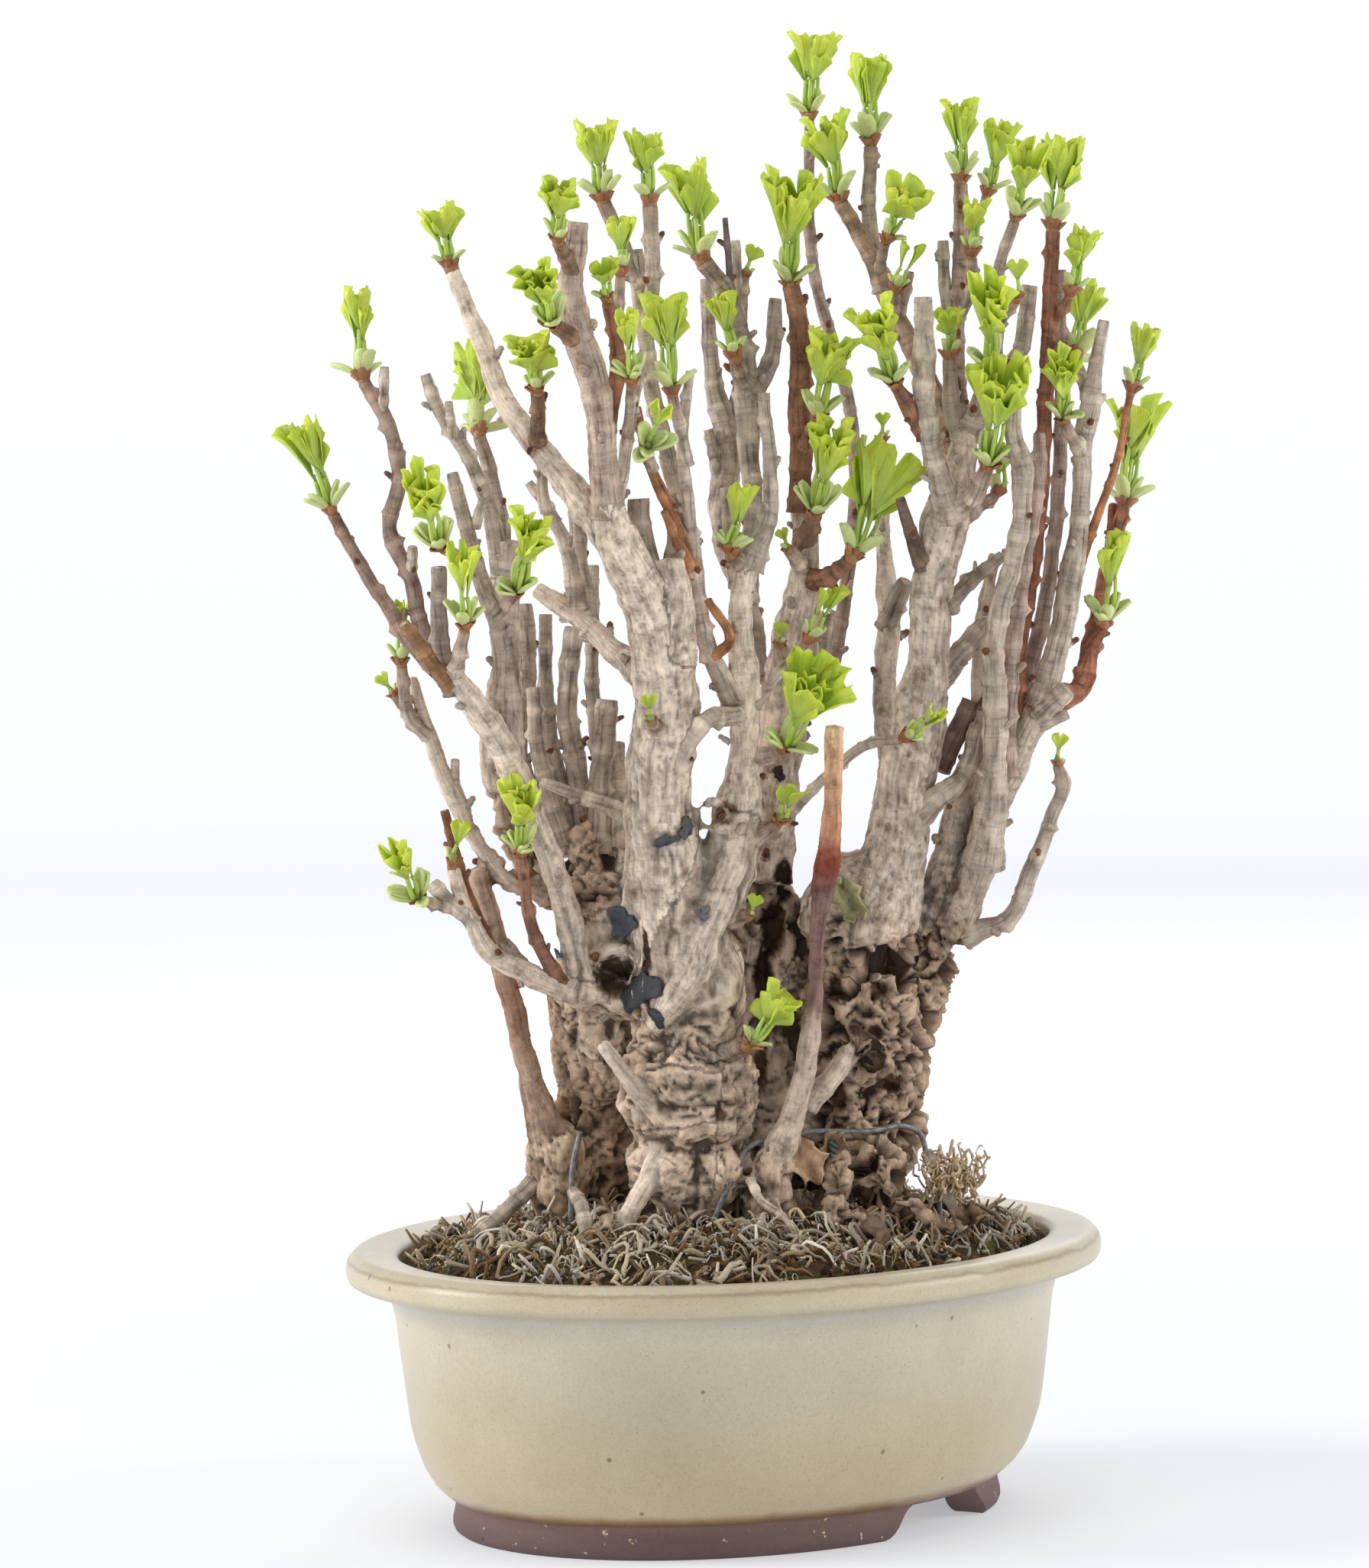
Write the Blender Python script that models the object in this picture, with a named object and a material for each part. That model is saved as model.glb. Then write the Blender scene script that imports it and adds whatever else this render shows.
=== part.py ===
"""Ginkgo bonsai in an oval glazed pot, in metres, +Z up.

The origin is at the middle of the pot's foot. The pot's long side runs along X.
The tree faces FRONT_TURN from the pot's own axes, and its routes are written as
they show from that front: across, up and depth in millimetres.
"""
import math
import random

import bmesh
import bpy
from mathutils import Matrix, Vector, noise

for old in list(bpy.data.objects):
    bpy.data.objects.remove(old, do_unlink=True)

# Driving dimensions
MM = 0.001
GAP = 0.0003
POT_LENGTH = 0.346
POT_WIDTH = 0.282
POT_HEIGHT = 0.110
POT_SEGMENTS = 28
FLOOR_UNDERSIDE = 0.013
FLOOR_TOP = 0.021
FOOT_INSET = 0.042
FOOT_THICKNESS = 0.015
NOTCH_WIDTH = 0.080
NOTCH_SLANT = 0.014
NOTCH_HEIGHT = 0.0125
DRAIN_RADIUS = 0.011
DRAIN_SPACING = 0.130
SCREEN_SIDE = 0.036
SCREEN_THICKNESS = 0.0012
SOIL_EDGE = 0.104
SOIL_CROWN = 0.119
WIRE_RADIUS = 0.0011
ROOT_CLEARANCE = 0.0005
BLADE_THICKNESS = 0.0007
WIDE_BUNCH = 30
STALK_HALF_WIDTH = 0.0006
FINE_SWELLING = 22
RIPPLE = 0.10
BUD_LENGTH = 0.006
BUD_LENGTH_SHARE = 0.3
BUD_RADIUS = 0.0018
BUD_TOP_RADIUS = 0.0024
BUD_SIDES = 5
FAN_WIDEST = 0.010
FAN_NARROWEST = 0.0030
FOOT_SUNK = 0.0004
FOOT_SPREAD = 0.0013

# Ranges drawn from for each leaf: the stalk's share of the bunch's height, and the fan's shape
STALK_SHARE = (0.42, 0.58)
FAN_RISE = (0.86, 1.0)
FAN_REACH = (0.5, 0.66)
FAN_SWAY = (0.05, 0.11)
FAN_CUP = 0.75
FAN_NOTCH = 0.80
FAN_ROUNDING = 0.10

# The front view that the routes are read in
FRONT_TURN = math.radians(-60)
EYE_DISTANCE = 3.395
EYE_HEIGHT = 0.517
CROWN_START = 235
CROWN_FULL = 440
CROWN_SPREAD = 0.95
FRONT = Matrix.Rotation(FRONT_TURN, 3, "Z")

# Pot outline, as distance in from the rim's outer edge and height
POT_OUTSIDE = [
    (0.042, 0.000), (0.042, 0.013), (0.031, 0.023), (0.025, 0.040), (0.022, 0.062),
    (0.019, 0.086), (0.014, 0.0955), (0.001, 0.0985), (0.000, 0.1060), (0.005, 0.1100),
    (0.030, 0.1087),
]
POT_INSIDE = [(0.048, FLOOR_TOP), (0.036, 0.032), (0.028, 0.070), (0.021, 0.101), (0.021, 0.114)]

# Swellings of the trunk: across, up, depth, then half sizes across, in depth and up
SWELLINGS = [
    (-14, 206, -22, 23, 19, 34), (-14, 166, -22, 27, 24, 30), (-14, 136, -20, 25, 24, 26),
    (-24, 246, -14, 16, 16, 30), (-50, 186, 0, 17, 20, 30), (-45, 232, 0, 18, 16, 32),
    (-60, 206, 2, 10, 14, 16), (-52, 262, 2, 9, 9, 12), (56, 236, 8, 25, 24, 28),
    (67, 246, 4, 13, 18, 18), (55, 192, 8, 27, 26, 34), (53, 152, 8, 27, 26, 28),
    (69, 182, 10, 12, 20, 28), (14, 206, 24, 27, 20, 50), (14, 156, 22, 32, 24, 38),
    (60, 136, -18, 12, 10, 13), (44, 134, -24, 7, 8, 12), (-22, 132, -38, 11, 10, 13),
    (-2, 134, -38, 9, 9, 13), (-66, 136, -13, 13, 14, 22), (-51, 150, 6, 16, 18, 36),
]
SUNKEN_BASE = (8, 98, 0, 66, 38, 30)

# Trunks, limbs, stems and twigs: across, up, depth and radius along each
LIMBS = {
    "front_trunk": [(-14, 215, -24, 20), (-20, 250, -24, 17), (-25, 280, -25, 14), (-21, 318, -27, 13),
                    (-24, 350, -28, 12), (-33, 372, -30, 10), (-40, 388, -32, 8.5), (-44, 402, -33, 6)],
    "front_stem": [(-43, 396, -32, 6), (-45, 424, -34, 5.4), (-47, 445, -35, 5.8), (-54, 468, -36, 6.4),
                   (-56, 482, -37, 4.8), (-53, 511, -37, 4)],
    "front_fork": [(-19, 340, -28, 10), (-17, 360, -27, 8), (-19, 378, -26, 6)],
    "front_knob": [(-24, 366, -24, 5), (-30, 388, -21, 4.2), (-31, 402, -20, 4.6)],
    "front_spur": [(-56, 492, -38, 3), (-61, 503, -44, 2.6)],
    "knot_spur": [(-53, 464, -36, 4), (-63, 470.5, -42, 2.6)],
    "cross_twig": [(-41, 392, -30, 3.2), (-35, 425, -28, 2.3), (-29, 454, -27, 1.6)],
    "side_twig": [(-35, 425, -27, 2.2), (-33, 447, -36, 2)],
    "bud_twig": [(-43, 424, -31, 3), (-39, 466, -30, 2.8), (-42, 479, -31, 2.4)],
    "bud_twig_fork": [(-39, 462, -29, 2.4), (-37, 489, -27, 2)],
    "grey_stem": [(-19, 370, -25, 4.6), (-15, 392, -17, 3.6), (-25, 445, -15, 3.2), (-28, 470, -15, 3.4),
                  (-31, 500, -15, 3.2)],
    "grey_stem_left": [(-29, 485, -15, 2.8), (-36, 502, -16, 2.8), (-43, 518, -17, 3)],
    "grey_stem_right": [(-27, 468, -15, 2.6), (-24, 492, -18, 3), (-25, 517, -18, 3)],
    "red_twig": [(-9, 371, -20, 3), (-19, 398, -23, 2.4), (-27, 418, -25, 2.1), (-31, 438, -26, 1.6)],
    "fan_spur": [(-25, 414, -25, 2), (-27, 421, -30, 1.6)],
    "centre_trunk": [(-6, 238, -20, 15), (3, 262, -18, 12), (8, 285, -17, 8.6), (9, 303, -16, 6),
                     (10, 320, -16, 6.4), (9, 360, -15, 5), (12, 379, -15, 5.2)],
    "centre_spur": [(11, 374, -15, 4), (6, 379, -17, 3)],
    "centre_stem": [(12, 374, -15, 5), (19, 390, -14, 3.3), (19, 443, -13, 2.2)],
    "centre_stub": [(9, 368, -13, 4), (5, 384, -6, 2.6), (4, 406, -6, 2.6)],
    "long_twig": [(6, 322, -18, 4.5), (-5, 345, -20, 3.6), (-9, 378, -20, 2.9), (-13, 430, -19, 2.2),
                  (-10, 452, -19, 1.8)],
    "long_twig_knob": [(-11, 415, -20, 2), (-17, 442, -23, 2.4)],
    "pale_bridge": [(-18, 284, -26, 4), (-16, 297, -32, 3.4), (-8, 312, -33, 3.6), (8, 317, -18, 4)],
    "back_pale_stem": [(14, 330, 14, 6), (13, 352, 18, 4.4), (2, 392, 23, 5), (4, 424, 25, 6),
                       (-1, 450, 26, 3.2), (-3, 488, 28, 2.8)],
    "back_pale_fork": [(5, 425, 25, 4), (12, 455, 27, 2.4)],
    "knuckled_stem": [(11, 362, -14, 4.4), (14, 400, 1, 3.4), (12, 436, 6, 4.8), (11, 460, 6, 4.2),
                      (5, 482, 4, 3.6), (-4, 494.5, 3, 3.6)],
    "dark_twig": [(7, 476, 4, 1.8), (4.5, 512, 4, 1.1)],
    "short_back_stub": [(10, 468, 7, 2.2), (8.5, 503, 9, 1.8)],
    "knuckle_spur": [(11, 448, 4, 3.4), (8, 456, 0, 3)],
    "knuckle_side": [(13, 440, 6, 4), (21, 454, 8, 3.5), (24, 480, 10, 2.6)],
    "second_trunk": [(15, 250, 14, 14), (19, 280, 14, 11.5), (26, 325, 13, 10.5), (31, 352, 9, 9),
                     (35, 376, 6, 6), (33, 400, 4, 4.6)],
    "red_stem": [(33, 396, 4, 4.6), (33, 440, 3, 4.4), (33, 470, 2, 4), (30, 485, 1, 3.4)],
    "red_stem_spur": [(34, 420, 3, 3), (39, 431, -2, 2.4)],
    "second_trunk_spur": [(34, 384, 5, 4), (38, 395, -3, 3.2)],
    "red_bud_twig": [(36, 368, 6, 4), (44, 371, 0, 3.4), (52, 377, -4, 3)],
    "thin_twig": [(10, 316, -14, 3), (24, 333, -9, 1.9), (34, 344, -10, 1.9)],
    "back_spur": [(30, 320, 22, 5), (38, 336, 23, 3.8), (43, 356, 22, 3)],
    "tall_stem": [(26, 312, 20, 6), (43, 334, 31, 3.2), (51, 370, 33, 2.6), (54, 425, 40, 2.5),
                  (38, 500, 45, 2.3), (38, 549, 45, 2)],
    "pole": [(14, 98, -24, 10), (20, 138, -37, 8.6), (26, 154, -38, 5.4), (34, 188, -36, 4.4),
             (36, 202, -35, 3.6), (38, 236, -34, 3.6), (42, 258, -32, 5.4), (43, 268, -32, 4.4),
             (45, 312, -30, 4.2)],
    "low_spur": [(-2, 183, -26, 6), (9, 185, -44, 3)],
    "trunk_spur": [(8, 268, -16, 5), (18, 271, -20, 3), (22, 273.5, -22, 2.4)],
    "fan_leaf_spur": [(9, 298, -14, 4), (18, 300, -18, 3), (24, 302, -22, 2.6)],
    "pale_twig": [(20, 270, 6, 3.6), (33, 283, -4, 2), (62, 305, -16, 2), (71, 306, -18, 2)],
    "grey_back_stem": [(73, 288, 4, 8), (65, 314, 24, 5), (67, 352, 30, 5), (65, 388, 33, 3.2),
                       (65, 424, 28, 2.2)],
    "grey_back_fork": [(66, 350, 30, 4), (74, 368, 24, 3.4)],
    "right_trunk": [(60, 235, 2, 20), (69, 266, 0, 13), (76, 304, 0, 12), (80, 322, 0, 11),
                    (83, 340, 0, 8.2), (84, 362, 0, 8.4), (90, 392, 0, 9.6), (95, 408, 0, 7.4),
                    (98, 426, 2, 5)],
    "right_dark_twig": [(82, 374, -2, 4), (77, 384, -4, 2.8), (72, 401, -6, 2)],
    "right_cut_stem": [(92, 394, -2, 6), (85, 420, -10, 4), (82, 440, -11, 4), (82, 456, -11, 4.8),
                       (82, 468, -11, 3.8), (82, 480, -11, 3.4)],
    "right_red_spur": [(82, 425, -10, 3), (71, 445, -13, 2.8)],
    "right_short_stem": [(98, 422, 3, 4), (93, 434, 2, 3.4), (92, 455, 2, 2.8)],
    "fork_stem": [(95, 412, 6, 5.4), (88, 436, 14, 4.2), (70, 475, 18, 3.8), (57, 505, 18, 3.2),
                  (50, 517, 18, 3)],
    "fork_stem_back": [(66, 482, 18, 3.4), (61, 512, 21, 3), (62, 539, 21, 2.6)],
    "fork_spur_high": [(64, 489, 18, 2.4), (67, 501, 15, 2)],
    "fork_spur_low": [(71, 472, 18, 2.4), (71, 482, 14, 2)],
    "high_stem": [(97, 420, 6, 4.4), (95, 445, 12, 3.6), (95, 470, 16, 3.2), (97, 500, 18, 3),
                  (97, 524, 18, 2.7)],
    "high_stem_right": [(97, 492, 17, 2.4), (107, 519, 22, 1.6)],
    "high_stem_spur": [(96, 472, 16, 2.4), (101, 484, 12, 2.2), (101, 495, 10, 2.2)],
    "high_stub": [(95, 456, 14, 2.4), (91, 478, 17, 2.4), (90, 502, 17, 2.2)],
    "inner_stem": [(98, 424, 3, 4.2), (108, 450, 2, 3.4), (113, 495, 0, 2.3), (118, 509, 0, 2.1)],
    "inner_spur": [(105, 440, 2, 3), (107, 451, -6, 2.4)],
    "inner_stub": [(107, 446, 2, 3), (119, 457, 9, 3.4), (124, 484, 10, 3.1)],
    "inner_twig": [(112, 470, 0, 2.2), (119, 479, -5, 1.8)],
    "front_bud_knob": [(94, 398, -3, 4.4), (102, 403, -8, 3.6), (106, 412, -10, 3)],
    "twisted_twig": [(96, 392, 2, 3), (109, 401, 7, 2.1)],
    "knobby_branch": [(87, 356, 0, 4), (101, 369, 6, 2.8), (112, 378, 8, 2.2)],
    "knobby_bridge": [(86, 330, 4, 5), (94, 338, 8, 4.4), (105, 352, 14, 3.6)],
    "knuckle_low": [(76, 276, 0, 6), (84, 282, -5, 5), (92, 287, -2, 4), (102, 311, 9, 3.2)],
    "split_trunk": [(64, 208, 16, 15), (82, 228, 15, 11), (89, 252, 14, 9), (95, 276, 14, 7),
                    (101, 305, 14, 4), (104, 352, 14, 3.4), (109, 379, 14, 2.8)],
    "outer_trunk": [(62, 194, 10, 20), (80, 208, 10, 11.5), (90, 225, 9, 9), (101, 256, 6, 7.2),
                    (107, 278, 5, 6.6), (119, 304, 5, 6.5), (127, 320, 5, 5.6), (132, 334, 4, 4.6)],
    "outer_stub": [(125, 315, 4, 5), (137, 325, 0, 4)],
    "outer_bud_stub": [(125, 311, 4, 3.2), (137, 315, 1, 2)],
    "outer_front_stem": [(103, 256, -2, 7), (107, 278, -8, 6.4), (108, 300, -10, 4.6), (109, 318, -11, 5.2),
                         (108, 335, -12, 4.2), (120, 398, -13, 3.7), (120, 413, -13, 4.6),
                         (117, 426, -13, 3.3), (117, 440, -13, 2.9)],
    "outer_middle_stem": [(112, 292, 1, 5), (114, 325, -3, 3.6), (122, 386, -4, 3.8), (127, 412, -4, 3),
                          (127, 426, -4, 2.2)],
    "outer_red_stem": [(116, 302, 6, 4), (118, 335, 5, 3), (126, 385, 3, 2.6), (130, 445, 3, 3.1),
                       (133, 505, 3, 2.8)],
    "outer_red_spur": [(131, 464, 3, 2.4), (139, 479, 1, 1.8)],
    "outer_tan_stem": [(112, 294, 10, 4.8), (118, 318, 13, 3.6), (129, 360, 13, 3), (134, 400, 13, 2.8),
                       (136, 490, 13, 2.2)],
    "outer_thick_stem": [(126, 318, 5, 5.6), (133, 340, 4, 4.6), (140, 375, 3, 4.9), (142, 386, 3, 3.7),
                         (145, 425, 3, 3.6), (147, 435, 3, 4.6), (149, 450, 3, 2.9), (153, 470, 3, 2.2)],
    "outer_thick_spur": [(144, 416, 3, 3), (137, 430, -3, 2.3)],
    "outer_back_spur": [(147, 438, 3, 2.8), (142, 454, 10, 2)],
    "rust_stem": [(133, 322, 4, 4.4), (139, 323, 6, 4.2), (147, 345, 16, 3.6), (154, 374, 28, 3),
                  (160, 396, 34, 2.6)],
    "rust_stub": [(154, 372, 27, 2.6), (156, 397, 38, 2.2)],
    "rust_spur": [(146, 341, 14, 3), (151, 349, 13, 2.8)],
    "orange_twig": [(141, 372, 4, 2.6), (150, 394, 12, 1.7), (158, 417, 17, 1.5), (163, 441, 19, 1.5)],
    "low_right_branch": [(96, 228, 7, 5), (104, 231, 4, 3.6), (111, 233, 2, 3.4), (122, 253, 0, 3.5),
                         (131, 276, 0, 2.6), (135, 288, 0, 3.2), (133, 295, 0, 1.9)],
    "left_limb": [(-44, 204, -12, 10), (-56, 215, -20, 6.4), (-60, 235, -24, 5.6), (-74, 278, -32, 5.4),
                  (-86, 305, -36, 6.2), (-101, 328, -40, 5), (-107, 337, -41, 3.8)],
    "left_cut_stem": [(-84, 300, -33, 6), (-84, 318, -30, 6.4), (-84, 342, -31, 4.6), (-93, 371, -33, 3.4),
                      (-101, 400, -34, 2.8), (-104, 413, -34, 2.4)],
    "left_far_twig": [(-103, 328, -39, 3.6), (-118, 342, -36, 3), (-131, 362, -31, 2.8),
                      (-138, 373, -29, 2.6), (-151, 397, -26, 2.3)],
    "left_brown_stub": [(-106, 329, -41, 3), (-124, 354, -46, 2.4)],
    "left_high_twig": [(-103, 328, -38, 3.8), (-116, 350, -33, 3.2), (-121, 372, -29, 3),
                       (-129, 390, -27, 3), (-125, 410, -27, 2.9), (-130, 435, -26, 2.8),
                       (-138, 449, -25, 2.6)],
    "left_front_twig": [(-95, 377, -33, 2.6), (-108, 383, -40, 2)],
    "left_thick_stub": [(-104, 326, -38, 4), (-109, 345, -38, 3.4), (-110, 376, -38, 3)],
    "left_front_spur": [(-104, 334, -41, 3), (-100, 351, -46, 2.2)],
    "left_inner_spur": [(-88, 356, -32, 3), (-80, 365, -40, 2.2)],
    "left_back_stub": [(-85, 322, -24, 6), (-84, 340, -20, 5.6), (-84, 368, -18, 5.4), (-82, 386, -18, 4.8)],
    "left_back_twig": [(-85, 372, -18, 4), (-90, 400, -18, 3), (-98, 420, -18, 2.8), (-110, 440, -18, 2.6),
                       (-114, 452, -18, 2.2)],
    "left_back_shoot": [(-84, 378, -16, 3.4), (-86, 400, -11, 3), (-93, 427, -10, 2.6)],
    "left_knot_limb": [(-64, 248, 4, 8), (-84, 276, 1, 6.4), (-89, 300, -6, 6), (-86, 318, -18, 7),
                       (-85, 326, -24, 6)],
    "left_outer_limb": [(-60, 244, -6, 8), (-74, 248, -12, 5), (-83, 252, -14, 4.6), (-96, 267, -15, 3.7),
                        (-106, 288, -16, 4.2), (-114, 308, -17, 3), (-121, 333, -17, 2.2)],
    "left_outer_shoot": [(-115, 310, -17, 2.8), (-122, 317, -20, 2.7), (-125, 337, -23, 2.2)],
    "left_outer_bud": [(-121, 316, -19, 2.4), (-128, 326, -16, 1.8)],
    "arching_stem": [(-42, 388, -30, 8), (-52, 400, -26, 6.8), (-66, 418, -18, 5.4), (-83, 441, -10, 4.6),
                     (-93, 468, -6, 4), (-103, 493, -4, 3.3)],
    "arching_spur": [(-70, 422, -16, 3.4), (-70, 444, -27, 2.6)],
    "back_stem_1": [(-70, 272, 8, 6), (-80, 300, 12, 4.6), (-76, 340, 15, 4.4), (-77, 361, 16, 4)],
    "back_stem_2": [(-58, 262, 14, 5), (-68, 318, 20, 3), (-68, 357, 20, 2.6)],
    "back_stem_3": [(-62, 266, 6, 4.4), (-71, 300, 2, 3.2), (-73, 328, 0, 3)],
    "back_stem_4": [(-52, 262, 12, 5), (-56, 292, 14, 4.2), (-60, 320, 15, 4), (-57, 352, 15, 3.8)],
    "back_stem_5": [(-50, 254, 4, 6), (-46, 274, 15, 4), (-50, 328, 27, 2.8), (-49, 376, 28, 2.4)],
    "back_stem_6": [(-48, 262, 4, 5.4), (-47, 292, 6, 4.4), (-44, 323, 6, 4.4)],
    "back_stem_7": [(-41, 246, 2, 7), (-41, 306, 14, 3.4)],
    "back_bridge": [(-25, 330, -23, 9), (-40, 341, -8, 5.2), (-58, 358, 0, 4.2), (-72, 367, 3, 3.2)],
    "back_bridge_twig": [(-56, 354, 0, 3.6), (-61, 388, 1, 2.8), (-67, 398, 1, 2.5), (-68, 425, 1, 2)],
    "back_bridge_stem": [(-50, 348, -2, 4), (-54, 375, 7, 3.5), (-56, 410, 9, 3.1)],
    "lying_twig": [(-30, 272, -18, 5), (-42, 280, -18, 3.4), (-58, 286, -17, 2.6), (-71, 291, -17, 1.8)],
    "low_left_branch": [(-38, 203, -16, 9), (-55, 206, -24, 5.4), (-78, 215, -32, 4.8), (-90, 222, -33, 4.2),
                        (-101, 241, -33, 3.4), (-106, 258, -33, 2.6)],
    "low_left_stub": [(-98, 235, -33, 3.2), (-114, 251, -36, 2.8)],
    "low_left_spur": [(-105, 241, -34, 2.4), (-118, 244.5, -41, 2.1)],
    "low_left_back_stub": [(-77, 215, -31, 3.2), (-86, 228, -27, 2)],
    "low_left_red_twig": [(-92, 226, -31, 2.4), (-101, 250, -26, 1.9), (-109, 280, -26, 1.9)],
    "low_front_twig": [(-64, 211, -28, 3.2), (-74, 230, -37, 2.6), (-79, 261, -38, 2.1)],
    "brown_pole": [(-66, 112, -14, 9), (-69, 142, -15, 9), (-77, 175, -15, 5), (-86, 215, -16, 4.8),
                   (-97, 257, -17, 4.4)],
    "front_trunk_bud": [(-24, 311, -32, 3.6), (-27, 314, -42, 2.2)],
    "trunk_bud": [(4, 236, -22, 4), (11, 237, -33, 2)],
    "second_trunk_bud": [(26, 336, 5, 4), (24, 344, 0, 2.4)],
    "stem_bud": [(33, 375, 4, 3.4), (28, 381, -4, 2.2)],
    "knuckle_twig": [(10, 470, 6, 2.4), (12, 489, 9, 1.8)],
}

# Surface roots: the angle that each leaves the trunk at, as seen from above, and its length
ROOTS = [
    (200, 50), (228, 58), (252, 42), (276, 54), (302, 58), (334, 50), (12, 56), (58, 48),
    (104, 56), (150, 54),
]

# Leaf bunches: the limb that each stands on, its top's middle across and up, its width and leaves
BUNCHES = {
    "leaf_bunch_far_left": ("left_far_twig", -163, 433, 20, 4),
    "leaf_bunch_left_shoot": ("left_outer_shoot", -126, 361, 11, 3),
    "leaf_bunch_left_high": ("left_high_twig", -140, 484, 14, 4),
    "leaf_bunch_left_front": ("left_front_twig", -116, 411, 19, 3),
    "leaf_bunch_left_spur": ("left_front_spur", -101, 381, 13, 3),
    "leaf_bunch_left_inner": ("left_inner_spur", -72, 394, 15, 4),
    "leaf_bunch_left_back": ("left_back_shoot", -94, 457, 21, 4),
    "leaf_bunch_arch_tip": ("arching_stem", -108, 516, 20, 4),
    "leaf_bunch_arch_spur": ("arching_spur", -73, 464, 24, 4),
    "leaf_bunch_knot": ("knot_spur", -69, 491, 18, 4),
    "leaf_bunch_front_stem": ("front_spur", -60, 525, 20, 4),
    "leaf_bunch_grey_left": ("grey_stem_left", -46, 549, 20, 4),
    "leaf_bunch_grey_right": ("grey_stem_right", -27, 544, 17, 4),
    "leaf_bunch_bud_fork": ("bud_twig_fork", -36, 511, 13, 3),
    "leaf_bunch_bud_twig": ("bud_twig", -43, 493, 13, 3),
    "leaf_bunch_side_twig": ("side_twig", -34, 473, 10, 3),
    "leaf_bunch_long_twig": ("long_twig_knob", -20, 481, 21, 4),
    "leaf_bunch_fan": ("fan_spur", -21, 436, 13, 1),
    "leaf_bunch_knuckle_tip": ("knuckled_stem", -10, 532, 22, 4),
    "leaf_bunch_knuckle": ("knuckle_spur", 2, 480, 15, 3),
    "leaf_bunch_red_stem": ("red_stem", 31, 526, 26, 4),
    "leaf_bunch_tall_stem": ("tall_stem", 40, 583, 23, 4),
    "leaf_bunch_fork_back": ("fork_stem_back", 61, 574, 20, 4),
    "leaf_bunch_fork": ("fork_stem", 45, 551, 22, 4),
    "leaf_bunch_fork_spur": ("fork_spur_high", 78, 522, 22, 3),
    "leaf_bunch_high": ("high_stem", 98, 556, 15, 4),
    "leaf_bunch_high_right": ("high_stem_right", 114, 546, 15, 3),
    "leaf_bunch_inner_tip": ("inner_stem", 124, 536, 14, 3),
    "leaf_bunch_outer_tip": ("outer_red_stem", 138, 540, 25, 5),
    "leaf_bunch_outer_spur": ("outer_red_spur", 145, 504, 14, 3),
    "leaf_bunch_high_spur": ("high_stem_spur", 103, 516, 14, 3),
    "leaf_bunch_inner": ("inner_spur", 108, 483, 15, 3),
    "leaf_bunch_outer_back": ("outer_back_spur", 146, 482, 15, 3),
    "leaf_bunch_short_stem": ("right_short_stem", 93, 474, 14, 3),
    "leaf_bunch_right_front": ("front_bud_knob", 113, 449, 30, 5),
    "leaf_bunch_thick_spur": ("outer_thick_spur", 137, 455, 17, 3),
    "leaf_bunch_orange_twig": ("orange_twig", 170, 465, 15, 3),
    "leaf_bunch_rust_tip": ("rust_stem", 166, 437, 25, 4),
    "leaf_bunch_rust_spur": ("rust_spur", 157, 384, 12, 3),
    "leaf_bunch_red_spur": ("right_red_spur", 62, 474, 20, 4),
    "leaf_bunch_red_middle": ("red_stem_spur", 46, 464, 24, 4),
    "leaf_bunch_second_trunk": ("second_trunk_spur", 46, 429, 20, 4),
    "leaf_bunch_wide": ("red_bud_twig", 68, 417, 38, 5),
    "leaf_bunch_thin_twig": ("thin_twig", 45, 366, 13, 2),
    "leaf_bunch_centre": ("centre_spur", 11, 405, 12, 3),
    "leaf_bunch_low_fans": ("fan_leaf_spur", 39, 333, 30, 3),
    "leaf_bunch_trunk_side": ("trunk_spur", 28, 287, 13, 2),
    "leaf_bunch_pale_twig": ("pale_twig", 86, 318, 11, 2),
    "leaf_bunch_low_left": ("low_front_twig", -79, 287, 16, 3),
    "leaf_bunch_low_far_left": ("low_left_spur", -127, 263, 12, 3),
    "leaf_bunch_foot": ("low_spur", 24, 206, 24, 3),
    "leaf_bunch_twisted": ("twisted_twig", 112, 419, 11, 3),
}

# Small sprouts, of a leaf or two, that are fused to the wood they grow from
SPROUTS = {
    "sprout_left": ("left_outer_bud", -134, 334, 8, 1),
    "sprout_low_left": ("low_left_branch", -102, 275, 10, 1),
    "sprout_front_trunk": ("front_trunk_bud", -28, 324, 9, 1),
    "sprout_trunk": ("trunk_bud", 14, 245, 7, 1),
    "sprout_second_trunk": ("second_trunk_bud", 24, 353, 6, 1),
    "sprout_stem": ("stem_bud", 25, 390, 7, 1),
    "sprout_grey_stem": ("grey_back_stem", 66, 435, 9, 1),
    "sprout_low_right": ("low_right_branch", 134, 307, 7, 1),
    "sprout_knuckle": ("knuckle_twig", 16, 501, 11, 1),
    "sprout_inner": ("inner_twig", 119, 494, 12, 1),
    "sprout_fork": ("fork_spur_low", 78, 500, 13, 2),
}

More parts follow.
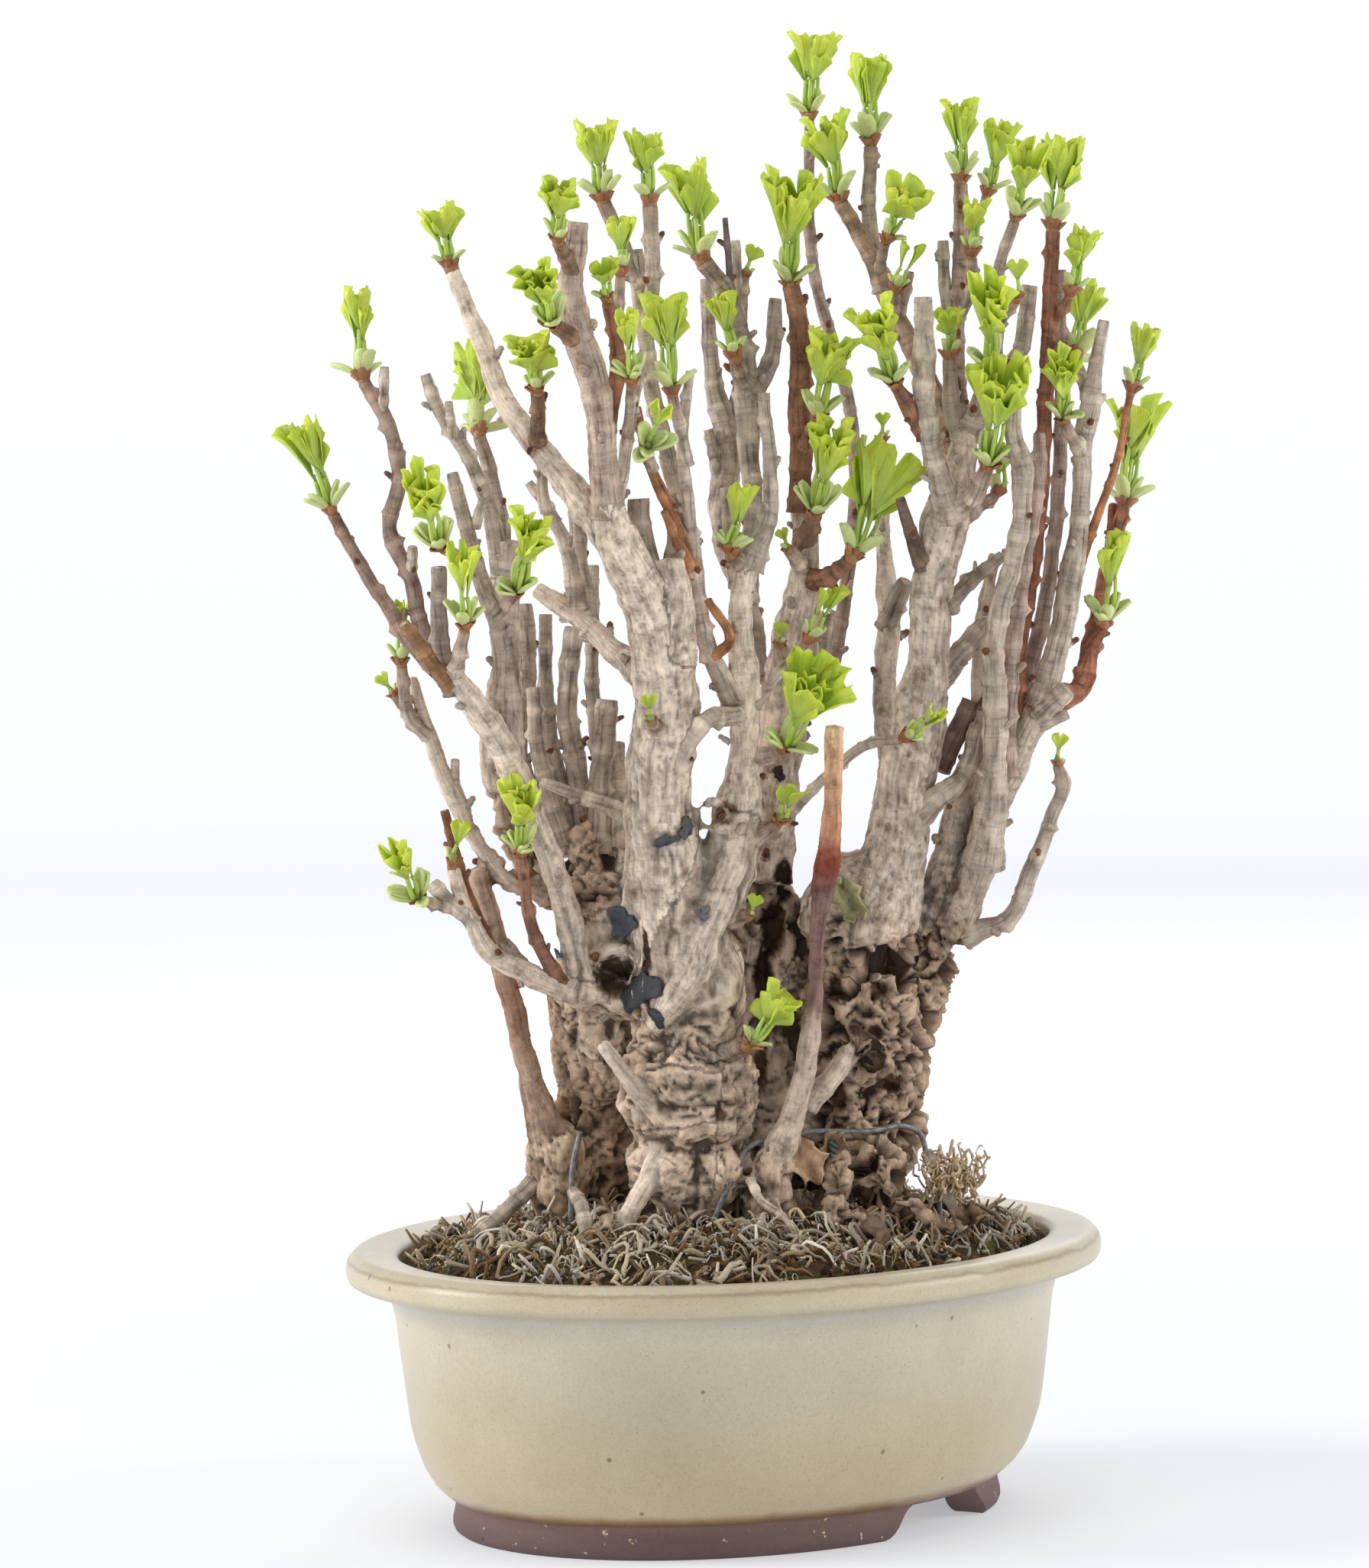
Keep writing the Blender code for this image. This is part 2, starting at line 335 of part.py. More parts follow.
# Bunches bent clear of what grows beside them: degrees turned, and how far the top leans back
BENT_CLEAR = {
    "leaf_bunch_left_high": (0, 5), "leaf_bunch_left_front": (0, -16), "leaf_bunch_left_spur": (0, -5),
    "leaf_bunch_left_inner": (0, -22), "leaf_bunch_left_back": (-50, 16), "leaf_bunch_arch_spur": (0, -5),
    "leaf_bunch_knot": (0, -16), "leaf_bunch_front_stem": (0, -5), "leaf_bunch_bud_twig": (0, -5),
    "leaf_bunch_side_twig": (0, -6), "leaf_bunch_fan": (0, -16), "leaf_bunch_red_stem": (25, -16),
    "leaf_bunch_fork_spur": (0, -5), "leaf_bunch_inner_tip": (-50, -10), "leaf_bunch_inner": (0, -22),
    "leaf_bunch_outer_back": (25, 16), "leaf_bunch_right_front": (0, -16),
    "leaf_bunch_thick_spur": (0, -10), "leaf_bunch_rust_tip": (25, 6), "leaf_bunch_rust_spur": (0, -8),
    "leaf_bunch_red_spur": (0, -14), "leaf_bunch_red_middle": (25, -4),
    "leaf_bunch_second_trunk": (0, -16), "leaf_bunch_wide": (0, 10), "leaf_bunch_centre": (25, 0),
    "leaf_bunch_low_fans": (0, -16), "leaf_bunch_trunk_side": (25, -5), "leaf_bunch_pale_twig": (0, -5),
    "leaf_bunch_low_left": (0, -10), "leaf_bunch_low_far_left": (0, -22), "leaf_bunch_twisted": (0, 5),
}

# Tie wires, along their middle: across, up and depth
WIRES = {
    "tie_wire_front": [(-8, 106, -50), (-4, 118, -47), (2, 131, -46), (11, 146, -45), (24, 149, -44),
                       (34, 151, -36), (44, 151, -32), (58, 151, -24), (72, 152.5, -14), (77, 150, -11),
                       (80, 140, -12), (84, 126, -16), (85, 106, -18)],
    "tie_wire_left": [(-57, 152, -24), (-60, 140, -29), (-61, 128, -33), (-61, 104, -36)],
}

COLOURS = {
    "glaze": (0.66, 0.58, 0.36, 0.35, 0.0),
    "soil": (0.10, 0.07, 0.045, 0.95, 0.0),
    "bark": (0.42, 0.34, 0.27, 0.85, 0.0),
    "leaf": (0.42, 0.60, 0.08, 0.55, 0.0),
    "wire": (0.35, 0.37, 0.40, 0.45, 0.9),
    "screen": (0.05, 0.06, 0.05, 0.6, 0.0),
}


def material(name):
    """The named Principled material, made once."""
    made = bpy.data.materials.get(name)
    if made:
        return made
    red, green, blue, rough, metal = COLOURS[name]
    made = bpy.data.materials.new(name)
    made.use_nodes = True
    shader = made.node_tree.nodes["Principled BSDF"]
    shader.inputs["Base Color"].default_value = (red, green, blue, 1)
    shader.inputs["Roughness"].default_value = rough
    shader.inputs["Metallic"].default_value = metal
    return made


def as_object(name, bm, finish):
    """A linked object from a bmesh, with its faces pointing out."""
    bmesh.ops.recalc_face_normals(bm, faces=bm.faces)
    mesh = bpy.data.meshes.new(name)
    bm.to_mesh(mesh)
    bm.free()
    mesh.materials.append(material(finish))
    made = bpy.data.objects.new(name, mesh)
    bpy.context.scene.collection.objects.link(made)
    return made


def largest_piece(mesh):
    """Drops loose scraps, so that the mesh is one body."""
    bm = bmesh.new()
    bm.from_mesh(mesh)
    left = set(bm.verts)
    groups = []
    while left:
        seed = left.pop()
        group = {seed}
        edge = [seed]
        while edge:
            here = edge.pop()
            for link in here.link_edges:
                other = link.other_vert(here)
                if other in left:
                    left.discard(other)
                    group.add(other)
                    edge.append(other)
        groups.append(group)
    groups.sort(key=len)
    for group in groups[:-1]:
        bmesh.ops.delete(bm, geom=list(group), context="VERTS")
    bm.to_mesh(mesh)
    bm.free()


def combine(host, others, operation, solver="MANIFOLD"):
    """Applies one Boolean with all the others to the host, and removes them."""
    if not others:
        return host
    group = bpy.data.collections.new("operands")
    bpy.context.scene.collection.children.link(group)
    for other in others:
        group.objects.link(other)
    change = host.modifiers.new(operation, "BOOLEAN")
    change.operation = operation
    change.operand_type = "COLLECTION"
    change.collection = group
    change.solver = solver
    view = bpy.context.evaluated_depsgraph_get()
    result = bpy.data.meshes.new_from_object(host.evaluated_get(view))
    host.modifiers.clear()
    host.data = result
    for other in others:
        bpy.data.objects.remove(other, do_unlink=True)
    bpy.data.collections.remove(group)
    largest_piece(host.data)
    return host


def seen(across, up, depth):
    """A point as it shows from the front, moved along the sight line to its depth.

    The crown opens out in depth as it rises, which the front view doesn't show.
    """
    risen = min(1.0, max(0.0, (up - CROWN_START) / (CROWN_FULL - CROWN_START)))
    depth = depth * (1 + CROWN_SPREAD * risen)
    reach = 1 + depth * MM / EYE_DISTANCE
    height = EYE_HEIGHT + (up * MM - EYE_HEIGHT) * reach
    return FRONT @ Vector((across * MM * reach, depth * MM, height))


def across_frame(direction):
    """Two unit vectors square to a direction."""
    helper = Vector((0, 0, 1)) if abs(direction.z) < 0.9 else Vector((1, 0, 0))
    first = direction.cross(helper).normalized()
    return first, direction.cross(first).normalized()


def tube_mesh(points, radii, sides, grow=0.0):
    """A closed tapered tube through the points, its rings carried along without twist."""
    points = [point.copy() for point in points]
    points[0] -= (points[1] - points[0]).normalized() * grow
    points[-1] += (points[-1] - points[-2]).normalized() * grow
    bm = bmesh.new()
    rings = []
    first = None
    for index, (point, radius) in enumerate(zip(points, radii)):
        before = points[max(index - 1, 0)]
        after = points[min(index + 1, len(points) - 1)]
        ahead = (after - before).normalized()
        if first is None:
            first, second = across_frame(ahead)
        first = (first - ahead * first.dot(ahead)).normalized()
        second = ahead.cross(first)
        ring = []
        for side in range(sides):
            angle = 2 * math.pi * side / sides
            offset = first * math.cos(angle) + second * math.sin(angle)
            ring.append(bm.verts.new(point + offset * (radius + grow)))
        rings.append(ring)
    for lower, upper in zip(rings, rings[1:]):
        for side in range(sides):
            after = (side + 1) % sides
            bm.faces.new((lower[side], lower[after], upper[after], upper[side]))
    bm.faces.new(rings[0][::-1])
    bm.faces.new(rings[-1])
    return bm


def limb(name, route, grow=0.0):
    """One stretch of wood along its route."""
    points = [seen(across, up, depth) for across, up, depth, radius in route]
    radii = [radius * MM for across, up, depth, radius in route]
    widest = max(radii)
    sides = 4 if widest < 0.0052 else 5 if widest < 0.0078 else 6 if widest < 0.0125 else 8
    return as_object(name, tube_mesh(points, radii, sides, grow), "bark")


def swelling(name, size, grow=0.0):
    """One lumpy swelling of the trunk, finer where it is big."""
    across, up, depth, wide, deep, tall = size
    detail = 2 if wide > FINE_SWELLING else 1
    bm = bmesh.new()
    bmesh.ops.create_icosphere(bm, subdivisions=detail, radius=1)
    middle = seen(across, up, depth)
    for vert in bm.verts:
        ripple = 1 + RIPPLE * noise.noise(vert.co * 2.3 + Vector((across, up, depth)))
        local = Vector((vert.co.x * wide, vert.co.y * deep, vert.co.z * tall)) * MM * ripple
        vert.co = middle + FRONT @ (local + vert.co * grow)
    return as_object(name, bm, "bark")


def soil_height(distance):
    """Height of the soil at a share of the way from the middle to the wall."""
    return SOIL_CROWN + (SOIL_EDGE - SOIL_CROWN) * max(0.0, (distance - 0.35) / 0.65) ** 1.3


def root(index, angle, length, grow=0.0):
    """A surface root that leaves the trunk and dips into the soil."""
    turn = math.radians(angle)
    out = Vector((math.cos(turn), math.sin(turn), 0))
    side = Vector((-out.y, out.x, 0))
    start = Vector((6 * MM, 0, 0)) + Vector((out.x * 0.052, out.y * 0.030, 0.121))
    sway = 0.006 * math.sin(index * 2.1)
    reach = length * MM
    route = [start]
    route.append(start + out * reach * 0.55 + side * sway + Vector((0, 0, -0.001)))
    route.append(start + out * reach - side * sway + Vector((0, 0, -0.013)))
    thick = 0.0036 + 0.0012 * math.sin(index * 1.7)
    radii = [thick * 1.4, thick * 0.85, thick * 0.6]
    return as_object("root", tube_mesh([FRONT @ point for point in route], radii, 4, grow), "bark")


def buried_wood(grow):
    """The wood that reaches into the soil, grown by the clearance to cut its hole."""
    pieces = [swelling("base", SUNKEN_BASE, grow)]
    for index, size in enumerate(SWELLINGS):
        if size[1] - size[5] < SOIL_CROWN / MM + 6:
            pieces.append(swelling(f"low_{index}", size, grow))
    for index, (angle, length) in enumerate(ROOTS):
        pieces.append(root(index, angle, length, grow))
    for name in ("pole", "brown_pole"):
        pieces.append(limb(name, LIMBS[name][:3], grow))
    return pieces


def limb_end(name):
    """Where a limb ends, which way it points there, and its radius."""
    route = LIMBS[name]
    before = seen(*route[-2][:3])
    end = seen(*route[-1][:3])
    return end, (end - before).normalized(), route[-1][3] * MM


def leaf_mesh(root_point, start, ahead, inward, length, half_angle, sway, columns):
    """A stalk and its notched, waved fan in one closed mesh, the same on both faces."""
    side = ahead.cross(inward).normalized()
    half = BLADE_THICKNESS / 2
    bm = bmesh.new()
    stalk = (start - root_point).normalized()
    stalk_side = (side - stalk * side.dot(stalk)).normalized()
    stalk_face = stalk_side.cross(stalk)
    rings = []
    for middle, across, through in ((root_point, stalk_side, stalk_face), (start, side, inward)):
        corners = ((1, 1), (-1, 1), (-1, -1), (1, -1))
        reach = STALK_HALF_WIDTH
        rings.append([bm.verts.new(middle + across * reach * a + through * half * 1.15 * b)
                      for a, b in corners])
    bm.faces.new(rings[0])
    for index in range(4):
        after = (index + 1) % 4
        bm.faces.new((rings[0][index], rings[1][index], rings[1][after], rings[0][after]))
    rim = []
    for column in range(columns + 1):
        share = 1 - 2 * column / columns
        angle = half_angle * share
        ruling = ahead * math.cos(angle) + side * math.sin(angle)
        ruling += inward * (FAN_CUP * (1 - math.cos(angle)) + sway * (-1) ** column)
        reach = length * (FAN_NOTCH if column == columns // 2 else 1.0 - FAN_ROUNDING * abs(share) ** 3)
        rim.append(start + ruling.normalized() * reach)
    faces = [[], []]
    for column, point in enumerate(rim):
        before = rim[max(column - 1, 0)]
        after = rim[min(column + 1, columns)]
        normal = (after - before).cross(point - start).normalized()
        if normal.dot(inward) < 0:
            normal.negate()
        faces[0].append(bm.verts.new(point + normal * half))
        faces[1].append(bm.verts.new(point - normal * half))
    upper, lower = faces
    upper_left, upper_right, lower_right, lower_left = rings[1]
    middle = columns // 2
    for column in range(columns):
        near = (upper_left, lower_left) if column < middle else (upper_right, lower_right)
        bm.faces.new((near[0], upper[column], upper[column + 1]))
        bm.faces.new((near[1], lower[column + 1], lower[column]))
        bm.faces.new((upper[column], lower[column], upper[column + 1]))
        bm.faces.new((lower[column], lower[column + 1], upper[column + 1]))
    bm.faces.new((upper_left, upper[middle], upper_right))
    bm.faces.new((lower_left, lower_right, lower[middle]))
    bm.faces.new((upper_left, lower_left, lower[0], upper[0]))
    bm.faces.new((upper_right, upper[-1], lower[-1], lower_right))
    return bm


def bunch_pieces(name, spec, lift):
    """The bud, stalks and fans of one bunch. A leaf that stands alone faces the front, nearly upright."""
    carrier, top_across, top_up, width, leaves = spec
    draw = random.Random(name)
    alone = leaves == 1
    base, limb_ahead, limb_radius = limb_end(carrier)
    depth = LIMBS[carrier][-1][2]
    turned, leaned = BENT_CLEAR.get(name, (0, 0))
    top = seen(top_across, top_up, depth + leaned)
    axis = (top - base).normalized()
    height = (top - base).length
    across = axis.cross(FRONT @ Vector((0, -1, 0))).normalized()
    behind = across.cross(axis).normalized()

    bud_length = min(BUD_LENGTH, height * BUD_LENGTH_SHARE)
    bud_radius = max(BUD_RADIUS, limb_radius * 0.9)
    bud_ahead = (limb_ahead + axis).normalized()
    tilt = math.sqrt(max(0.0, 1 - bud_ahead.dot(limb_ahead) ** 2))
    base = base + limb_ahead * (lift + bud_radius * tilt)
    bud_top = base + bud_ahead * bud_length
    bud = tube_mesh([base, bud_top], [bud_radius, max(BUD_TOP_RADIUS, bud_radius * 1.1)], BUD_SIDES)
    pieces = [as_object("bud", bud, "leaf")]

    spread = width * MM / 2
    widest = min(FAN_WIDEST, max(FAN_NARROWEST, min(0.34, 1.25 / leaves) * width * MM))
    stalk_root = base.lerp(bud_top, 0.45)
    for index in range(leaves):
        azimuth = 2 * math.pi * index / leaves + math.radians(turned) + draw.uniform(-0.14, 0.14)
        if alone:
            azimuth = math.pi * 1.5
        out = across * math.cos(azimuth) + behind * math.sin(azimuth)
        share = draw.uniform(*STALK_SHARE)
        stalk_end = stalk_root + axis * height * share + out * spread * 0.34
        rise = height * (1 - share) * draw.uniform(*FAN_RISE)
        reach = spread * draw.uniform(*FAN_REACH) * (0.3 if alone else 1)
        ahead = (axis * rise + out * reach).normalized()
        length = math.hypot(rise, reach)
        inward = ahead.cross(out.cross(axis)).normalized()
        if inward.dot(out) > 0:
            inward.negate()
        half_angle = math.asin(min(0.9, widest / length))
        foot = bud_top - axis * FOOT_SUNK + out * FOOT_SPREAD
        columns = 6 if width >= WIDE_BUNCH else 4
        sway = draw.uniform(*FAN_SWAY)
        leaf = leaf_mesh(foot, stalk_end, ahead, inward, length, half_angle, sway, columns)
        pieces.append(as_object("leaf", leaf, "leaf"))
    return pieces


def leaf_bunch(name, spec):
    """One bunch as a single closed body, a hair off its limb."""
    pieces = bunch_pieces(name, spec, GAP)
    made = combine(pieces[0], pieces[1:], "UNION")
    made.name = name
    made.data.name = name
    return made


def wire(name, route, grow=0.0):
    """A tie wire, or its grown cutter."""
    bm = tube_mesh([seen(*point) for point in route], [WIRE_RADIUS] * len(route), 6, grow)
    return as_object(name, bm, "wire")


def tree():
    """All the wood as one body, with its small sprouts, and with room for the wires."""
    pieces = [swelling(f"swelling_{index}", size) for index, size in enumerate(SWELLINGS)]
    pieces.append(swelling("base", SUNKEN_BASE))
    pieces += [limb(name, route) for name, route in LIMBS.items()]
    pieces += [root(index, angle, length) for index, (angle, length) in enumerate(ROOTS)]
    for name, spec in SPROUTS.items():
        pieces += bunch_pieces(name, spec, -0.0008)
    made = combine(pieces[0], pieces[1:], "UNION")
    combine(made, [wire(name, route, ROOT_CLEARANCE) for name, route in WIRES.items()], "DIFFERENCE")
    made.name = "tree"
    made.data.name = "tree"
    return made


def oval(offset):
    """Points round the pot, in from its rim by the offset."""
    long_half = POT_LENGTH / 2 - offset
    short_half = POT_WIDTH / 2 - offset
    turns = [2 * math.pi * step / POT_SEGMENTS for step in range(POT_SEGMENTS)]
    return [(long_half * math.cos(turn), short_half * math.sin(turn)) for turn in turns]


def oval_loft(name, profile, finish):
    """A closed solid through ovals, from its lowest profile point to its last."""
    bm = bmesh.new()
    rings = []
    for offset, height in profile:
        rings.append([bm.verts.new((x, y, height)) for x, y in oval(offset)])
    for lower, upper in zip(rings, rings[1:]):
        for step in range(POT_SEGMENTS):
            after = (step + 1) % POT_SEGMENTS
            bm.faces.new((lower[step], lower[after], upper[after], upper[step]))
    bm.faces.new(rings[0][::-1])
    bm.faces.new(rings[-1])
    return as_object(name, bm, finish)


def notch_cutter():
    """A slanted-ended bar that opens the foot in the middle of both long sides."""
    slope = NOTCH_SLANT / NOTCH_HEIGHT
    low = -0.005
    outline = [
        (-NOTCH_WIDTH / 2 + slope * low, low), (NOTCH_WIDTH / 2 - slope * low, low),
        (NOTCH_WIDTH / 2 - NOTCH_SLANT, NOTCH_HEIGHT), (-NOTCH_WIDTH / 2 + NOTCH_SLANT, NOTCH_HEIGHT),
    ]
    bm = bmesh.new()
    near = [bm.verts.new((x, -POT_WIDTH, z)) for x, z in outline]
    far = [bm.verts.new((x, POT_WIDTH, z)) for x, z in outline]
    bm.faces.new(near)
    bm.faces.new(far[::-1])
    for index in range(4):
        after = (index + 1) % 4
        bm.faces.new((near[index], near[after], far[after], far[index]))
    return as_object("notch", bm, "glaze")


def drain_cutter(x):
    """A round drainage hole through the floor."""
    bm = bmesh.new()
    middle = Matrix.Translation((x, 0, FLOOR_TOP))
    bmesh.ops.create_cone(bm, cap_ends=True, segments=16, radius1=DRAIN_RADIUS, radius2=DRAIN_RADIUS,
                          depth=0.04, matrix=middle)
    return as_object("drain", bm, "glaze")


def pot():
    """The oval pot, hollow, with its ring of a foot opened on both long sides."""
    made = oval_loft("pot", POT_OUTSIDE, "glaze")
    recess_inset = FOOT_INSET + FOOT_THICKNESS
    cutters = [
        oval_loft("cavity", POT_INSIDE, "glaze"),
        oval_loft("recess", [(recess_inset, -0.01), (recess_inset, FLOOR_UNDERSIDE)], "glaze"),
        notch_cutter(),
        drain_cutter(DRAIN_SPACING / 2),
        drain_cutter(-DRAIN_SPACING / 2),
    ]
    combine(made, cutters, "DIFFERENCE", "EXACT")
    made.name = "pot"
    return made


def screen(name, x, grow=0.0):
    """A square of drain mesh over a hole, as a thin plate."""
    bm = bmesh.new()
    side = SCREEN_SIDE + 2 * grow
    thick = SCREEN_THICKNESS + grow
    size = Matrix.Diagonal((side, side, thick, 1))
    bmesh.ops.create_cube(bm, size=1, matrix=Matrix.Translation((x, 0, FLOOR_TOP + GAP + thick / 2)) @ size)
    if grow:
        for vert in bm.verts:
            vert.co.z = vert.co.z if vert.co.z > FLOOR_TOP + 2 * GAP else FLOOR_TOP
    return as_object(name, bm, "screen")


def soil():
    """The soil, filling the pot and mounded to the trunk, with a plain hole for the wood."""
    bm = bmesh.new()
    rings = []
    for offset, height in POT_INSIDE[:-1]:
        rings.append([bm.verts.new((x, y, height + GAP)) for x, y in oval(offset + GAP)])
    edge = POT_INSIDE[-1][0] + GAP
    for share in (1.0, 0.76, 0.54, 0.34):
        ring = []
        for x, y in oval(edge):
            bump = 0.0009 * noise.noise(Vector((x, y, 0)) * 60 * share) if share < 1 else 0
            ring.append(bm.verts.new((x * share, y * share, soil_height(share) + bump)))
        rings.append(ring)
    for lower, upper in zip(rings, rings[1:]):
        for step in range(POT_SEGMENTS):
            after = (step + 1) % POT_SEGMENTS
            bm.faces.new((lower[step], lower[after], upper[after], upper[step]))
    middle = bm.verts.new((0, 0, SOIL_CROWN))
    for step in range(POT_SEGMENTS):
        bm.faces.new((rings[-1][step], rings[-1][(step + 1) % POT_SEGMENTS], middle))
    bm.faces.new(rings[0][::-1])
    made = as_object("soil", bm, "soil")
    cutters = buried_wood(ROOT_CLEARANCE)
    cutters += [wire(name, route, ROOT_CLEARANCE) for name, route in WIRES.items()]
    cutters += [screen("pocket", side * DRAIN_SPACING / 2, GAP) for side in (-1, 1)]
    return combine(made, cutters, "DIFFERENCE")


def build():
    """The whole bonsai."""
    pot()
    soil()
    screen("drain_screen_1", -DRAIN_SPACING / 2)
    screen("drain_screen_2", DRAIN_SPACING / 2)
    tree()
    for name, route in WIRES.items():
        wire(name, route)
    for name, spec in BUNCHES.items():
        leaf_bunch(name, spec)


build()
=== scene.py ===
"""The ginkgo bonsai dressed for rendering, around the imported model, in metres, +Z up."""
import itertools
import math
import random

import bmesh
import bpy
import numpy as np
from mathutils import Matrix, Vector, kdtree, noise
from mathutils.bvhtree import BVHTree


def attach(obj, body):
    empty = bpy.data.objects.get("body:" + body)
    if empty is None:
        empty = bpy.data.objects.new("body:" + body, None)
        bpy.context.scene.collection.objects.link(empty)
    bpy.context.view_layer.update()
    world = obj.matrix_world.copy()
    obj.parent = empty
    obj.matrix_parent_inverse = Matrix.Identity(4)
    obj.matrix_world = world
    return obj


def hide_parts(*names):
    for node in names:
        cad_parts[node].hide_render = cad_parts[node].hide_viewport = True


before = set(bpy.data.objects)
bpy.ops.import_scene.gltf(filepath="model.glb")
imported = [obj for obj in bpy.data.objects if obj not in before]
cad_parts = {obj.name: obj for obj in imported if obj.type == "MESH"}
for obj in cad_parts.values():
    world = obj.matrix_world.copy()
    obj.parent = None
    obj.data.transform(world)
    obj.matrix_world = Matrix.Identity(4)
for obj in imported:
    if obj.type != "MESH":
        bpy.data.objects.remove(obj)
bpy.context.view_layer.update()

# The part's own numbers: pot, soil and wire
MM = 0.001
POT_LENGTH = 0.346
POT_WIDTH = 0.282
FLOOR_TOP = 0.021
NOTCH_WIDTH = 0.080
NOTCH_SLANT = 0.014
NOTCH_HEIGHT = 0.0125
DRAIN_RADIUS = 0.011
DRAIN_SPACING = 0.130
SOIL_EDGE = 0.104
SOIL_CROWN = 0.119
SOIL_LEVEL_SHARE = 0.35
SOIL_FALL_POWER = 1.3
WIRE_RADIUS = 0.0011

# The part's own numbers: trunk and leaf bunches
RIPPLE = 0.10
WIDE_BUNCH = 30
BUD_LENGTH = 0.006
BUD_LENGTH_SHARE = 0.3
BUD_RADIUS = 0.0018
FAN_WIDEST = 0.010
FAN_NARROWEST = 0.0030
FAN_RISE = (0.86, 1.0)
FAN_REACH = (0.5, 0.66)
FAN_SWAY = (0.05, 0.11)
FAN_CUP = 0.75
FOOT_SUNK = 0.0004
FOOT_SPREAD = 0.0013
STALK_SHARE = (0.42, 0.58)

# The photograph's eye. The crown's depth opens out between two heights in millimetres
FRONT = Matrix.Rotation(math.radians(-60), 3, "Z")
EYEWARD = FRONT @ Vector((0, -1, 0))
EYE_DISTANCE = 3.395
EYE_HEIGHT = 0.517
EYE = FRONT @ Vector((0, -EYE_DISTANCE, EYE_HEIGHT))
EYE_PITCH = -0.067
EYE_ROLL = -0.012
EYE_FOCAL = 11298
EYE_SHIFT = -0.0229
PHOTO_HEIGHT = 2053
SENSOR = 36
CROWN_START = 235
CROWN_FULL = 440
CROWN_SPREAD = 0.95

# How finely the dressed pieces are made, and how many scraps lie about
TRUNK_VOXEL = 0.00138
FAN_THICKNESS = 0.00050
STALK_RADIUS = 0.00105
LOW_STALK_RADIUS = 0.0009
FOLDED_STALK_RADIUS = 0.0005
BRACT_THICKNESS = 0.0012
SCALE_THICKNESS = 0.0005
BUD_SCALES = 8
FAN_GRID = (6, 15)
SCALE_GRID = (6, 5)
PATCH_GRID = (9, 11)
DRY_GRID = (9, 9)
POT_SIDES = 168
SOIL_SIDES = 260
SOIL_RINGS = 74
SOIL_HALF_LENGTH = POT_LENGTH / 2 - 0.0213
SOIL_HALF_WIDTH = POT_WIDTH / 2 - 0.0213
ROOT_ENDS = 900
CRUMBS = 1000
TUFT_FIBRES = 70

# The front tie wire: how far back it runs behind the pole, where its ends meet, and their radius
BEHIND_POLE = 7
WIRE_KNOT = (43, 148, -34)
TWIST_RADIUS = 0.0009

# Floor, sky and lamps, which look at one height. A lamp: name, place from the front, size and power
FLOOR_COLOUR = (0.60, 0.61, 0.63, 1)
FLOOR_GLOW = 0.40
WALL_GLOW = 0.68
DAYLIGHT = (0.93, 0.95, 1.0, 1)
SKY_STRENGTH = 0.36
LAMP_AIM = 0.28
LAMPS = [
    ("left", (-2.4, -0.2, 1.3), 1.3, 38), ("right", (2.4, -0.1, 1.2), 1.3, 22),
    ("top", (-0.3, -0.8, 2.6), 1.5, 13), ("behind", (0.4, 2.2, 1.6), 2.0, 14),
]

# Shapes that are only wrapped in the trunk's skin have no colour of their own
UNPAINTED = (0.5, 0.5, 0.5)

# Swellings of the trunk: across, up, depth, then half sizes across, in depth and up
SWELLINGS = [
    (-14, 206, -22, 23, 19, 34), (-14, 166, -22, 27, 24, 30), (-14, 136, -20, 25, 24, 26),
    (-24, 246, -14, 16, 16, 30), (-50, 186, 0, 17, 20, 30), (-45, 232, 0, 18, 16, 32),
    (-60, 206, 2, 10, 14, 16), (-52, 262, 2, 9, 9, 12), (56, 236, 8, 25, 24, 28), (67, 246, 4, 13, 18, 18),
    (55, 192, 8, 27, 26, 34), (53, 152, 8, 27, 26, 28), (69, 182, 10, 12, 20, 28),
    (14, 206, 24, 27, 20, 50), (14, 156, 22, 32, 24, 38), (60, 136, -18, 12, 10, 13),
    (44, 134, -24, 7, 8, 12), (-22, 132, -38, 11, 10, 13), (-2, 134, -38, 9, 9, 13),
    (-66, 136, -13, 13, 14, 22), (-51, 150, 6, 16, 18, 36),
]

SUNKEN_BASE = (8, 98, 0, 66, 38, 30)

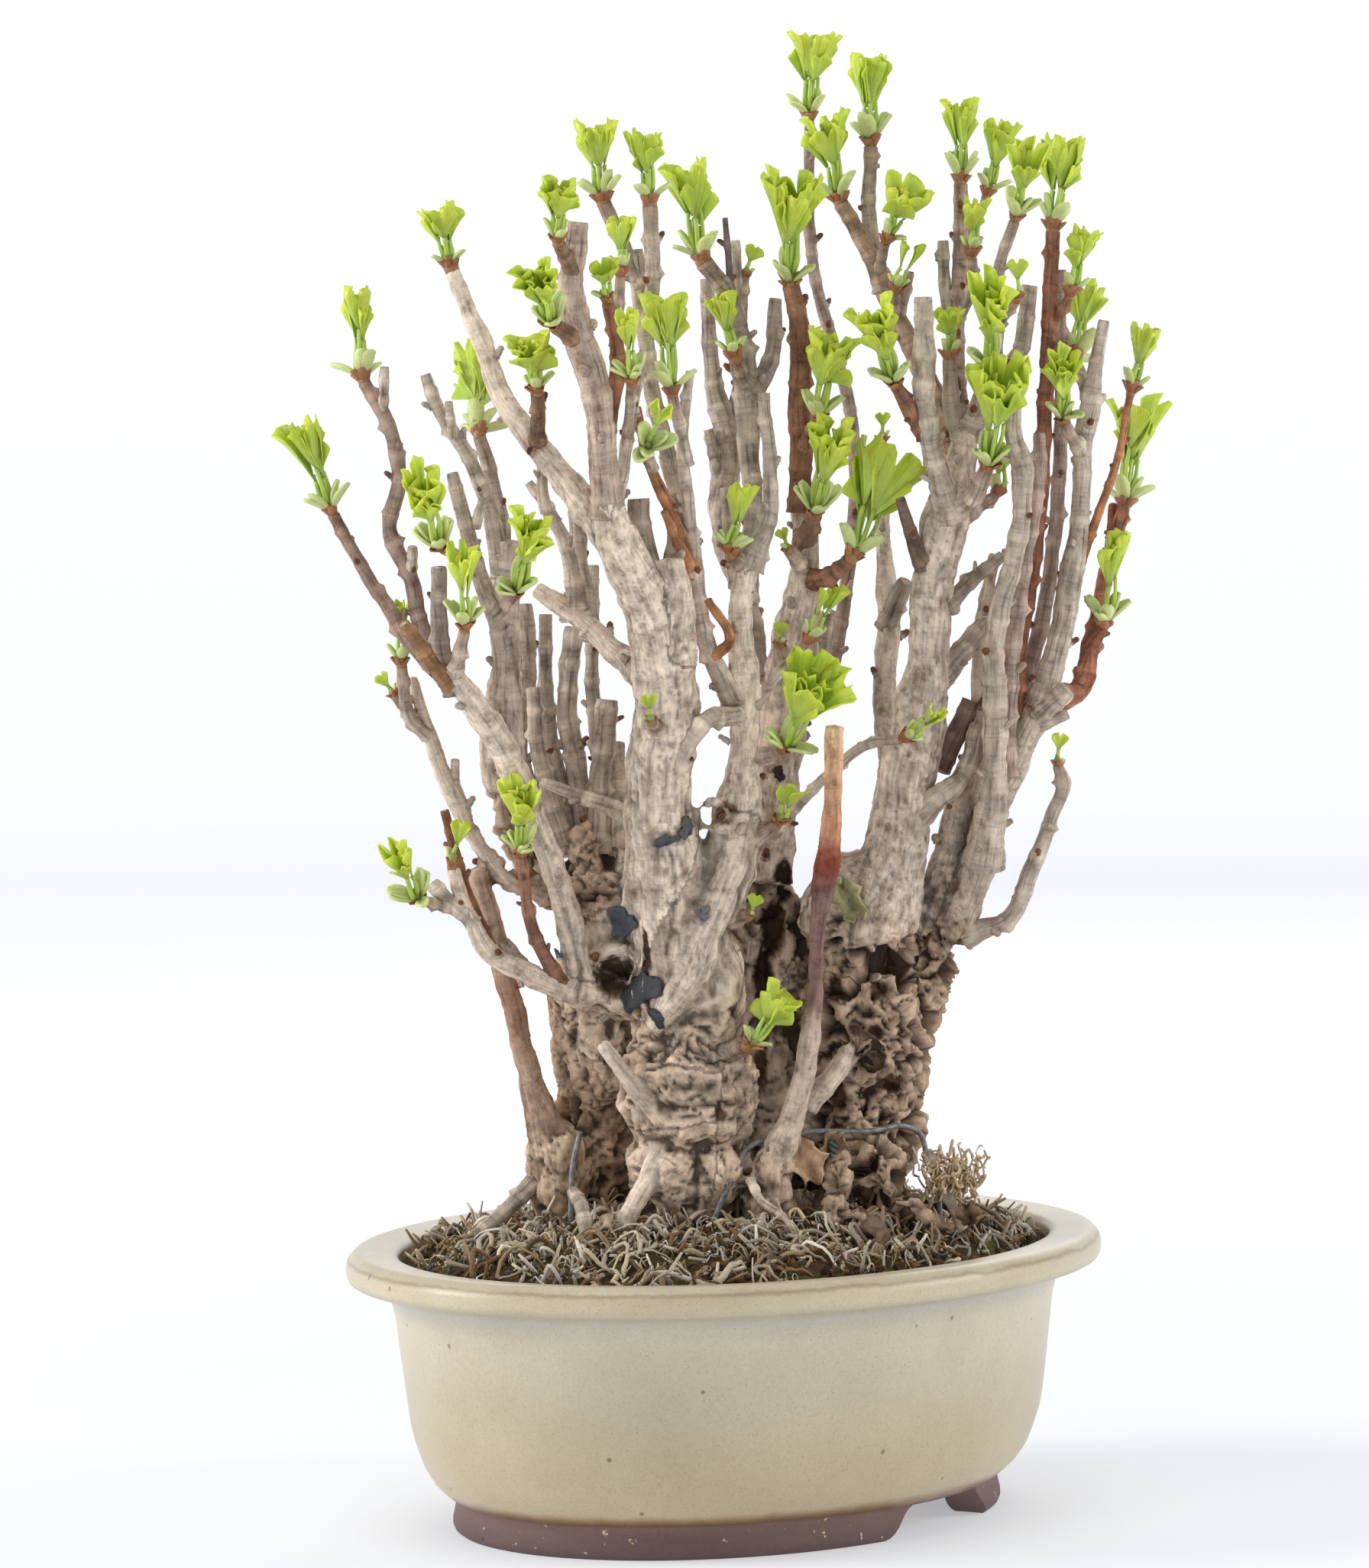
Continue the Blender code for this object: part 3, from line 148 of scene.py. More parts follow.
# Limbs: across, up, depth and radius along each, in millimetres as the front sees them
LIMBS = {
    "front_trunk": [(-14, 215, -24, 20), (-20, 250, -24, 17), (-25, 280, -25, 14), (-21, 318, -27, 13),
        (-24, 350, -28, 12), (-33, 372, -30, 10), (-40, 388, -32, 8.5), (-44, 402, -33, 6)],
    "front_stem": [(-43, 396, -32, 6), (-45, 424, -34, 5.4), (-47, 445, -35, 5.8), (-54, 468, -36, 6.4),
        (-56, 482, -37, 4.8), (-53, 511, -37, 4)],
    "front_fork": [(-19, 340, -28, 10), (-17, 360, -27, 8), (-19, 378, -26, 6)],
    "front_knob": [(-24, 366, -24, 5), (-30, 388, -21, 4.2), (-31, 402, -20, 4.6)],
    "front_spur": [(-56, 492, -38, 3), (-61, 503, -44, 2.6)],
    "knot_spur": [(-53, 464, -36, 4), (-63, 470.5, -42, 2.6)],
    "cross_twig": [(-41, 392, -30, 3.2), (-35, 425, -28, 2.3), (-29, 454, -27, 1.6)],
    "side_twig": [(-35, 425, -27, 2.2), (-33, 447, -36, 2)],
    "bud_twig": [(-43, 424, -31, 3), (-39, 466, -30, 2.8), (-42, 479, -31, 2.4)],
    "bud_twig_fork": [(-39, 462, -29, 2.4), (-37, 489, -27, 2)],
    "grey_stem": [(-19, 370, -25, 4.6), (-15, 392, -17, 3.6), (-25, 445, -15, 3.2), (-28, 470, -15, 3.4),
        (-31, 500, -15, 3.2)],
    "grey_stem_left": [(-29, 485, -15, 2.8), (-36, 502, -16, 2.8), (-43, 518, -17, 3)],
    "grey_stem_right": [(-27, 468, -15, 2.6), (-24, 492, -18, 3), (-25, 517, -18, 3)],
    "red_twig": [(-9, 371, -20, 3), (-19, 398, -23, 2.4), (-27, 418, -25, 2.1), (-31, 438, -26, 1.6)],
    "fan_spur": [(-25, 414, -25, 2), (-27, 421, -30, 1.6)],
    "centre_trunk": [(-6, 238, -20, 15), (3, 262, -18, 12), (8, 285, -17, 8.6), (9, 303, -16, 6),
        (10, 320, -16, 6.4), (9, 360, -15, 5), (12, 379, -15, 5.2)],
    "centre_spur": [(11, 374, -15, 4), (6, 379, -17, 3)],
    "centre_stem": [(12, 374, -15, 5), (19, 390, -14, 3.3), (19, 443, -13, 2.2)],
    "centre_stub": [(9, 368, -13, 4), (5, 384, -6, 2.6), (4, 406, -6, 2.6)],
    "long_twig": [(6, 322, -18, 4.5), (-5, 345, -20, 3.6), (-9, 378, -20, 2.9), (-13, 430, -19, 2.2),
        (-10, 452, -19, 1.8)],
    "long_twig_knob": [(-11, 415, -20, 2), (-17, 442, -23, 2.4)],
    "pale_bridge": [(-18, 284, -26, 4), (-16, 297, -32, 3.4), (-8, 312, -33, 3.6), (8, 317, -18, 4)],
    "back_pale_stem": [(14, 330, 14, 6), (13, 352, 18, 4.4), (2, 392, 23, 5), (4, 424, 25, 6),
        (-1, 450, 26, 3.2), (-3, 488, 28, 2.8)],
    "back_pale_fork": [(5, 425, 25, 4), (12, 455, 27, 2.4)],
    "knuckled_stem": [(11, 362, -14, 4.4), (14, 400, 1, 3.4), (12, 436, 6, 4.8), (11, 460, 6, 4.2),
        (5, 482, 4, 3.6), (-4, 494.5, 3, 3.6)],
    "dark_twig": [(7, 476, 4, 1.8), (4.5, 512, 4, 1.1)],
    "short_back_stub": [(10, 468, 7, 2.2), (8.5, 503, 9, 1.8)],
    "knuckle_spur": [(11, 448, 4, 3.4), (8, 456, 0, 3)],
    "knuckle_side": [(13, 440, 6, 4), (21, 454, 8, 3.5), (24, 480, 10, 2.6)],
    "second_trunk": [(15, 250, 14, 14), (19, 280, 14, 11.5), (26, 325, 13, 10.5), (31, 352, 9, 9),
        (35, 376, 6, 6), (33, 400, 4, 4.6)],
    "red_stem": [(33, 396, 4, 4.6), (33, 440, 3, 4.4), (33, 470, 2, 4), (30, 485, 1, 3.4)],
    "red_stem_spur": [(34, 420, 3, 3), (39, 431, -2, 2.4)],
    "second_trunk_spur": [(34, 384, 5, 4), (38, 395, -3, 3.2)],
    "red_bud_twig": [(36, 368, 6, 4), (44, 371, 0, 3.4), (52, 377, -4, 3)],
    "thin_twig": [(10, 316, -14, 3), (24, 333, -9, 1.9), (34, 344, -10, 1.9)],
    "back_spur": [(30, 320, 22, 5), (38, 336, 23, 3.8), (43, 356, 22, 3)],
    "tall_stem": [(26, 312, 20, 6), (43, 334, 31, 3.2), (51, 370, 33, 2.6), (54, 425, 40, 2.5),
        (38, 500, 45, 2.3), (38, 549, 45, 2)],
    "pole": [(14, 98, -24, 10), (20, 138, -37, 8.6), (26, 154, -38, 5.4), (34, 188, -36, 4.4),
        (36, 202, -35, 3.6), (38, 236, -34, 3.6), (42, 258, -32, 5.4), (43, 268, -32, 4.4),
        (45, 312, -30, 4.2)],
    "low_spur": [(-2, 183, -26, 6), (9, 185, -44, 3)],
    "trunk_spur": [(8, 268, -16, 5), (18, 271, -20, 3), (22, 273.5, -22, 2.4)],
    "fan_leaf_spur": [(9, 298, -14, 4), (18, 300, -18, 3), (24, 302, -22, 2.6)],
    "pale_twig": [(20, 270, 6, 3.6), (33, 283, -4, 2), (62, 305, -16, 2), (71, 306, -18, 2)],
    "grey_back_stem": [(73, 288, 4, 8), (65, 314, 24, 5), (67, 352, 30, 5), (65, 388, 33, 3.2),
        (65, 424, 28, 2.2)],
    "grey_back_fork": [(66, 350, 30, 4), (74, 368, 24, 3.4)],
    "right_trunk": [(60, 235, 2, 20), (69, 266, 0, 13), (76, 304, 0, 12), (80, 322, 0, 11),
        (83, 340, 0, 8.2), (84, 362, 0, 8.4), (90, 392, 0, 9.6), (95, 408, 0, 7.4), (98, 426, 2, 5)],
    "right_dark_twig": [(82, 374, -2, 4), (77, 384, -4, 2.8), (72, 401, -6, 2)],
    "right_cut_stem": [(92, 394, -2, 6), (85, 420, -10, 4), (82, 440, -11, 4), (82, 456, -11, 4.8),
        (82, 468, -11, 3.8), (82, 480, -11, 3.4)],
    "right_red_spur": [(82, 425, -10, 3), (71, 445, -13, 2.8)],
    "right_short_stem": [(98, 422, 3, 4), (93, 434, 2, 3.4), (92, 455, 2, 2.8)],
    "fork_stem": [(95, 412, 6, 5.4), (88, 436, 14, 4.2), (70, 475, 18, 3.8), (57, 505, 18, 3.2),
        (50, 517, 18, 3)],
    "fork_stem_back": [(66, 482, 18, 3.4), (61, 512, 21, 3), (62, 539, 21, 2.6)],
    "fork_spur_high": [(64, 489, 18, 2.4), (67, 501, 15, 2)],
    "fork_spur_low": [(71, 472, 18, 2.4), (71, 482, 14, 2)],
    "high_stem": [(97, 420, 6, 4.4), (95, 445, 12, 3.6), (95, 470, 16, 3.2), (97, 500, 18, 3),
        (97, 524, 18, 2.7)],
    "high_stem_right": [(97, 492, 17, 2.4), (107, 519, 22, 1.6)],
    "high_stem_spur": [(96, 472, 16, 2.4), (101, 484, 12, 2.2), (101, 495, 10, 2.2)],
    "high_stub": [(95, 456, 14, 2.4), (91, 478, 17, 2.4), (90, 502, 17, 2.2)],
    "inner_stem": [(98, 424, 3, 4.2), (108, 450, 2, 3.4), (113, 495, 0, 2.3), (118, 509, 0, 2.1)],
    "inner_spur": [(105, 440, 2, 3), (107, 451, -6, 2.4)],
    "inner_stub": [(107, 446, 2, 3), (119, 457, 9, 3.4), (124, 484, 10, 3.1)],
    "inner_twig": [(112, 470, 0, 2.2), (119, 479, -5, 1.8)],
    "front_bud_knob": [(94, 398, -3, 4.4), (102, 403, -8, 3.6), (106, 412, -10, 3)],
    "twisted_twig": [(96, 392, 2, 3), (109, 401, 7, 2.1)],
    "knobby_branch": [(87, 356, 0, 4), (101, 369, 6, 2.8), (112, 378, 8, 2.2)],
    "knobby_bridge": [(86, 330, 4, 5), (94, 338, 8, 4.4), (105, 352, 14, 3.6)],
    "knuckle_low": [(76, 276, 0, 6), (84, 282, -5, 5), (92, 287, -2, 4), (102, 311, 9, 3.2)],
    "split_trunk": [(64, 208, 16, 15), (82, 228, 15, 11), (89, 252, 14, 9), (95, 276, 14, 7),
        (101, 305, 14, 4), (104, 352, 14, 3.4), (109, 379, 14, 2.8)],
    "outer_trunk": [(62, 194, 10, 20), (80, 208, 10, 11.5), (90, 225, 9, 9), (101, 256, 6, 7.2),
        (107, 278, 5, 6.6), (119, 304, 5, 6.5), (127, 320, 5, 5.6), (132, 334, 4, 4.6)],
    "outer_stub": [(125, 315, 4, 5), (137, 325, 0, 4)],
    "outer_bud_stub": [(125, 311, 4, 3.2), (137, 315, 1, 2)],
    "outer_front_stem": [(103, 256, -2, 7), (107, 278, -8, 6.4), (108, 300, -10, 4.6), (109, 318, -11, 5.2),
        (108, 335, -12, 4.2), (120, 398, -13, 3.7), (120, 413, -13, 4.6), (117, 426, -13, 3.3),
        (117, 440, -13, 2.9)],
    "outer_middle_stem": [(112, 292, 1, 5), (114, 325, -3, 3.6), (122, 386, -4, 3.8), (127, 412, -4, 3),
        (127, 426, -4, 2.2)],
    "outer_red_stem": [(116, 302, 6, 4), (118, 335, 5, 3), (126, 385, 3, 2.6), (130, 445, 3, 3.1),
        (133, 505, 3, 2.8)],
    "outer_red_spur": [(131, 464, 3, 2.4), (139, 479, 1, 1.8)],
    "outer_tan_stem": [(112, 294, 10, 4.8), (118, 318, 13, 3.6), (129, 360, 13, 3), (134, 400, 13, 2.8),
        (136, 490, 13, 2.2)],
    "outer_thick_stem": [(126, 318, 5, 5.6), (133, 340, 4, 4.6), (140, 375, 3, 4.9), (142, 386, 3, 3.7),
        (145, 425, 3, 3.6), (147, 435, 3, 4.6), (149, 450, 3, 2.9), (153, 470, 3, 2.2)],
    "outer_thick_spur": [(144, 416, 3, 3), (137, 430, -3, 2.3)],
    "outer_back_spur": [(147, 438, 3, 2.8), (142, 454, 10, 2)],
    "rust_stem": [(133, 322, 4, 4.4), (139, 323, 6, 4.2), (147, 345, 16, 3.6), (154, 374, 28, 3),
        (160, 396, 34, 2.6)],
    "rust_stub": [(154, 372, 27, 2.6), (156, 397, 38, 2.2)],
    "rust_spur": [(146, 341, 14, 3), (151, 349, 13, 2.8)],
    "orange_twig": [(141, 372, 4, 2.6), (150, 394, 12, 1.7), (158, 417, 17, 1.5), (163, 441, 19, 1.5)],
    "low_right_branch": [(96, 228, 7, 5), (104, 231, 4, 3.6), (111, 233, 2, 3.4), (122, 253, 0, 3.5),
        (131, 276, 0, 2.6), (135, 288, 0, 3.2), (133, 295, 0, 1.9)],
    "left_limb": [(-44, 204, -12, 10), (-56, 215, -20, 6.4), (-60, 235, -24, 5.6), (-74, 278, -32, 5.4),
        (-86, 305, -36, 6.2), (-101, 328, -40, 5), (-107, 337, -41, 3.8)],
    "left_cut_stem": [(-84, 300, -33, 6), (-84, 318, -30, 6.4), (-84, 342, -31, 4.6), (-93, 371, -33, 3.4),
        (-101, 400, -34, 2.8), (-104, 413, -34, 2.4)],
    "left_far_twig": [(-103, 328, -39, 3.6), (-118, 342, -36, 3), (-131, 362, -31, 2.8),
        (-138, 373, -29, 2.6), (-151, 397, -26, 2.3)],
    "left_brown_stub": [(-106, 329, -41, 3), (-124, 354, -46, 2.4)],
    "left_high_twig": [(-103, 328, -38, 3.8), (-116, 350, -33, 3.2), (-121, 372, -29, 3),
        (-129, 390, -27, 3), (-125, 410, -27, 2.9), (-130, 435, -26, 2.8), (-138, 449, -25, 2.6)],
    "left_front_twig": [(-95, 377, -33, 2.6), (-108, 383, -40, 2)],
    "left_thick_stub": [(-104, 326, -38, 4), (-109, 345, -38, 3.4), (-110, 376, -38, 3)],
    "left_front_spur": [(-104, 334, -41, 3), (-100, 351, -46, 2.2)],
    "left_inner_spur": [(-88, 356, -32, 3), (-80, 365, -40, 2.2)],
    "left_back_stub": [(-85, 322, -24, 6), (-84, 340, -20, 5.6), (-84, 368, -18, 5.4),
        (-82, 386, -18, 4.8)],
    "left_back_twig": [(-85, 372, -18, 4), (-90, 400, -18, 3), (-98, 420, -18, 2.8), (-110, 440, -18, 2.6),
        (-114, 452, -18, 2.2)],
    "left_back_shoot": [(-84, 378, -16, 3.4), (-86, 400, -11, 3), (-93, 427, -10, 2.6)],
    "left_knot_limb": [(-64, 248, 4, 8), (-84, 276, 1, 6.4), (-89, 300, -6, 6), (-86, 318, -18, 7),
        (-85, 326, -24, 6)],
    "left_outer_limb": [(-60, 244, -6, 8), (-74, 248, -12, 5), (-83, 252, -14, 4.6), (-96, 267, -15, 3.7),
        (-106, 288, -16, 4.2), (-114, 308, -17, 3), (-121, 333, -17, 2.2)],
    "left_outer_shoot": [(-115, 310, -17, 2.8), (-122, 317, -20, 2.7), (-125, 337, -23, 2.2)],
    "left_outer_bud": [(-121, 316, -19, 2.4), (-128, 326, -16, 1.8)],
    "arching_stem": [(-42, 388, -30, 8), (-52, 400, -26, 6.8), (-66, 418, -18, 5.4), (-83, 441, -10, 4.6),
        (-93, 468, -6, 4), (-103, 493, -4, 3.3)],
    "arching_spur": [(-70, 422, -16, 3.4), (-70, 444, -27, 2.6)],
    "back_stem_1": [(-70, 272, 8, 6), (-80, 300, 12, 4.6), (-76, 340, 15, 4.4), (-77, 361, 16, 4)],
    "back_stem_2": [(-58, 262, 14, 5), (-68, 318, 20, 3), (-68, 357, 20, 2.6)],
    "back_stem_3": [(-62, 266, 6, 4.4), (-71, 300, 2, 3.2), (-73, 328, 0, 3)],
    "back_stem_4": [(-52, 262, 12, 5), (-56, 292, 14, 4.2), (-60, 320, 15, 4), (-57, 352, 15, 3.8)],
    "back_stem_5": [(-50, 254, 4, 6), (-46, 274, 15, 4), (-50, 328, 27, 2.8), (-49, 376, 28, 2.4)],
    "back_stem_6": [(-48, 262, 4, 5.4), (-47, 292, 6, 4.4), (-44, 323, 6, 4.4)],
    "back_stem_7": [(-41, 246, 2, 7), (-41, 306, 14, 3.4)],
    "back_bridge": [(-25, 330, -23, 9), (-40, 341, -8, 5.2), (-58, 358, 0, 4.2), (-72, 367, 3, 3.2)],
    "back_bridge_twig": [(-56, 354, 0, 3.6), (-61, 388, 1, 2.8), (-67, 398, 1, 2.5), (-68, 425, 1, 2)],
    "back_bridge_stem": [(-50, 348, -2, 4), (-54, 375, 7, 3.5), (-56, 410, 9, 3.1)],
    "lying_twig": [(-30, 272, -18, 5), (-42, 280, -18, 3.4), (-58, 286, -17, 2.6), (-71, 291, -17, 1.8)],
    "low_left_branch": [(-38, 203, -16, 9), (-55, 206, -24, 5.4), (-78, 215, -32, 4.8),
        (-90, 222, -33, 4.2), (-101, 241, -33, 3.4), (-106, 258, -33, 2.6)],
    "low_left_stub": [(-98, 235, -33, 3.2), (-114, 251, -36, 2.8)],
    "low_left_spur": [(-105, 241, -34, 2.4), (-118, 244.5, -41, 2.1)],
    "low_left_back_stub": [(-77, 215, -31, 3.2), (-86, 228, -27, 2)],
    "low_left_red_twig": [(-92, 226, -31, 2.4), (-101, 250, -26, 1.9), (-109, 280, -26, 1.9)],
    "low_front_twig": [(-64, 211, -28, 3.2), (-74, 230, -37, 2.6), (-79, 261, -38, 2.1)],
    "brown_pole": [(-66, 112, -14, 9), (-69, 142, -15, 9), (-77, 175, -15, 5), (-86, 215, -16, 4.8),
        (-97, 257, -17, 4.4)],
    "front_trunk_bud": [(-24, 311, -32, 3.6), (-27, 314, -42, 2.2)],
    "trunk_bud": [(4, 236, -22, 4), (11, 237, -33, 2)],
    "second_trunk_bud": [(26, 336, 5, 4), (24, 344, 0, 2.4)],
    "stem_bud": [(33, 375, 4, 3.4), (28, 381, -4, 2.2)],
    "knuckle_twig": [(10, 470, 6, 2.4), (12, 489, 9, 1.8)],
}

# Surface roots: angle and length
ROOTS = [
    (200, 50), (228, 58), (252, 42), (276, 54), (302, 58), (334, 50), (12, 56), (58, 48), (104, 56),
    (150, 54),
]

# Leaf bunches: limb, top across, top up, width, and how many leaves
BUNCHES = {
    "far_left": ("left_far_twig", -163, 433, 20, 4),
    "left_shoot": ("left_outer_shoot", -126, 361, 11, 3),
    "left_high": ("left_high_twig", -140, 484, 14, 4),
    "left_front": ("left_front_twig", -116, 411, 19, 3),
    "left_spur": ("left_front_spur", -101, 381, 13, 3),
    "left_inner": ("left_inner_spur", -72, 394, 15, 4),
    "left_back": ("left_back_shoot", -94, 457, 21, 4),
    "arch_tip": ("arching_stem", -108, 516, 20, 4),
    "arch_spur": ("arching_spur", -73, 464, 24, 4),
    "knot": ("knot_spur", -69, 491, 18, 4),
    "front_stem": ("front_spur", -60, 525, 20, 4),
    "grey_left": ("grey_stem_left", -46, 549, 20, 4),
    "grey_right": ("grey_stem_right", -27, 544, 17, 4),
    "bud_fork": ("bud_twig_fork", -36, 511, 13, 3),
    "bud_twig": ("bud_twig", -43, 493, 13, 3),
    "side_twig": ("side_twig", -34, 473, 10, 3),
    "long_twig": ("long_twig_knob", -20, 481, 21, 4),
    "fan": ("fan_spur", -21, 436, 13, 1),
    "knuckle_tip": ("knuckled_stem", -10, 532, 22, 4),
    "knuckle": ("knuckle_spur", 2, 480, 15, 3),
    "red_stem": ("red_stem", 31, 526, 26, 4),
    "tall_stem": ("tall_stem", 40, 583, 23, 4),
    "fork_back": ("fork_stem_back", 61, 574, 20, 4),
    "fork": ("fork_stem", 45, 551, 22, 4),
    "fork_spur": ("fork_spur_high", 78, 522, 22, 3),
    "high": ("high_stem", 98, 556, 15, 4),
    "high_right": ("high_stem_right", 114, 546, 15, 3),
    "inner_tip": ("inner_stem", 124, 536, 14, 3),
    "outer_tip": ("outer_red_stem", 138, 540, 25, 5),
    "outer_spur": ("outer_red_spur", 145, 504, 14, 3),
    "high_spur": ("high_stem_spur", 103, 516, 14, 3),
    "inner": ("inner_spur", 108, 483, 15, 3),
    "outer_back": ("outer_back_spur", 146, 482, 15, 3),
    "short_stem": ("right_short_stem", 93, 474, 14, 3),
    "right_front": ("front_bud_knob", 113, 449, 30, 5),
    "thick_spur": ("outer_thick_spur", 137, 455, 17, 3),
    "orange_twig": ("orange_twig", 170, 465, 15, 3),
    "rust_tip": ("rust_stem", 166, 437, 25, 4),
    "rust_spur": ("rust_spur", 157, 384, 12, 3),
    "red_spur": ("right_red_spur", 62, 474, 20, 4),
    "red_middle": ("red_stem_spur", 46, 464, 24, 4),
    "second_trunk": ("second_trunk_spur", 46, 429, 20, 4),
    "wide": ("red_bud_twig", 68, 417, 38, 5),
    "thin_twig": ("thin_twig", 45, 366, 13, 2),
    "centre": ("centre_spur", 11, 405, 12, 3),
    "low_fans": ("fan_leaf_spur", 39, 333, 30, 3),
    "trunk_side": ("trunk_spur", 28, 287, 13, 2),
    "pale_twig": ("pale_twig", 86, 318, 11, 2),
    "low_left": ("low_front_twig", -79, 287, 16, 3),
    "low_far_left": ("low_left_spur", -127, 263, 12, 3),
    "foot": ("low_spur", 24, 206, 24, 3),
    "twisted": ("twisted_twig", 112, 419, 11, 3),
}

# Small sprouts that only the dressed tree has, written as the bunches are
SPROUTS = {
    "sprout_left": ("left_outer_bud", -134, 334, 8, 1),
    "sprout_low_left": ("low_left_branch", -102, 275, 10, 1),
    "sprout_front_trunk": ("front_trunk_bud", -28, 324, 9, 1),
    "sprout_trunk": ("trunk_bud", 14, 245, 7, 1),
    "sprout_second_trunk": ("second_trunk_bud", 24, 353, 6, 1),
    "sprout_stem": ("stem_bud", 25, 390, 7, 1),
    "sprout_grey_stem": ("grey_back_stem", 66, 435, 9, 1),
    "sprout_low_right": ("low_right_branch", 134, 307, 7, 1),
    "sprout_knuckle": ("knuckle_twig", 16, 501, 11, 1),
    "sprout_inner": ("inner_twig", 119, 494, 12, 1),
    "sprout_fork": ("fork_spur_low", 78, 500, 13, 2),
}

# Bunches bent clear of others: degrees turned, and how far the top leans back in millimetres
BENT_CLEAR = {
    "left_high": (0, 5), "left_front": (0, -16), "left_spur": (0, -5), "left_inner": (0, -22),
    "left_back": (-50, 16), "arch_spur": (0, -5), "knot": (0, -16), "front_stem": (0, -5),
    "bud_twig": (0, -5), "side_twig": (0, -6), "fan": (0, -16), "red_stem": (25, -16), "fork_spur": (0, -5),
    "inner_tip": (-50, -10), "inner": (0, -22), "outer_back": (25, 16), "right_front": (0, -16),
    "thick_spur": (0, -10), "rust_tip": (25, 6), "rust_spur": (0, -8), "red_spur": (0, -14),
    "red_middle": (25, -4), "second_trunk": (0, -16), "wide": (0, 10), "centre": (25, 0),
    "low_fans": (0, -16), "trunk_side": (25, -5), "pale_twig": (0, -5), "low_left": (0, -10),
    "low_far_left": (0, -22), "twisted": (0, 5),
}

# Tie wires: across, up and depth along each
WIRES = {
    "tie_wire_front": [(-8, 106, -50), (-4, 118, -47), (2, 131, -46), (11, 146, -45), (24, 149, -44),
        (34, 151, -36), (44, 151, -32), (58, 151, -24), (72, 152.5, -14), (77, 150, -11), (80, 140, -12),
        (84, 126, -16), (85, 106, -18)],
    "tie_wire_left": [(-57, 152, -24), (-60, 140, -29), (-61, 128, -33), (-61, 104, -36)],
}

# Dead stubs, small roots and twigs that only the dressed tree has, written as the limbs are
STUBS = {
    "stub_1": [(-121, 372, -28, 2.4), (-120, 384, -30, 2.0)],
    "stub_2": [(-131, 438, -26, 2.2), (-130, 455, -27, 1.7)],
    "stub_3": [(-103.5, 427, -20, 2.0), (-105, 441, -21, 1.5)],
    "stub_4": [(-105, 284, -15, 2.2), (-104.5, 300, -18, 1.7)],
    "stub_5": [(2, 406, 23, 3.0), (-3, 429, 22, 1.8)],
    "stub_6": [(-9, 371, -20, 2.4), (-16, 386, -24, 1.9), (-21, 397, -26, 1.5)],
    "stub_7": [(-54, 303, 14, 2.4), (-65, 306, 15, 1.8)],
    "stub_8": [(-5, 338, -20, 2.6), (4, 345, -22, 2.0), (-4, 362, -24, 1.6)],
    "stub_9": [(-63, 393, 1, 2.4), (-74, 409, 2, 1.7)],
    "stub_10": [(-30, 163, -38, 4.6), (-36, 170, -42, 3.8), (-48, 187, -44, 2.8)],
    "stub_11": [(86, 294, 10, 4.6), (92, 306, 12, 4.2), (99, 321, 12, 3.4)],
    "stub_12": [(72, 468, 17, 2.0), (77, 490, 18, 1.6)],
    "stub_13": [(-95, 392, -34, 2.2), (-92, 402, -37, 1.7)],
    "root_front": [(-26, 142, -36, 4.6), (-30, 134, -44, 4.4), (-38, 118, -50, 3.8), (-42, 104, -52, 3.2)],
    "root_middle": [(-60, 128, -40, 2.4), (-57, 122, -52, 3.0), (-55, 112, -58, 3.0), (-55, 102, -60, 2.4)],
    "root_right": [(62, 130, -26, 4.0), (68, 124, -34, 3.6), (80, 116, -42, 2.6), (86, 104, -44, 2.0)],
    "root_left": [(-76, 132, -18, 3.8), (-86, 122, -24, 3.0), (-100, 110, -30, 2.4), (-108, 101, -32, 2.0)],
    "root_wire": [(80, 142, -14, 2.4), (84, 132, -22, 2.4), (92, 116, -28, 2.2), (94, 104, -30, 2.0)],
    "root_knob": [(44, 140, -30, 5.6), (44, 126, -38, 5.0), (42, 114, -42, 4.0), (40, 102, -44, 3.0)],
    "root_thin": [(10, 132, -48, 2.0), (14, 124, -56, 1.7), (24, 116, -64, 1.3), (30, 104, -70, 1.0)],
    "flow": [(7, 276, -18, 6.5), (4, 256, -28, 6.5), (-4, 238, -35, 7), (-13, 214, -39, 7.5),
        (-22, 200, -41, 5.5), (-28, 192, -41, 3)],
    "arm": [(52, 186, -14, 3.0), (47, 178, -20, 4.4), (40, 170, -22, 5.0), (32, 160, -22, 5.0)],
}

# Wood of its own colour, in sRGB, and the pale greys of the rest in front and at the back, the one at the
# back darker as painted shade
RED = (160, 116, 90)
ORANGE = (184, 130, 92)
BROWN = (156, 128, 104)
DARK = (138, 116, 102)
MAUVE = (178, 156, 142)
WOOD_COLOURS = {
    "red_stem": RED, "rust_stem": (164, 110, 86), "outer_red_stem": (168, 116, 90), "orange_twig": ORANGE,
    "red_twig": ORANGE, "left_brown_stub": (170, 128, 92), "low_left_red_twig": (156, 108, 84),
    "low_front_twig": (160, 118, 96), "right_red_spur": RED, "red_bud_twig": (162, 118, 92),
    "stub_8": (196, 140, 96), "stub_6": ORANGE, "rust_stub": (148, 88, 64), "rust_spur": (148, 88, 64),
    "brown_pole": (136, 104, 78), "right_dark_twig": DARK, "dark_twig": (122, 106, 102), "stub_11": DARK,
    "bud_twig": (168, 118, 88), "tall_stem": MAUVE, "fork_stem": (184, 156, 134), "arching_spur": BROWN,
    "front_stem": (196, 174, 156), "outer_tan_stem": MAUVE, "left_high_twig": (176, 152, 136),
    "left_far_twig": (172, 146, 128), "high_stem": MAUVE, "outer_middle_stem": MAUVE,
    "left_thick_stub": (168, 152, 140), "left_cut_stem": (184, 166, 150), "front_spur": BROWN,
    "knot_spur": BROWN, "red_stem_spur": RED, "outer_red_spur": RED, "second_trunk_spur": BROWN,
}
PALE = (206, 190, 172)
# The darker grey at the back is painted shade
PALE_BACK_SHADE = (176, 162, 148)

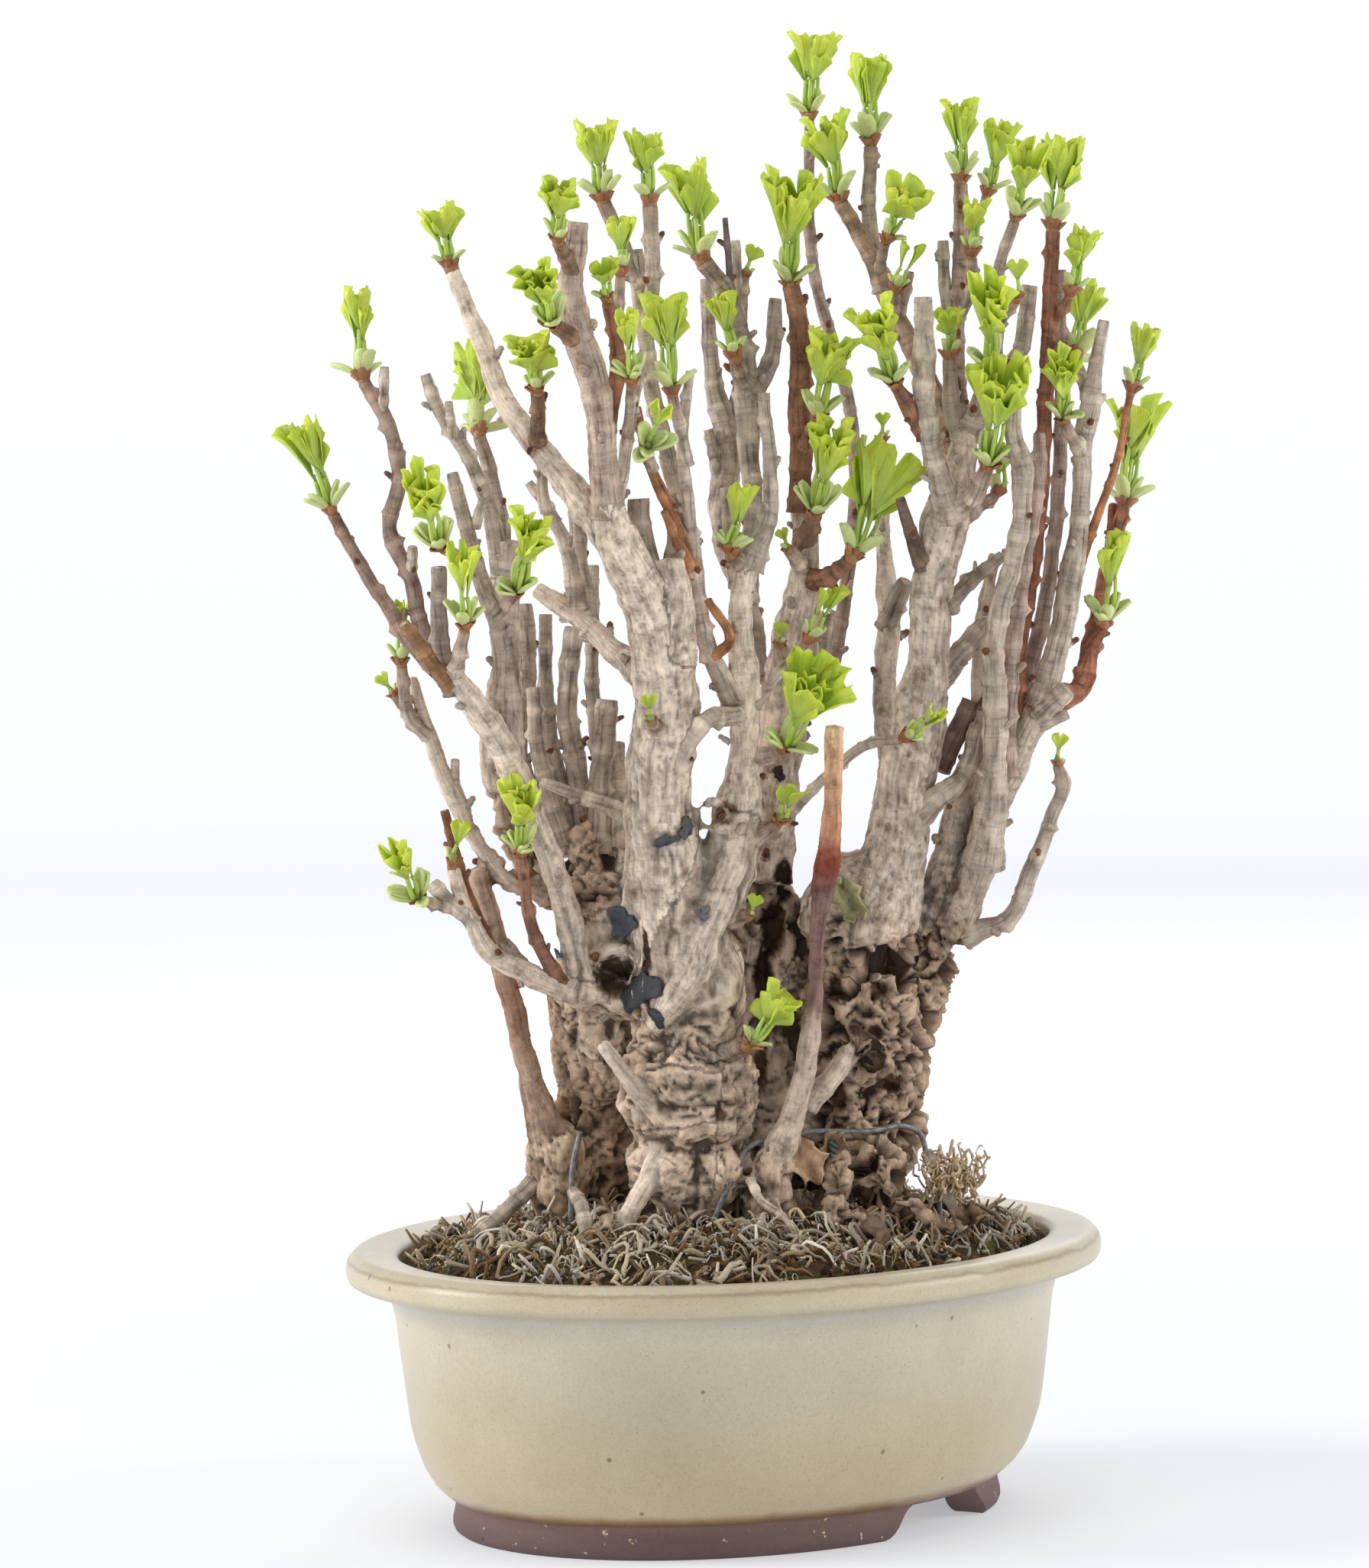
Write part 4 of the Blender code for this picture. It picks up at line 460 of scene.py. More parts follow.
# Colours by height of the two cut poles: purple-brown below the red knob of one, pale at both feet
TINT_STOPS = {
    "pole": [(110, (186, 170, 150)), (160, (190, 174, 156)), (192, (176, 156, 142)), (202, (124, 98, 92)),
        (246, (120, 94, 86)), (256, (118, 58, 44)), (262, (138, 78, 58)), (268, (178, 128, 98)),
        (312, (220, 182, 146))],
    "brown_pole": [(112, (150, 132, 106)), (144, (182, 160, 136)), (154, (162, 138, 118)),
        (175, (160, 136, 116)), (205, (142, 108, 86)), (230, (166, 142, 122)), (257, (176, 152, 132))],
}

# Heights above which the bark of the two poles is smooth
SMOOTH_ABOVE = {"pole": 142, "brown_pole": 150}

# Limbs thicker than the radius are part of the trunk's skin. So are the named ones, and some stay smooth
SKIN_RADIUS = 7
SKINNED = {"root_front", "root_knob", "root_right", "arm", "flow", "stub_10"}
SMOOTH_LIMBS = {"pole", "flow", "brown_pole", "root_front", "arm", "stub_10"}

# Height at which the skin is cut into its two pieces
SKIN_SPLIT = 0.215

# Knots and eyes of the front bark: across, up, size in millimetres
KNOTS = [
    (-39, 385, 3.4), (-13, 343, 2.4), (-14, 337, 1.8), (7, 292, 2.2), (-30, 352, 2.6), (58, 330, 2.6),
    (74, 300, 2.4), (86, 278, 3.2), (-66, 262, 2.4),
]

# Fibres on the ground: piece, count, lengths, radii, lift, bend, steps, sides and tints
ROOT_TINTS = [
    (240, 224, 196), (216, 196, 162), (186, 160, 124), (246, 236, 216), (140, 110, 78), (208, 192, 170),
]
MOSS_TINTS = [(128, 98, 54), (96, 74, 40), (70, 54, 34), (76, 84, 36), (50, 38, 26), (168, 138, 88)]
CRUMB_TINTS = [(70, 52, 38), (92, 70, 50), (60, 44, 34), (120, 90, 60), (104, 96, 84)]
FIBRES = [
    ("fine_roots", 42, (18, 40), (1.2, 2.0), 5.0, 0.5, 11, 7, ROOT_TINTS),
    ("fine_roots", 340, (12, 34), (0.5, 1.4), 8.0, 1.0, 11, 5, ROOT_TINTS),
    ("fine_roots", 850, (6, 18), (0.28, 0.65), 6.0, 1.5, 8, 3, ROOT_TINTS),
    ("moss_shreds", 1500, (3, 8), (0.24, 0.5), 4.0, 1.5, 4, 3, MOSS_TINTS),
]

# Wound paste and scraps on the bark: place, half sizes, tilt and colour
PATCHES = [
    ((-39.5, 235), 6.2, 5.0, 20, (92, 98, 106)), ((-32, 208), 6.6, 7.0, -30, (74, 74, 78)),
    ((-22, 267), 4.6, 1.8, 25, (88, 88, 92)), ((-14, 272), 2.6, 3.4, -10, (92, 90, 92)),
    ((-7, 238), 2.2, 2.4, 0, (120, 122, 128)), ((-66, 224), 2.2, 3.0, 10, (96, 106, 116)),
    ((23, 293), 2.0, 2.4, 0, (58, 52, 50)), ((-26, 197), 2.2, 3.4, 40, (64, 62, 64)),
]

# Dead leaves: place, depth, half sizes, tilt and colour
DRY_LEAVES = [
    ((33, 139), -40, 7.5, 8.5, 20, (216, 178, 142)), ((43, 145), -36, 5.0, 6.5, -28, (158, 130, 100)),
    ((50, 243), -22, 6.0, 8.0, 24, (170, 166, 120)), ((96, 118), -34, 5.0, 4.0, 10, (132, 106, 76)),
]

# The pot's colours by height in millimetres, from bare clay up to the rim, darker and greyer under the lip
# as painted shade
GLAZE_TOP = 112
GLAZE_AND_SHADE_BANDS = [
    (0, (96, 78, 74)), (12.6, (124, 98, 92)), (13.2, (112, 82, 64)), (15.0, (150, 118, 82)),
    (18, (192, 177, 143)), (34, (192, 177, 143)), (60, (199, 187, 159)), (86, (208, 197, 172)),
    (94.5, (190, 185, 169)), (98.0, (186, 176, 150)), (101, (206, 194, 162)), (105.6, (204, 190, 158)),
    (107.0, (168, 150, 120)), (107.8, (202, 189, 158)), (112, (216, 206, 180)),
]


def srgb(*values):
    """A linear colour from sRGB values of 0 to 255."""
    return np.array([c / 255 / 12.92 if c < 10 else ((c / 255 + 0.055) / 1.055) ** 2.4 for c in values])


def mixed(colour, other, share):
    """A share of the way from one colour to another."""
    return colour * (1 - share) + other * share


def seen(across, up, depth):
    """A point as it shows from the front, moved along the sight line to its depth, as in the part."""
    risen = min(1.0, max(0.0, (up - CROWN_START) / (CROWN_FULL - CROWN_START)))
    depth = depth * (1 + CROWN_SPREAD * risen)
    reach = 1 + depth * MM / EYE_DISTANCE
    height = EYE_HEIGHT + (up * MM - EYE_HEIGHT) * reach
    return FRONT @ Vector((across * MM * reach, depth * MM, height))


def placed(route):
    """A route's points in the frame, each with its radius, in metres."""
    return [[*seen(*point[:3]), point[3] * MM] for point in route]


def limb_end(name):
    """Where a limb ends, which way it points there, and its radius."""
    route = LIMBS[name]
    before = seen(*route[-2][:3])
    end = seen(*route[-1][:3])
    return end, (end - before).normalized(), route[-1][3] * MM


def soil_height(distance):
    """Height of the soil at a share of the way from the middle to the wall."""
    fallen = max(0.0, (distance - SOIL_LEVEL_SHARE) / (1 - SOIL_LEVEL_SHARE)) ** SOIL_FALL_POWER
    return SOIL_CROWN + (SOIL_EDGE - SOIL_CROWN) * fallen


# A table of random directions, for noise worked out on whole arrays
RANDOM_DIRECTIONS = np.random.default_rng(7).normal(size=(512, 3))
RANDOM_DIRECTIONS /= np.linalg.norm(RANDOM_DIRECTIONS, axis=1)[:, None]
CORNERS = np.array(list(itertools.product((0, 1), repeat=3)))


# Meshes are gathered as arrays, with a colour and a grain coordinate at each point

class Batch:
    """Points, faces, tints and grain coordinates of one piece."""

    def __init__(self):
        self.points = []
        self.faces = []
        self.tints = []
        self.grains = []
        self.count = 0

    def add(self, points, faces, tint, grain=None):
        """Adds faces over new points. One tint serves them all, and the grain is their place."""
        points = np.asarray(points, float).reshape(-1, 3)
        tint = np.asarray(tint, float)
        if tint.ndim == 1:
            tint = np.tile(tint, (len(points), 1))
        self.points.append(points)
        self.tints.append(tint)
        self.grains.append(points if grain is None else grain)
        self.faces += [[index + self.count for index in face] for face in faces]
        self.count += len(points)

    def mesh(self, name):
        """Everything gathered, as one mesh."""
        mesh = bpy.data.meshes.new(name)
        mesh.from_pydata(np.concatenate(self.points).tolist(), [], self.faces)
        return mesh

    def piece(self, name, material, slot, nodes=(), smooth=True):
        """Everything gathered, as one piece of the tree."""
        mesh = self.mesh(name)
        paint(mesh, np.concatenate(self.tints), np.concatenate(self.grains))
        settle(name, mesh, material, nodes, smooth)


def paint(mesh, tints, grains):
    """Writes a colour and a grain coordinate at each point of a mesh."""
    layer = mesh.attributes.new("tint", "FLOAT_COLOR", "POINT")
    full = np.ones((len(tints), 4))
    full[:, :3] = tints
    layer.data.foreach_set("color", full.ravel())
    layer = mesh.attributes.new("grain", "FLOAT_VECTOR", "POINT")
    layer.data.foreach_set("vector", grains.ravel())


def linked(name, data):
    """A new object in the scene."""
    made = bpy.data.objects.new(name, data)
    bpy.context.scene.collection.objects.link(made)
    return made


def settle(name, mesh, material, nodes=(), smooth=True):
    """Links a mesh as a piece that rides on the tree's one body."""
    mesh.materials.clear()
    mesh.materials.append(material)
    if smooth:
        mesh.polygons.foreach_set("use_smooth", [True] * len(mesh.polygons))
    mesh.validate()
    mesh.update()
    made = linked(name, mesh)
    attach(made, "root")
    if nodes:
        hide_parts(*nodes)


def round_turns(count):
    """Angles evenly round a circle."""
    return np.linspace(0, 2 * math.pi, count, endpoint=False)


def run_lengths(path):
    """How far along a path each of its points is."""
    return np.concatenate([[0], np.cumsum(np.linalg.norm(np.diff(path, axis=0), axis=1))])


def evened(values, reach):
    """Each value as the mean of those within reach of it."""
    width = 2 * reach + 1
    return np.convolve(np.pad(values, reach, mode="edge"), np.ones(width) / width, mode="valid")


def phase(draw):
    """A random angle."""
    return draw.uniform(0, 6.3)


def hermite(points, step):
    """A smooth curve through the points, sampled evenly enough, with its place along them."""
    points = np.array(points, float)
    gaps = np.linalg.norm(np.diff(points[:, :3], axis=0), axis=1)
    place = np.concatenate([[0], np.cumsum(gaps)])
    slopes = np.zeros_like(points)
    runs = np.diff(points, axis=0) / gaps[:, None]
    slopes[0] = runs[0]
    slopes[-1] = runs[-1]
    for index in range(1, len(points) - 1):
        before, after = gaps[index - 1], gaps[index]
        slopes[index] = (runs[index - 1] * after + runs[index] * before) / (before + after)
    count = max(3, int(math.ceil(place[-1] / step)) + 1)
    places = np.linspace(0, place[-1], count)
    spans = np.clip(np.searchsorted(place, places, side="right") - 1, 0, len(gaps) - 1)
    gap = gaps[spans][:, None]
    t = ((places - place[spans])[:, None]) / gap
    curve = (2 * t**3 - 3 * t**2 + 1) * points[spans] + (t**3 - 2 * t**2 + t) * (slopes[spans] * gap)
    curve += (-2 * t**3 + 3 * t**2) * points[spans + 1] + (t**3 - t**2) * (slopes[spans + 1] * gap)
    return curve, places


def heading(path):
    """Unit vectors along a path."""
    ahead = np.gradient(path, axis=0)
    return ahead / np.linalg.norm(ahead, axis=1)[:, None]


def rings(path):
    """Two unit vectors square to the path at each point, carried along without twist."""
    ahead = heading(path)
    first = np.cross(ahead[0], (0, 0, 1) if abs(ahead[0][2]) < 0.9 else (1, 0, 0))
    out = np.empty_like(path)
    for index, direction in enumerate(ahead):
        first = first - direction * first.dot(direction)
        first /= np.linalg.norm(first)
        out[index] = first
    return out, np.cross(ahead, out)


def ring_faces(count, sides):
    """Quads between rings."""
    rows = np.arange(count - 1)[:, None] * sides
    side = np.arange(sides)[None, :]
    after = (side + 1) % sides
    quads = np.stack([rows + side, rows + after, rows + sides + after, rows + sides + side], axis=-1)
    return quads.reshape(-1, 4).tolist()


def sweep(batch, path, radii, sides, tint, relief=None, cut=None):
    """Adds a closed tube along the path. Relief is a share of the radius at each place and side."""
    count = len(path)
    first, second = rings(path)
    angles = round_turns(sides)
    cosine, sine = np.cos(angles), np.sin(angles)
    reach = np.repeat(radii[:, None], sides, axis=1)
    if relief is not None:
        reach = reach * (1 + relief)
    offset = first[:, None] * cosine[None, :, None] + second[:, None] * sine[None, :, None]
    points = (path[:, None] + offset * reach[..., None]).reshape(-1, 3)
    places = run_lengths(path)
    seed = float(path[0].sum() * 37 % 1)
    lengthways = np.repeat(places[:, None], sides, axis=1) + seed
    grain = np.stack([cosine * radii[:, None], sine * radii[:, None], lengthways], axis=-1).reshape(-1, 3)
    faces = ring_faces(count, sides)
    last = count * sides
    for side in range(sides):
        after = (side + 1) % sides
        faces.append([side, last, after])
        faces.append([last - sides + side, last - sides + after, last + 1])
    tints = np.asarray(tint, float)
    if tints.ndim == 1:
        tints = np.tile(tints, (count, 1))
    tints = np.repeat(tints, sides, axis=0)
    if relief is not None:
        # Lighter where the relief stands above its neighbours and darker where it sinks: a painted highlight
        # and painted shade
        ridge_and_pit_shade = relief - evened(relief.mean(axis=1), 4)[:, None]
        tints = tints * np.clip(1 + 2.4 * ridge_and_pit_shade, 0.42, 1.3).reshape(-1, 1)
    tints = np.concatenate([tints, tints[:1], tints[-1:]])
    if cut is not None:
        tints[-1] = cut
    points = np.concatenate([points, path[:1], path[-1:]])
    grain = np.concatenate([grain, [[0, 0, seed]], [[0, 0, places[-1] + seed]]])
    batch.add(points, faces, tints, grain)


def bark_relief(draw, places, radii, sides, spur, buds):
    """Lumps, furrows, rings and buds along a limb, as a share of its radius."""
    angles = round_turns(sides)[None]
    place = places[:, None] / MM
    radius = radii[:, None] / MM
    relief = np.zeros((len(places), sides))
    for turns in (1, 2, 3, 4):
        pace = draw.uniform(0.08, 0.35)
        relief += 0.032 * np.sin(turns * angles + pace * place + phase(draw)) * (1.2 - 0.2 * turns)
    relief += 0.03 * np.sin(place * draw.uniform(0.3, 0.5) + phase(draw))
    strength = np.clip((radius - 4.5) / 6, 0, 1)
    if strength.max() > 0:
        lanes = max(5, round(float(radii.max()) / MM * 1.15))
        waves = [0.16 * np.sin(place * draw.uniform(0.05, 0.30) + phase(draw)) for _ in range(3)]
        for step in (1, 1.7):
            wave = np.sin(0.5 * round(lanes * step) * 2 * (angles + sum(waves) * step + phase(draw)))
            relief -= 0.05 * strength * np.clip(1 - np.abs(wave) * 2.2, 0, 1)
    amount = 0.06 if spur else 0.022
    relief += amount * np.sin(place * 2 * math.pi / draw.uniform(1.9, 2.6)) * np.clip(7 / radius, 0.1, 1)
    at = draw.uniform(3, 8)
    side = phase(draw)
    size = np.clip(3.2 / radius, 0.12, 1)
    while at < place[-1, 0] - 2.5:
        relief += 0.15 * np.exp(-((place - at) / 1.3) ** 2) * size
        if buds:
            turn = np.angle(np.exp(1j * (angles - side)))
            relief += 0.62 * np.exp(-((place - at - 0.5) / 1.5) ** 2) * np.exp(-(turn / 0.55) ** 2) * size
        at += draw.uniform(5, 9) if spur else draw.uniform(9, 19)
        side += 2.4
    return relief


def limb_tint(name, route, draw):
    """A limb's own tone: the named one, or a pale grey that darkens towards the back as painted shade."""
    depth = sum(point[2] for point in route) / len(route)
    back = min(1.0, max(0.0, (depth + 5) / 40))
    pale = mixed(np.array(PALE), np.array(PALE_BACK_SHADE), back)
    colour = np.array(WOOD_COLOURS.get(name, pale), float) * draw.uniform(0.94, 1.05)
    return srgb(*np.clip(colour, 0, 255))


def limb_tints(name, route, draw):
    """Colours along a limb: by height where it changes on the way up, and one tone elsewhere."""
    if name not in TINT_STOPS:
        return np.tile(limb_tint(name, route, draw), (len(route), 1))
    heights = [height for height, _ in TINT_STOPS[name]]
    table = np.array([srgb(*colour) for _, colour in TINT_STOPS[name]])
    return np.array([[np.interp(point[1], heights, table[:, c]) for c in range(3)] for point in route])


def side_count(radius):
    """Faces round a limb of this radius in millimetres."""
    for most, sides in ((2.4, 8), (4, 10), (6, 12), (9, 18)):
        if radius < most:
            return sides
    return 34


def add_limb(batch, name, route, carried):
    """One limb, stub or root with its bark, swollen a little where it leaves its parent."""
    draw = random.Random(name + "bark")
    points = np.array(placed(route))
    tints = limb_tints(name, route, draw)
    widest = max(point[3] for point in route)
    curve, places = hermite(np.column_stack([points, tints]), (1.7 if widest < 6 else 1.4) * MM)
    path = curve[:, :3]
    radii = evened(np.interp(places, run_lengths(points[:, :3]), points[:, 3]), 3)
    length = places[-1]
    wander(path, places, radii, draw)
    tint = curve[:, 4:7]
    if carried:
        near_tip = np.clip(1 - (length - places) / 0.016, 0, 1)[:, None]
        tint = mixed(tint, srgb(150, 112, 88), near_tip * 0.55)
    spur = length < 0.028 and widest < 5.5
    sides = side_count(widest)
    relief = bark_relief(draw, places, radii, sides, spur, widest < 5.6 and name != "brown_pole")
    collar = 0.30 * np.exp(-places / (0.9 * radii[0] + 1e-6)) * (1 if name in LIMBS else 0.2)
    relief += collar[:, None]
    cut = None
    if not carried and name in LIMBS:
        cut = srgb(206, 190, 164)
        radii[-1] *= 0.94
    sweep(batch, path, radii, sides, np.clip(tint, 0, 1), relief, cut)


def sphere_points(detail):
    """A unit icosphere's points and faces."""
    bm = bmesh.new()
    bmesh.ops.create_icosphere(bm, subdivisions=detail, radius=1)
    points = np.array([vert.co for vert in bm.verts])
    faces = [[vert.index for vert in face.verts] for face in bm.faces]
    bm.free()
    return points, faces


def swelling(batch, size):
    """One lumpy swelling of the trunk, as in the part."""
    across, up, depth, wide, deep, tall = size
    points, faces = sphere_points(5)
    middle = seen(across, up, depth)
    ripple = 1 + RIPPLE * gradient_noise(points * 2.3 + (across, up, depth), 1)
    local = points * np.array([wide, deep, tall]) * MM * ripple[:, None]
    batch.add(local @ np.array(FRONT).T + np.array(middle), faces, UNPAINTED)


# Raised rims round the hollow cup and the eye: across, up, depth, half sizes, thickness
RIMS = [
    (-42, 213, -17, 11.5, 11, 2.9), (52, 181, -18, 6.4, 6.6, 2.3), (-3, 277, -26, 6.0, 5.2, 1.5),
]

# Carving of the trunk as it shows from the front: across, up, half width, half height,
# push towards the eye in millimetres (negative is a hollow), how round the edge is, and a dark tint painted
# inside as the hollow's shade
HOLLOWS = [
    (-42, 213, 9.0, 8.6, -10.0, 0.55, (92, 72, 50)),
    (-44, 263, 4.2, 8.5, -5.0, 0.6, (60, 46, 36)),
    (2, 277, 5.0, 5.0, -4.5, 0.6, (142, 112, 80)),
    (52, 181, 5.0, 5.5, -7.0, 0.5, (56, 40, 30)),
    (20, 232, 5.2, 12, -9.0, 0.7, (70, 52, 40)),
    (16, 212, 4.0, 12, -8.0, 0.7, (74, 54, 42)),
    (25, 250, 4.0, 9, -8.0, 0.7, (66, 50, 38)),
    (70, 214, 3.4, 7, -3.5, 0.7, (88, 64, 48)),
    (61, 207, 4.0, 4, -3.0, 0.7, (84, 60, 46)),
    (44, 206, 3.2, 7, -3.5, 0.7, (78, 56, 44)),
    (66, 170, 6.5, 4, -3.0, 0.7, (96, 70, 52)),
    (45, 165, 3.5, 6, -2.5, 0.7, (96, 70, 52)),
    (60, 190, 4.0, 3.5, -2.5, 0.7, (90, 66, 50)),
    (-2, 158, 3.2, 3.0, -2.0, 0.7, (112, 86, 66)),
    (14, 178, 3.0, 6.0, -2.0, 0.7, (104, 80, 62)),
    (-9, 232, 1.6, 12, -1.6, 0.7, (110, 86, 70)),
    (-30, 217, 1.6, 18, -3.0, 0.7, (90, 68, 54)),
]
MOUNDS = [
    (-34, 259, 7.5, 10, 3.4, 0.5), (-20, 240, 6, 9, 1.6, 0.5), (10, 240, 6, 10, 1.8, 0.5),
    (-42, 213, 13.5, 13, 3.2, 0.35), (-8, 190, 12, 6, 2.2, 0.6), (-14, 174, 14, 4.5, 2.0, 0.6),
    (4, 168, 9, 5, 1.6, 0.6), (-10, 152, 16, 4.5, 2.0, 0.6), (8, 150, 10, 6, 2.2, 0.6),
    (-22, 136, 9, 8, 2.6, 0.6), (4, 134, 9, 7, 2.4, 0.6), (24, 136, 7, 7, 2.0, 0.6),
    (52, 181, 8.5, 8.5, 2.6, 0.35), (67, 246, 13, 14, 3.0, 0.7), (60, 229, 9, 5, 2.8, 0.5),
    (70, 200, 6, 10, 2.4, 0.6), (50, 146, 9, 7, 1.8, 0.6), (76, 150, 8, 8, 2.0, 0.6),
    (8, 196, 9, 8, 2.2, 0.7), (-26, 196, 8, 7, 1.8, 0.6), (-60, 200, 6, 8, 1.6, 0.6),
    (38, 222, 5, 10, 1.8, 0.6), (82, 176, 5, 12, 1.6, 0.6),
]
GROOVES = [
    ([(-38, 164), (-16, 161), (8, 163)], 1.5, -1.6),
    ([(-36, 184), (-20, 182), (-4, 178), (10, 182)], 1.5, -1.6),
    ([(-34, 146), (-12, 143), (12, 145)], 1.3, -1.3), ([(-11, 143), (-12, 122)], 1.4, -2.2),
    ([(12, 146), (14, 124)], 1.4, -2.0), ([(-4, 205), (-2, 240), (4, 262)], 1.3, -1.4),
    ([(-22, 222), (-18, 246), (-20, 262)], 1.2, -1.2), ([(58, 262), (52, 240), (50, 218)], 1.3, -1.6),
    ([(36, 176), (44, 160), (40, 142)], 1.4, -1.8), ([(80, 236), (74, 214), (78, 192)], 1.3, -1.6),
    ([(62, 160), (72, 152), (80, 160)], 1.3, -1.6), ([(-62, 240), (-56, 216), (-60, 186)], 1.2, -1.4),
    ([(14, 200), (16, 182), (10, 160)], 1.8, -2.6), ([(-18, 204), (-6, 212), (2, 226)], 1.3, 1.4),
    ([(-28, 205), (-16, 198), (-2, 204)], 1.3, 1.3),
]


def smoothstep(low, high, value):
    """A smooth rise from 0 to 1."""
    t = np.clip((value - low) / (high - low), 0, 1)
    return t * t * (3 - 2 * t)


def stroke_distance(points, line):
    """Distance from points to a line of places, all in two dimensions."""
    best = np.full(len(points), 1e9)
    for start, end in zip(line, line[1:]):
        run = np.subtract(end, start, dtype=float)
        share = np.clip(((points - start) @ run) / (run @ run), 0, 1)
        best = np.minimum(best, np.linalg.norm(points - (start + share[:, None] * run), axis=1))
    return best


def on_sheet(points):
    """Where points show from the front, in millimetres at the middle's depth, and their depth."""
    local = points @ np.array(FRONT)
    depth = local[:, 1]
    reach = 1 + depth / EYE_DISTANCE
    across = local[:, 0] / reach / MM
    up = (EYE_HEIGHT + (local[:, 2] - EYE_HEIGHT) / reach) / MM
    return across, up, depth / MM


def hashed(cells, seed):
    """A table place for each whole-numbered cell."""
    mixed = cells[:, 0] * 73856093 ^ cells[:, 1] * 19349663 ^ cells[:, 2] * 83492791 ^ seed * 2654435761
    return (mixed ^ (mixed >> 13)) % len(RANDOM_DIRECTIONS)


def gradient_noise(points, seed):
    """Smooth signed noise at each point."""
    base = np.floor(points).astype(np.int64)
    within = points - base
    fade = within**3 * (within * (within * 6 - 15) + 10)
    total = np.zeros(len(points))
    for corner in CORNERS:
        slope = RANDOM_DIRECTIONS[hashed(base + corner, seed)]
        weight = np.prod(np.where(corner, fade, 1 - fade), axis=1)
        total += weight * np.einsum("ij,ij->i", slope, within - corner)
    return total * 1.5


def noise_at(points, scale, octaves, seed):
    """Signed noise at each point, at a scale in waves per metre."""
    total, size = 0, 1.0
    for octave in range(octaves):
        total = total + gradient_noise(points * scale * 2.1**octave + 17.3 * octave, seed + octave) * size
        size *= 0.5
    return total


def cells_at(points, scale, seed):
    """Distance to the nearest of scattered cell middles, and to the next, at a scale in cells per metre."""
    points = points * scale
    base = np.floor(points).astype(np.int64)
    first = np.full(len(points), 9.0)
    second = first.copy()
    for shift in itertools.product((-1, 0, 1), repeat=3):
        cell = base + shift
        middle = cell + 0.5 + 0.45 * RANDOM_DIRECTIONS[hashed(cell, seed)]
        far = np.linalg.norm(points - middle, axis=1)
        second = np.minimum(second, np.maximum(first, far))
        first = np.minimum(first, far)
    return first, second


def warped(points, scale, amount, seed):
    """Points pushed about by noise, so that patterns read at them bend."""
    shift = [noise_at(points, scale, 2, seed + axis * 5) for axis in range(3)]
    return points + np.stack(shift, axis=1) * amount


def levelled(points, edges, rounds):
    """Points moved to the middle of their neighbours, over and over."""
    count = np.bincount(edges.ravel(), minlength=len(points))[:, None]
    for _ in range(rounds):
        total = np.empty_like(points)
        for axis in range(3):
            total[:, axis] = np.bincount(edges[:, 0], points[edges[:, 1], axis], len(points))
            total[:, axis] += np.bincount(edges[:, 1], points[edges[:, 0], axis], len(points))
        points = total / count
    return points


def remeshed(batch):
    """One skin round everything in the batch."""
    body = linked("rough", batch.mesh("rough"))
    change = body.modifiers.new("skin", "REMESH")
    change.mode = "VOXEL"
    change.voxel_size = TRUNK_VOXEL
    change.adaptivity = 0
    soften = body.modifiers.new("soften", "SMOOTH")
    soften.factor = 0.5
    soften.iterations = 3
    return applied(body)


def applied(body, *helpers):
    """An object's mesh with its modifiers applied. The object and its helpers go."""
    view = bpy.context.evaluated_depsgraph_get()
    made = bpy.data.meshes.new_from_object(body.evaluated_get(view))
    for old in (*helpers, body):
        bpy.data.objects.remove(old, do_unlink=True)
    return made


def mesh_arrays(mesh):
    """Points and normals of a mesh."""
    found = []
    for key in ("co", "normal"):
        values = np.empty(len(mesh.vertices) * 3)
        mesh.vertices.foreach_get(key, values)
        found.append(values.reshape(-1, 3))
    return found


def skinned(name, route):
    """Whether a limb is part of the one skin."""
    return name in SKINNED or max(point[3] for point in route) > SKIN_RADIUS


class Axes:
    """Where the middles of the skinned limbs run, to tell which limb a point of the skin is on."""

    def __init__(self):
        self.rows = []

    def add(self, name, path, radii, places, tints, smooth_here):
        """Adds one limb's middle, with what is known along it."""
        first, second = rings(path)
        start = random.Random(name).uniform(0, 9)
        self.rows.append(np.column_stack([path, first, second, radii, places + start, tints, smooth_here]))

    def nearest(self, points):
        """For each point: the nearest middle, its two square directions, radius, place, tint, smoothness."""
        table = np.concatenate(self.rows)
        tree = kdtree.KDTree(len(table))
        for index, place in enumerate(table[:, :3]):
            tree.insert(place, index)
        tree.balance()
        radii = table[:, 9]
        chosen = np.empty(len(points), int)
        for index, point in enumerate(points):
            best = min(tree.find_n(point, 3), key=lambda found: found[2] - radii[found[1]])
            chosen[index] = best[1]
        middle, first, second, radius, along, tint, smooth = np.split(
            table[chosen], (3, 6, 9, 10, 11, 14), axis=1)
        return middle, first, second, radius[:, 0], along[:, 0], tint, smooth[:, 0]


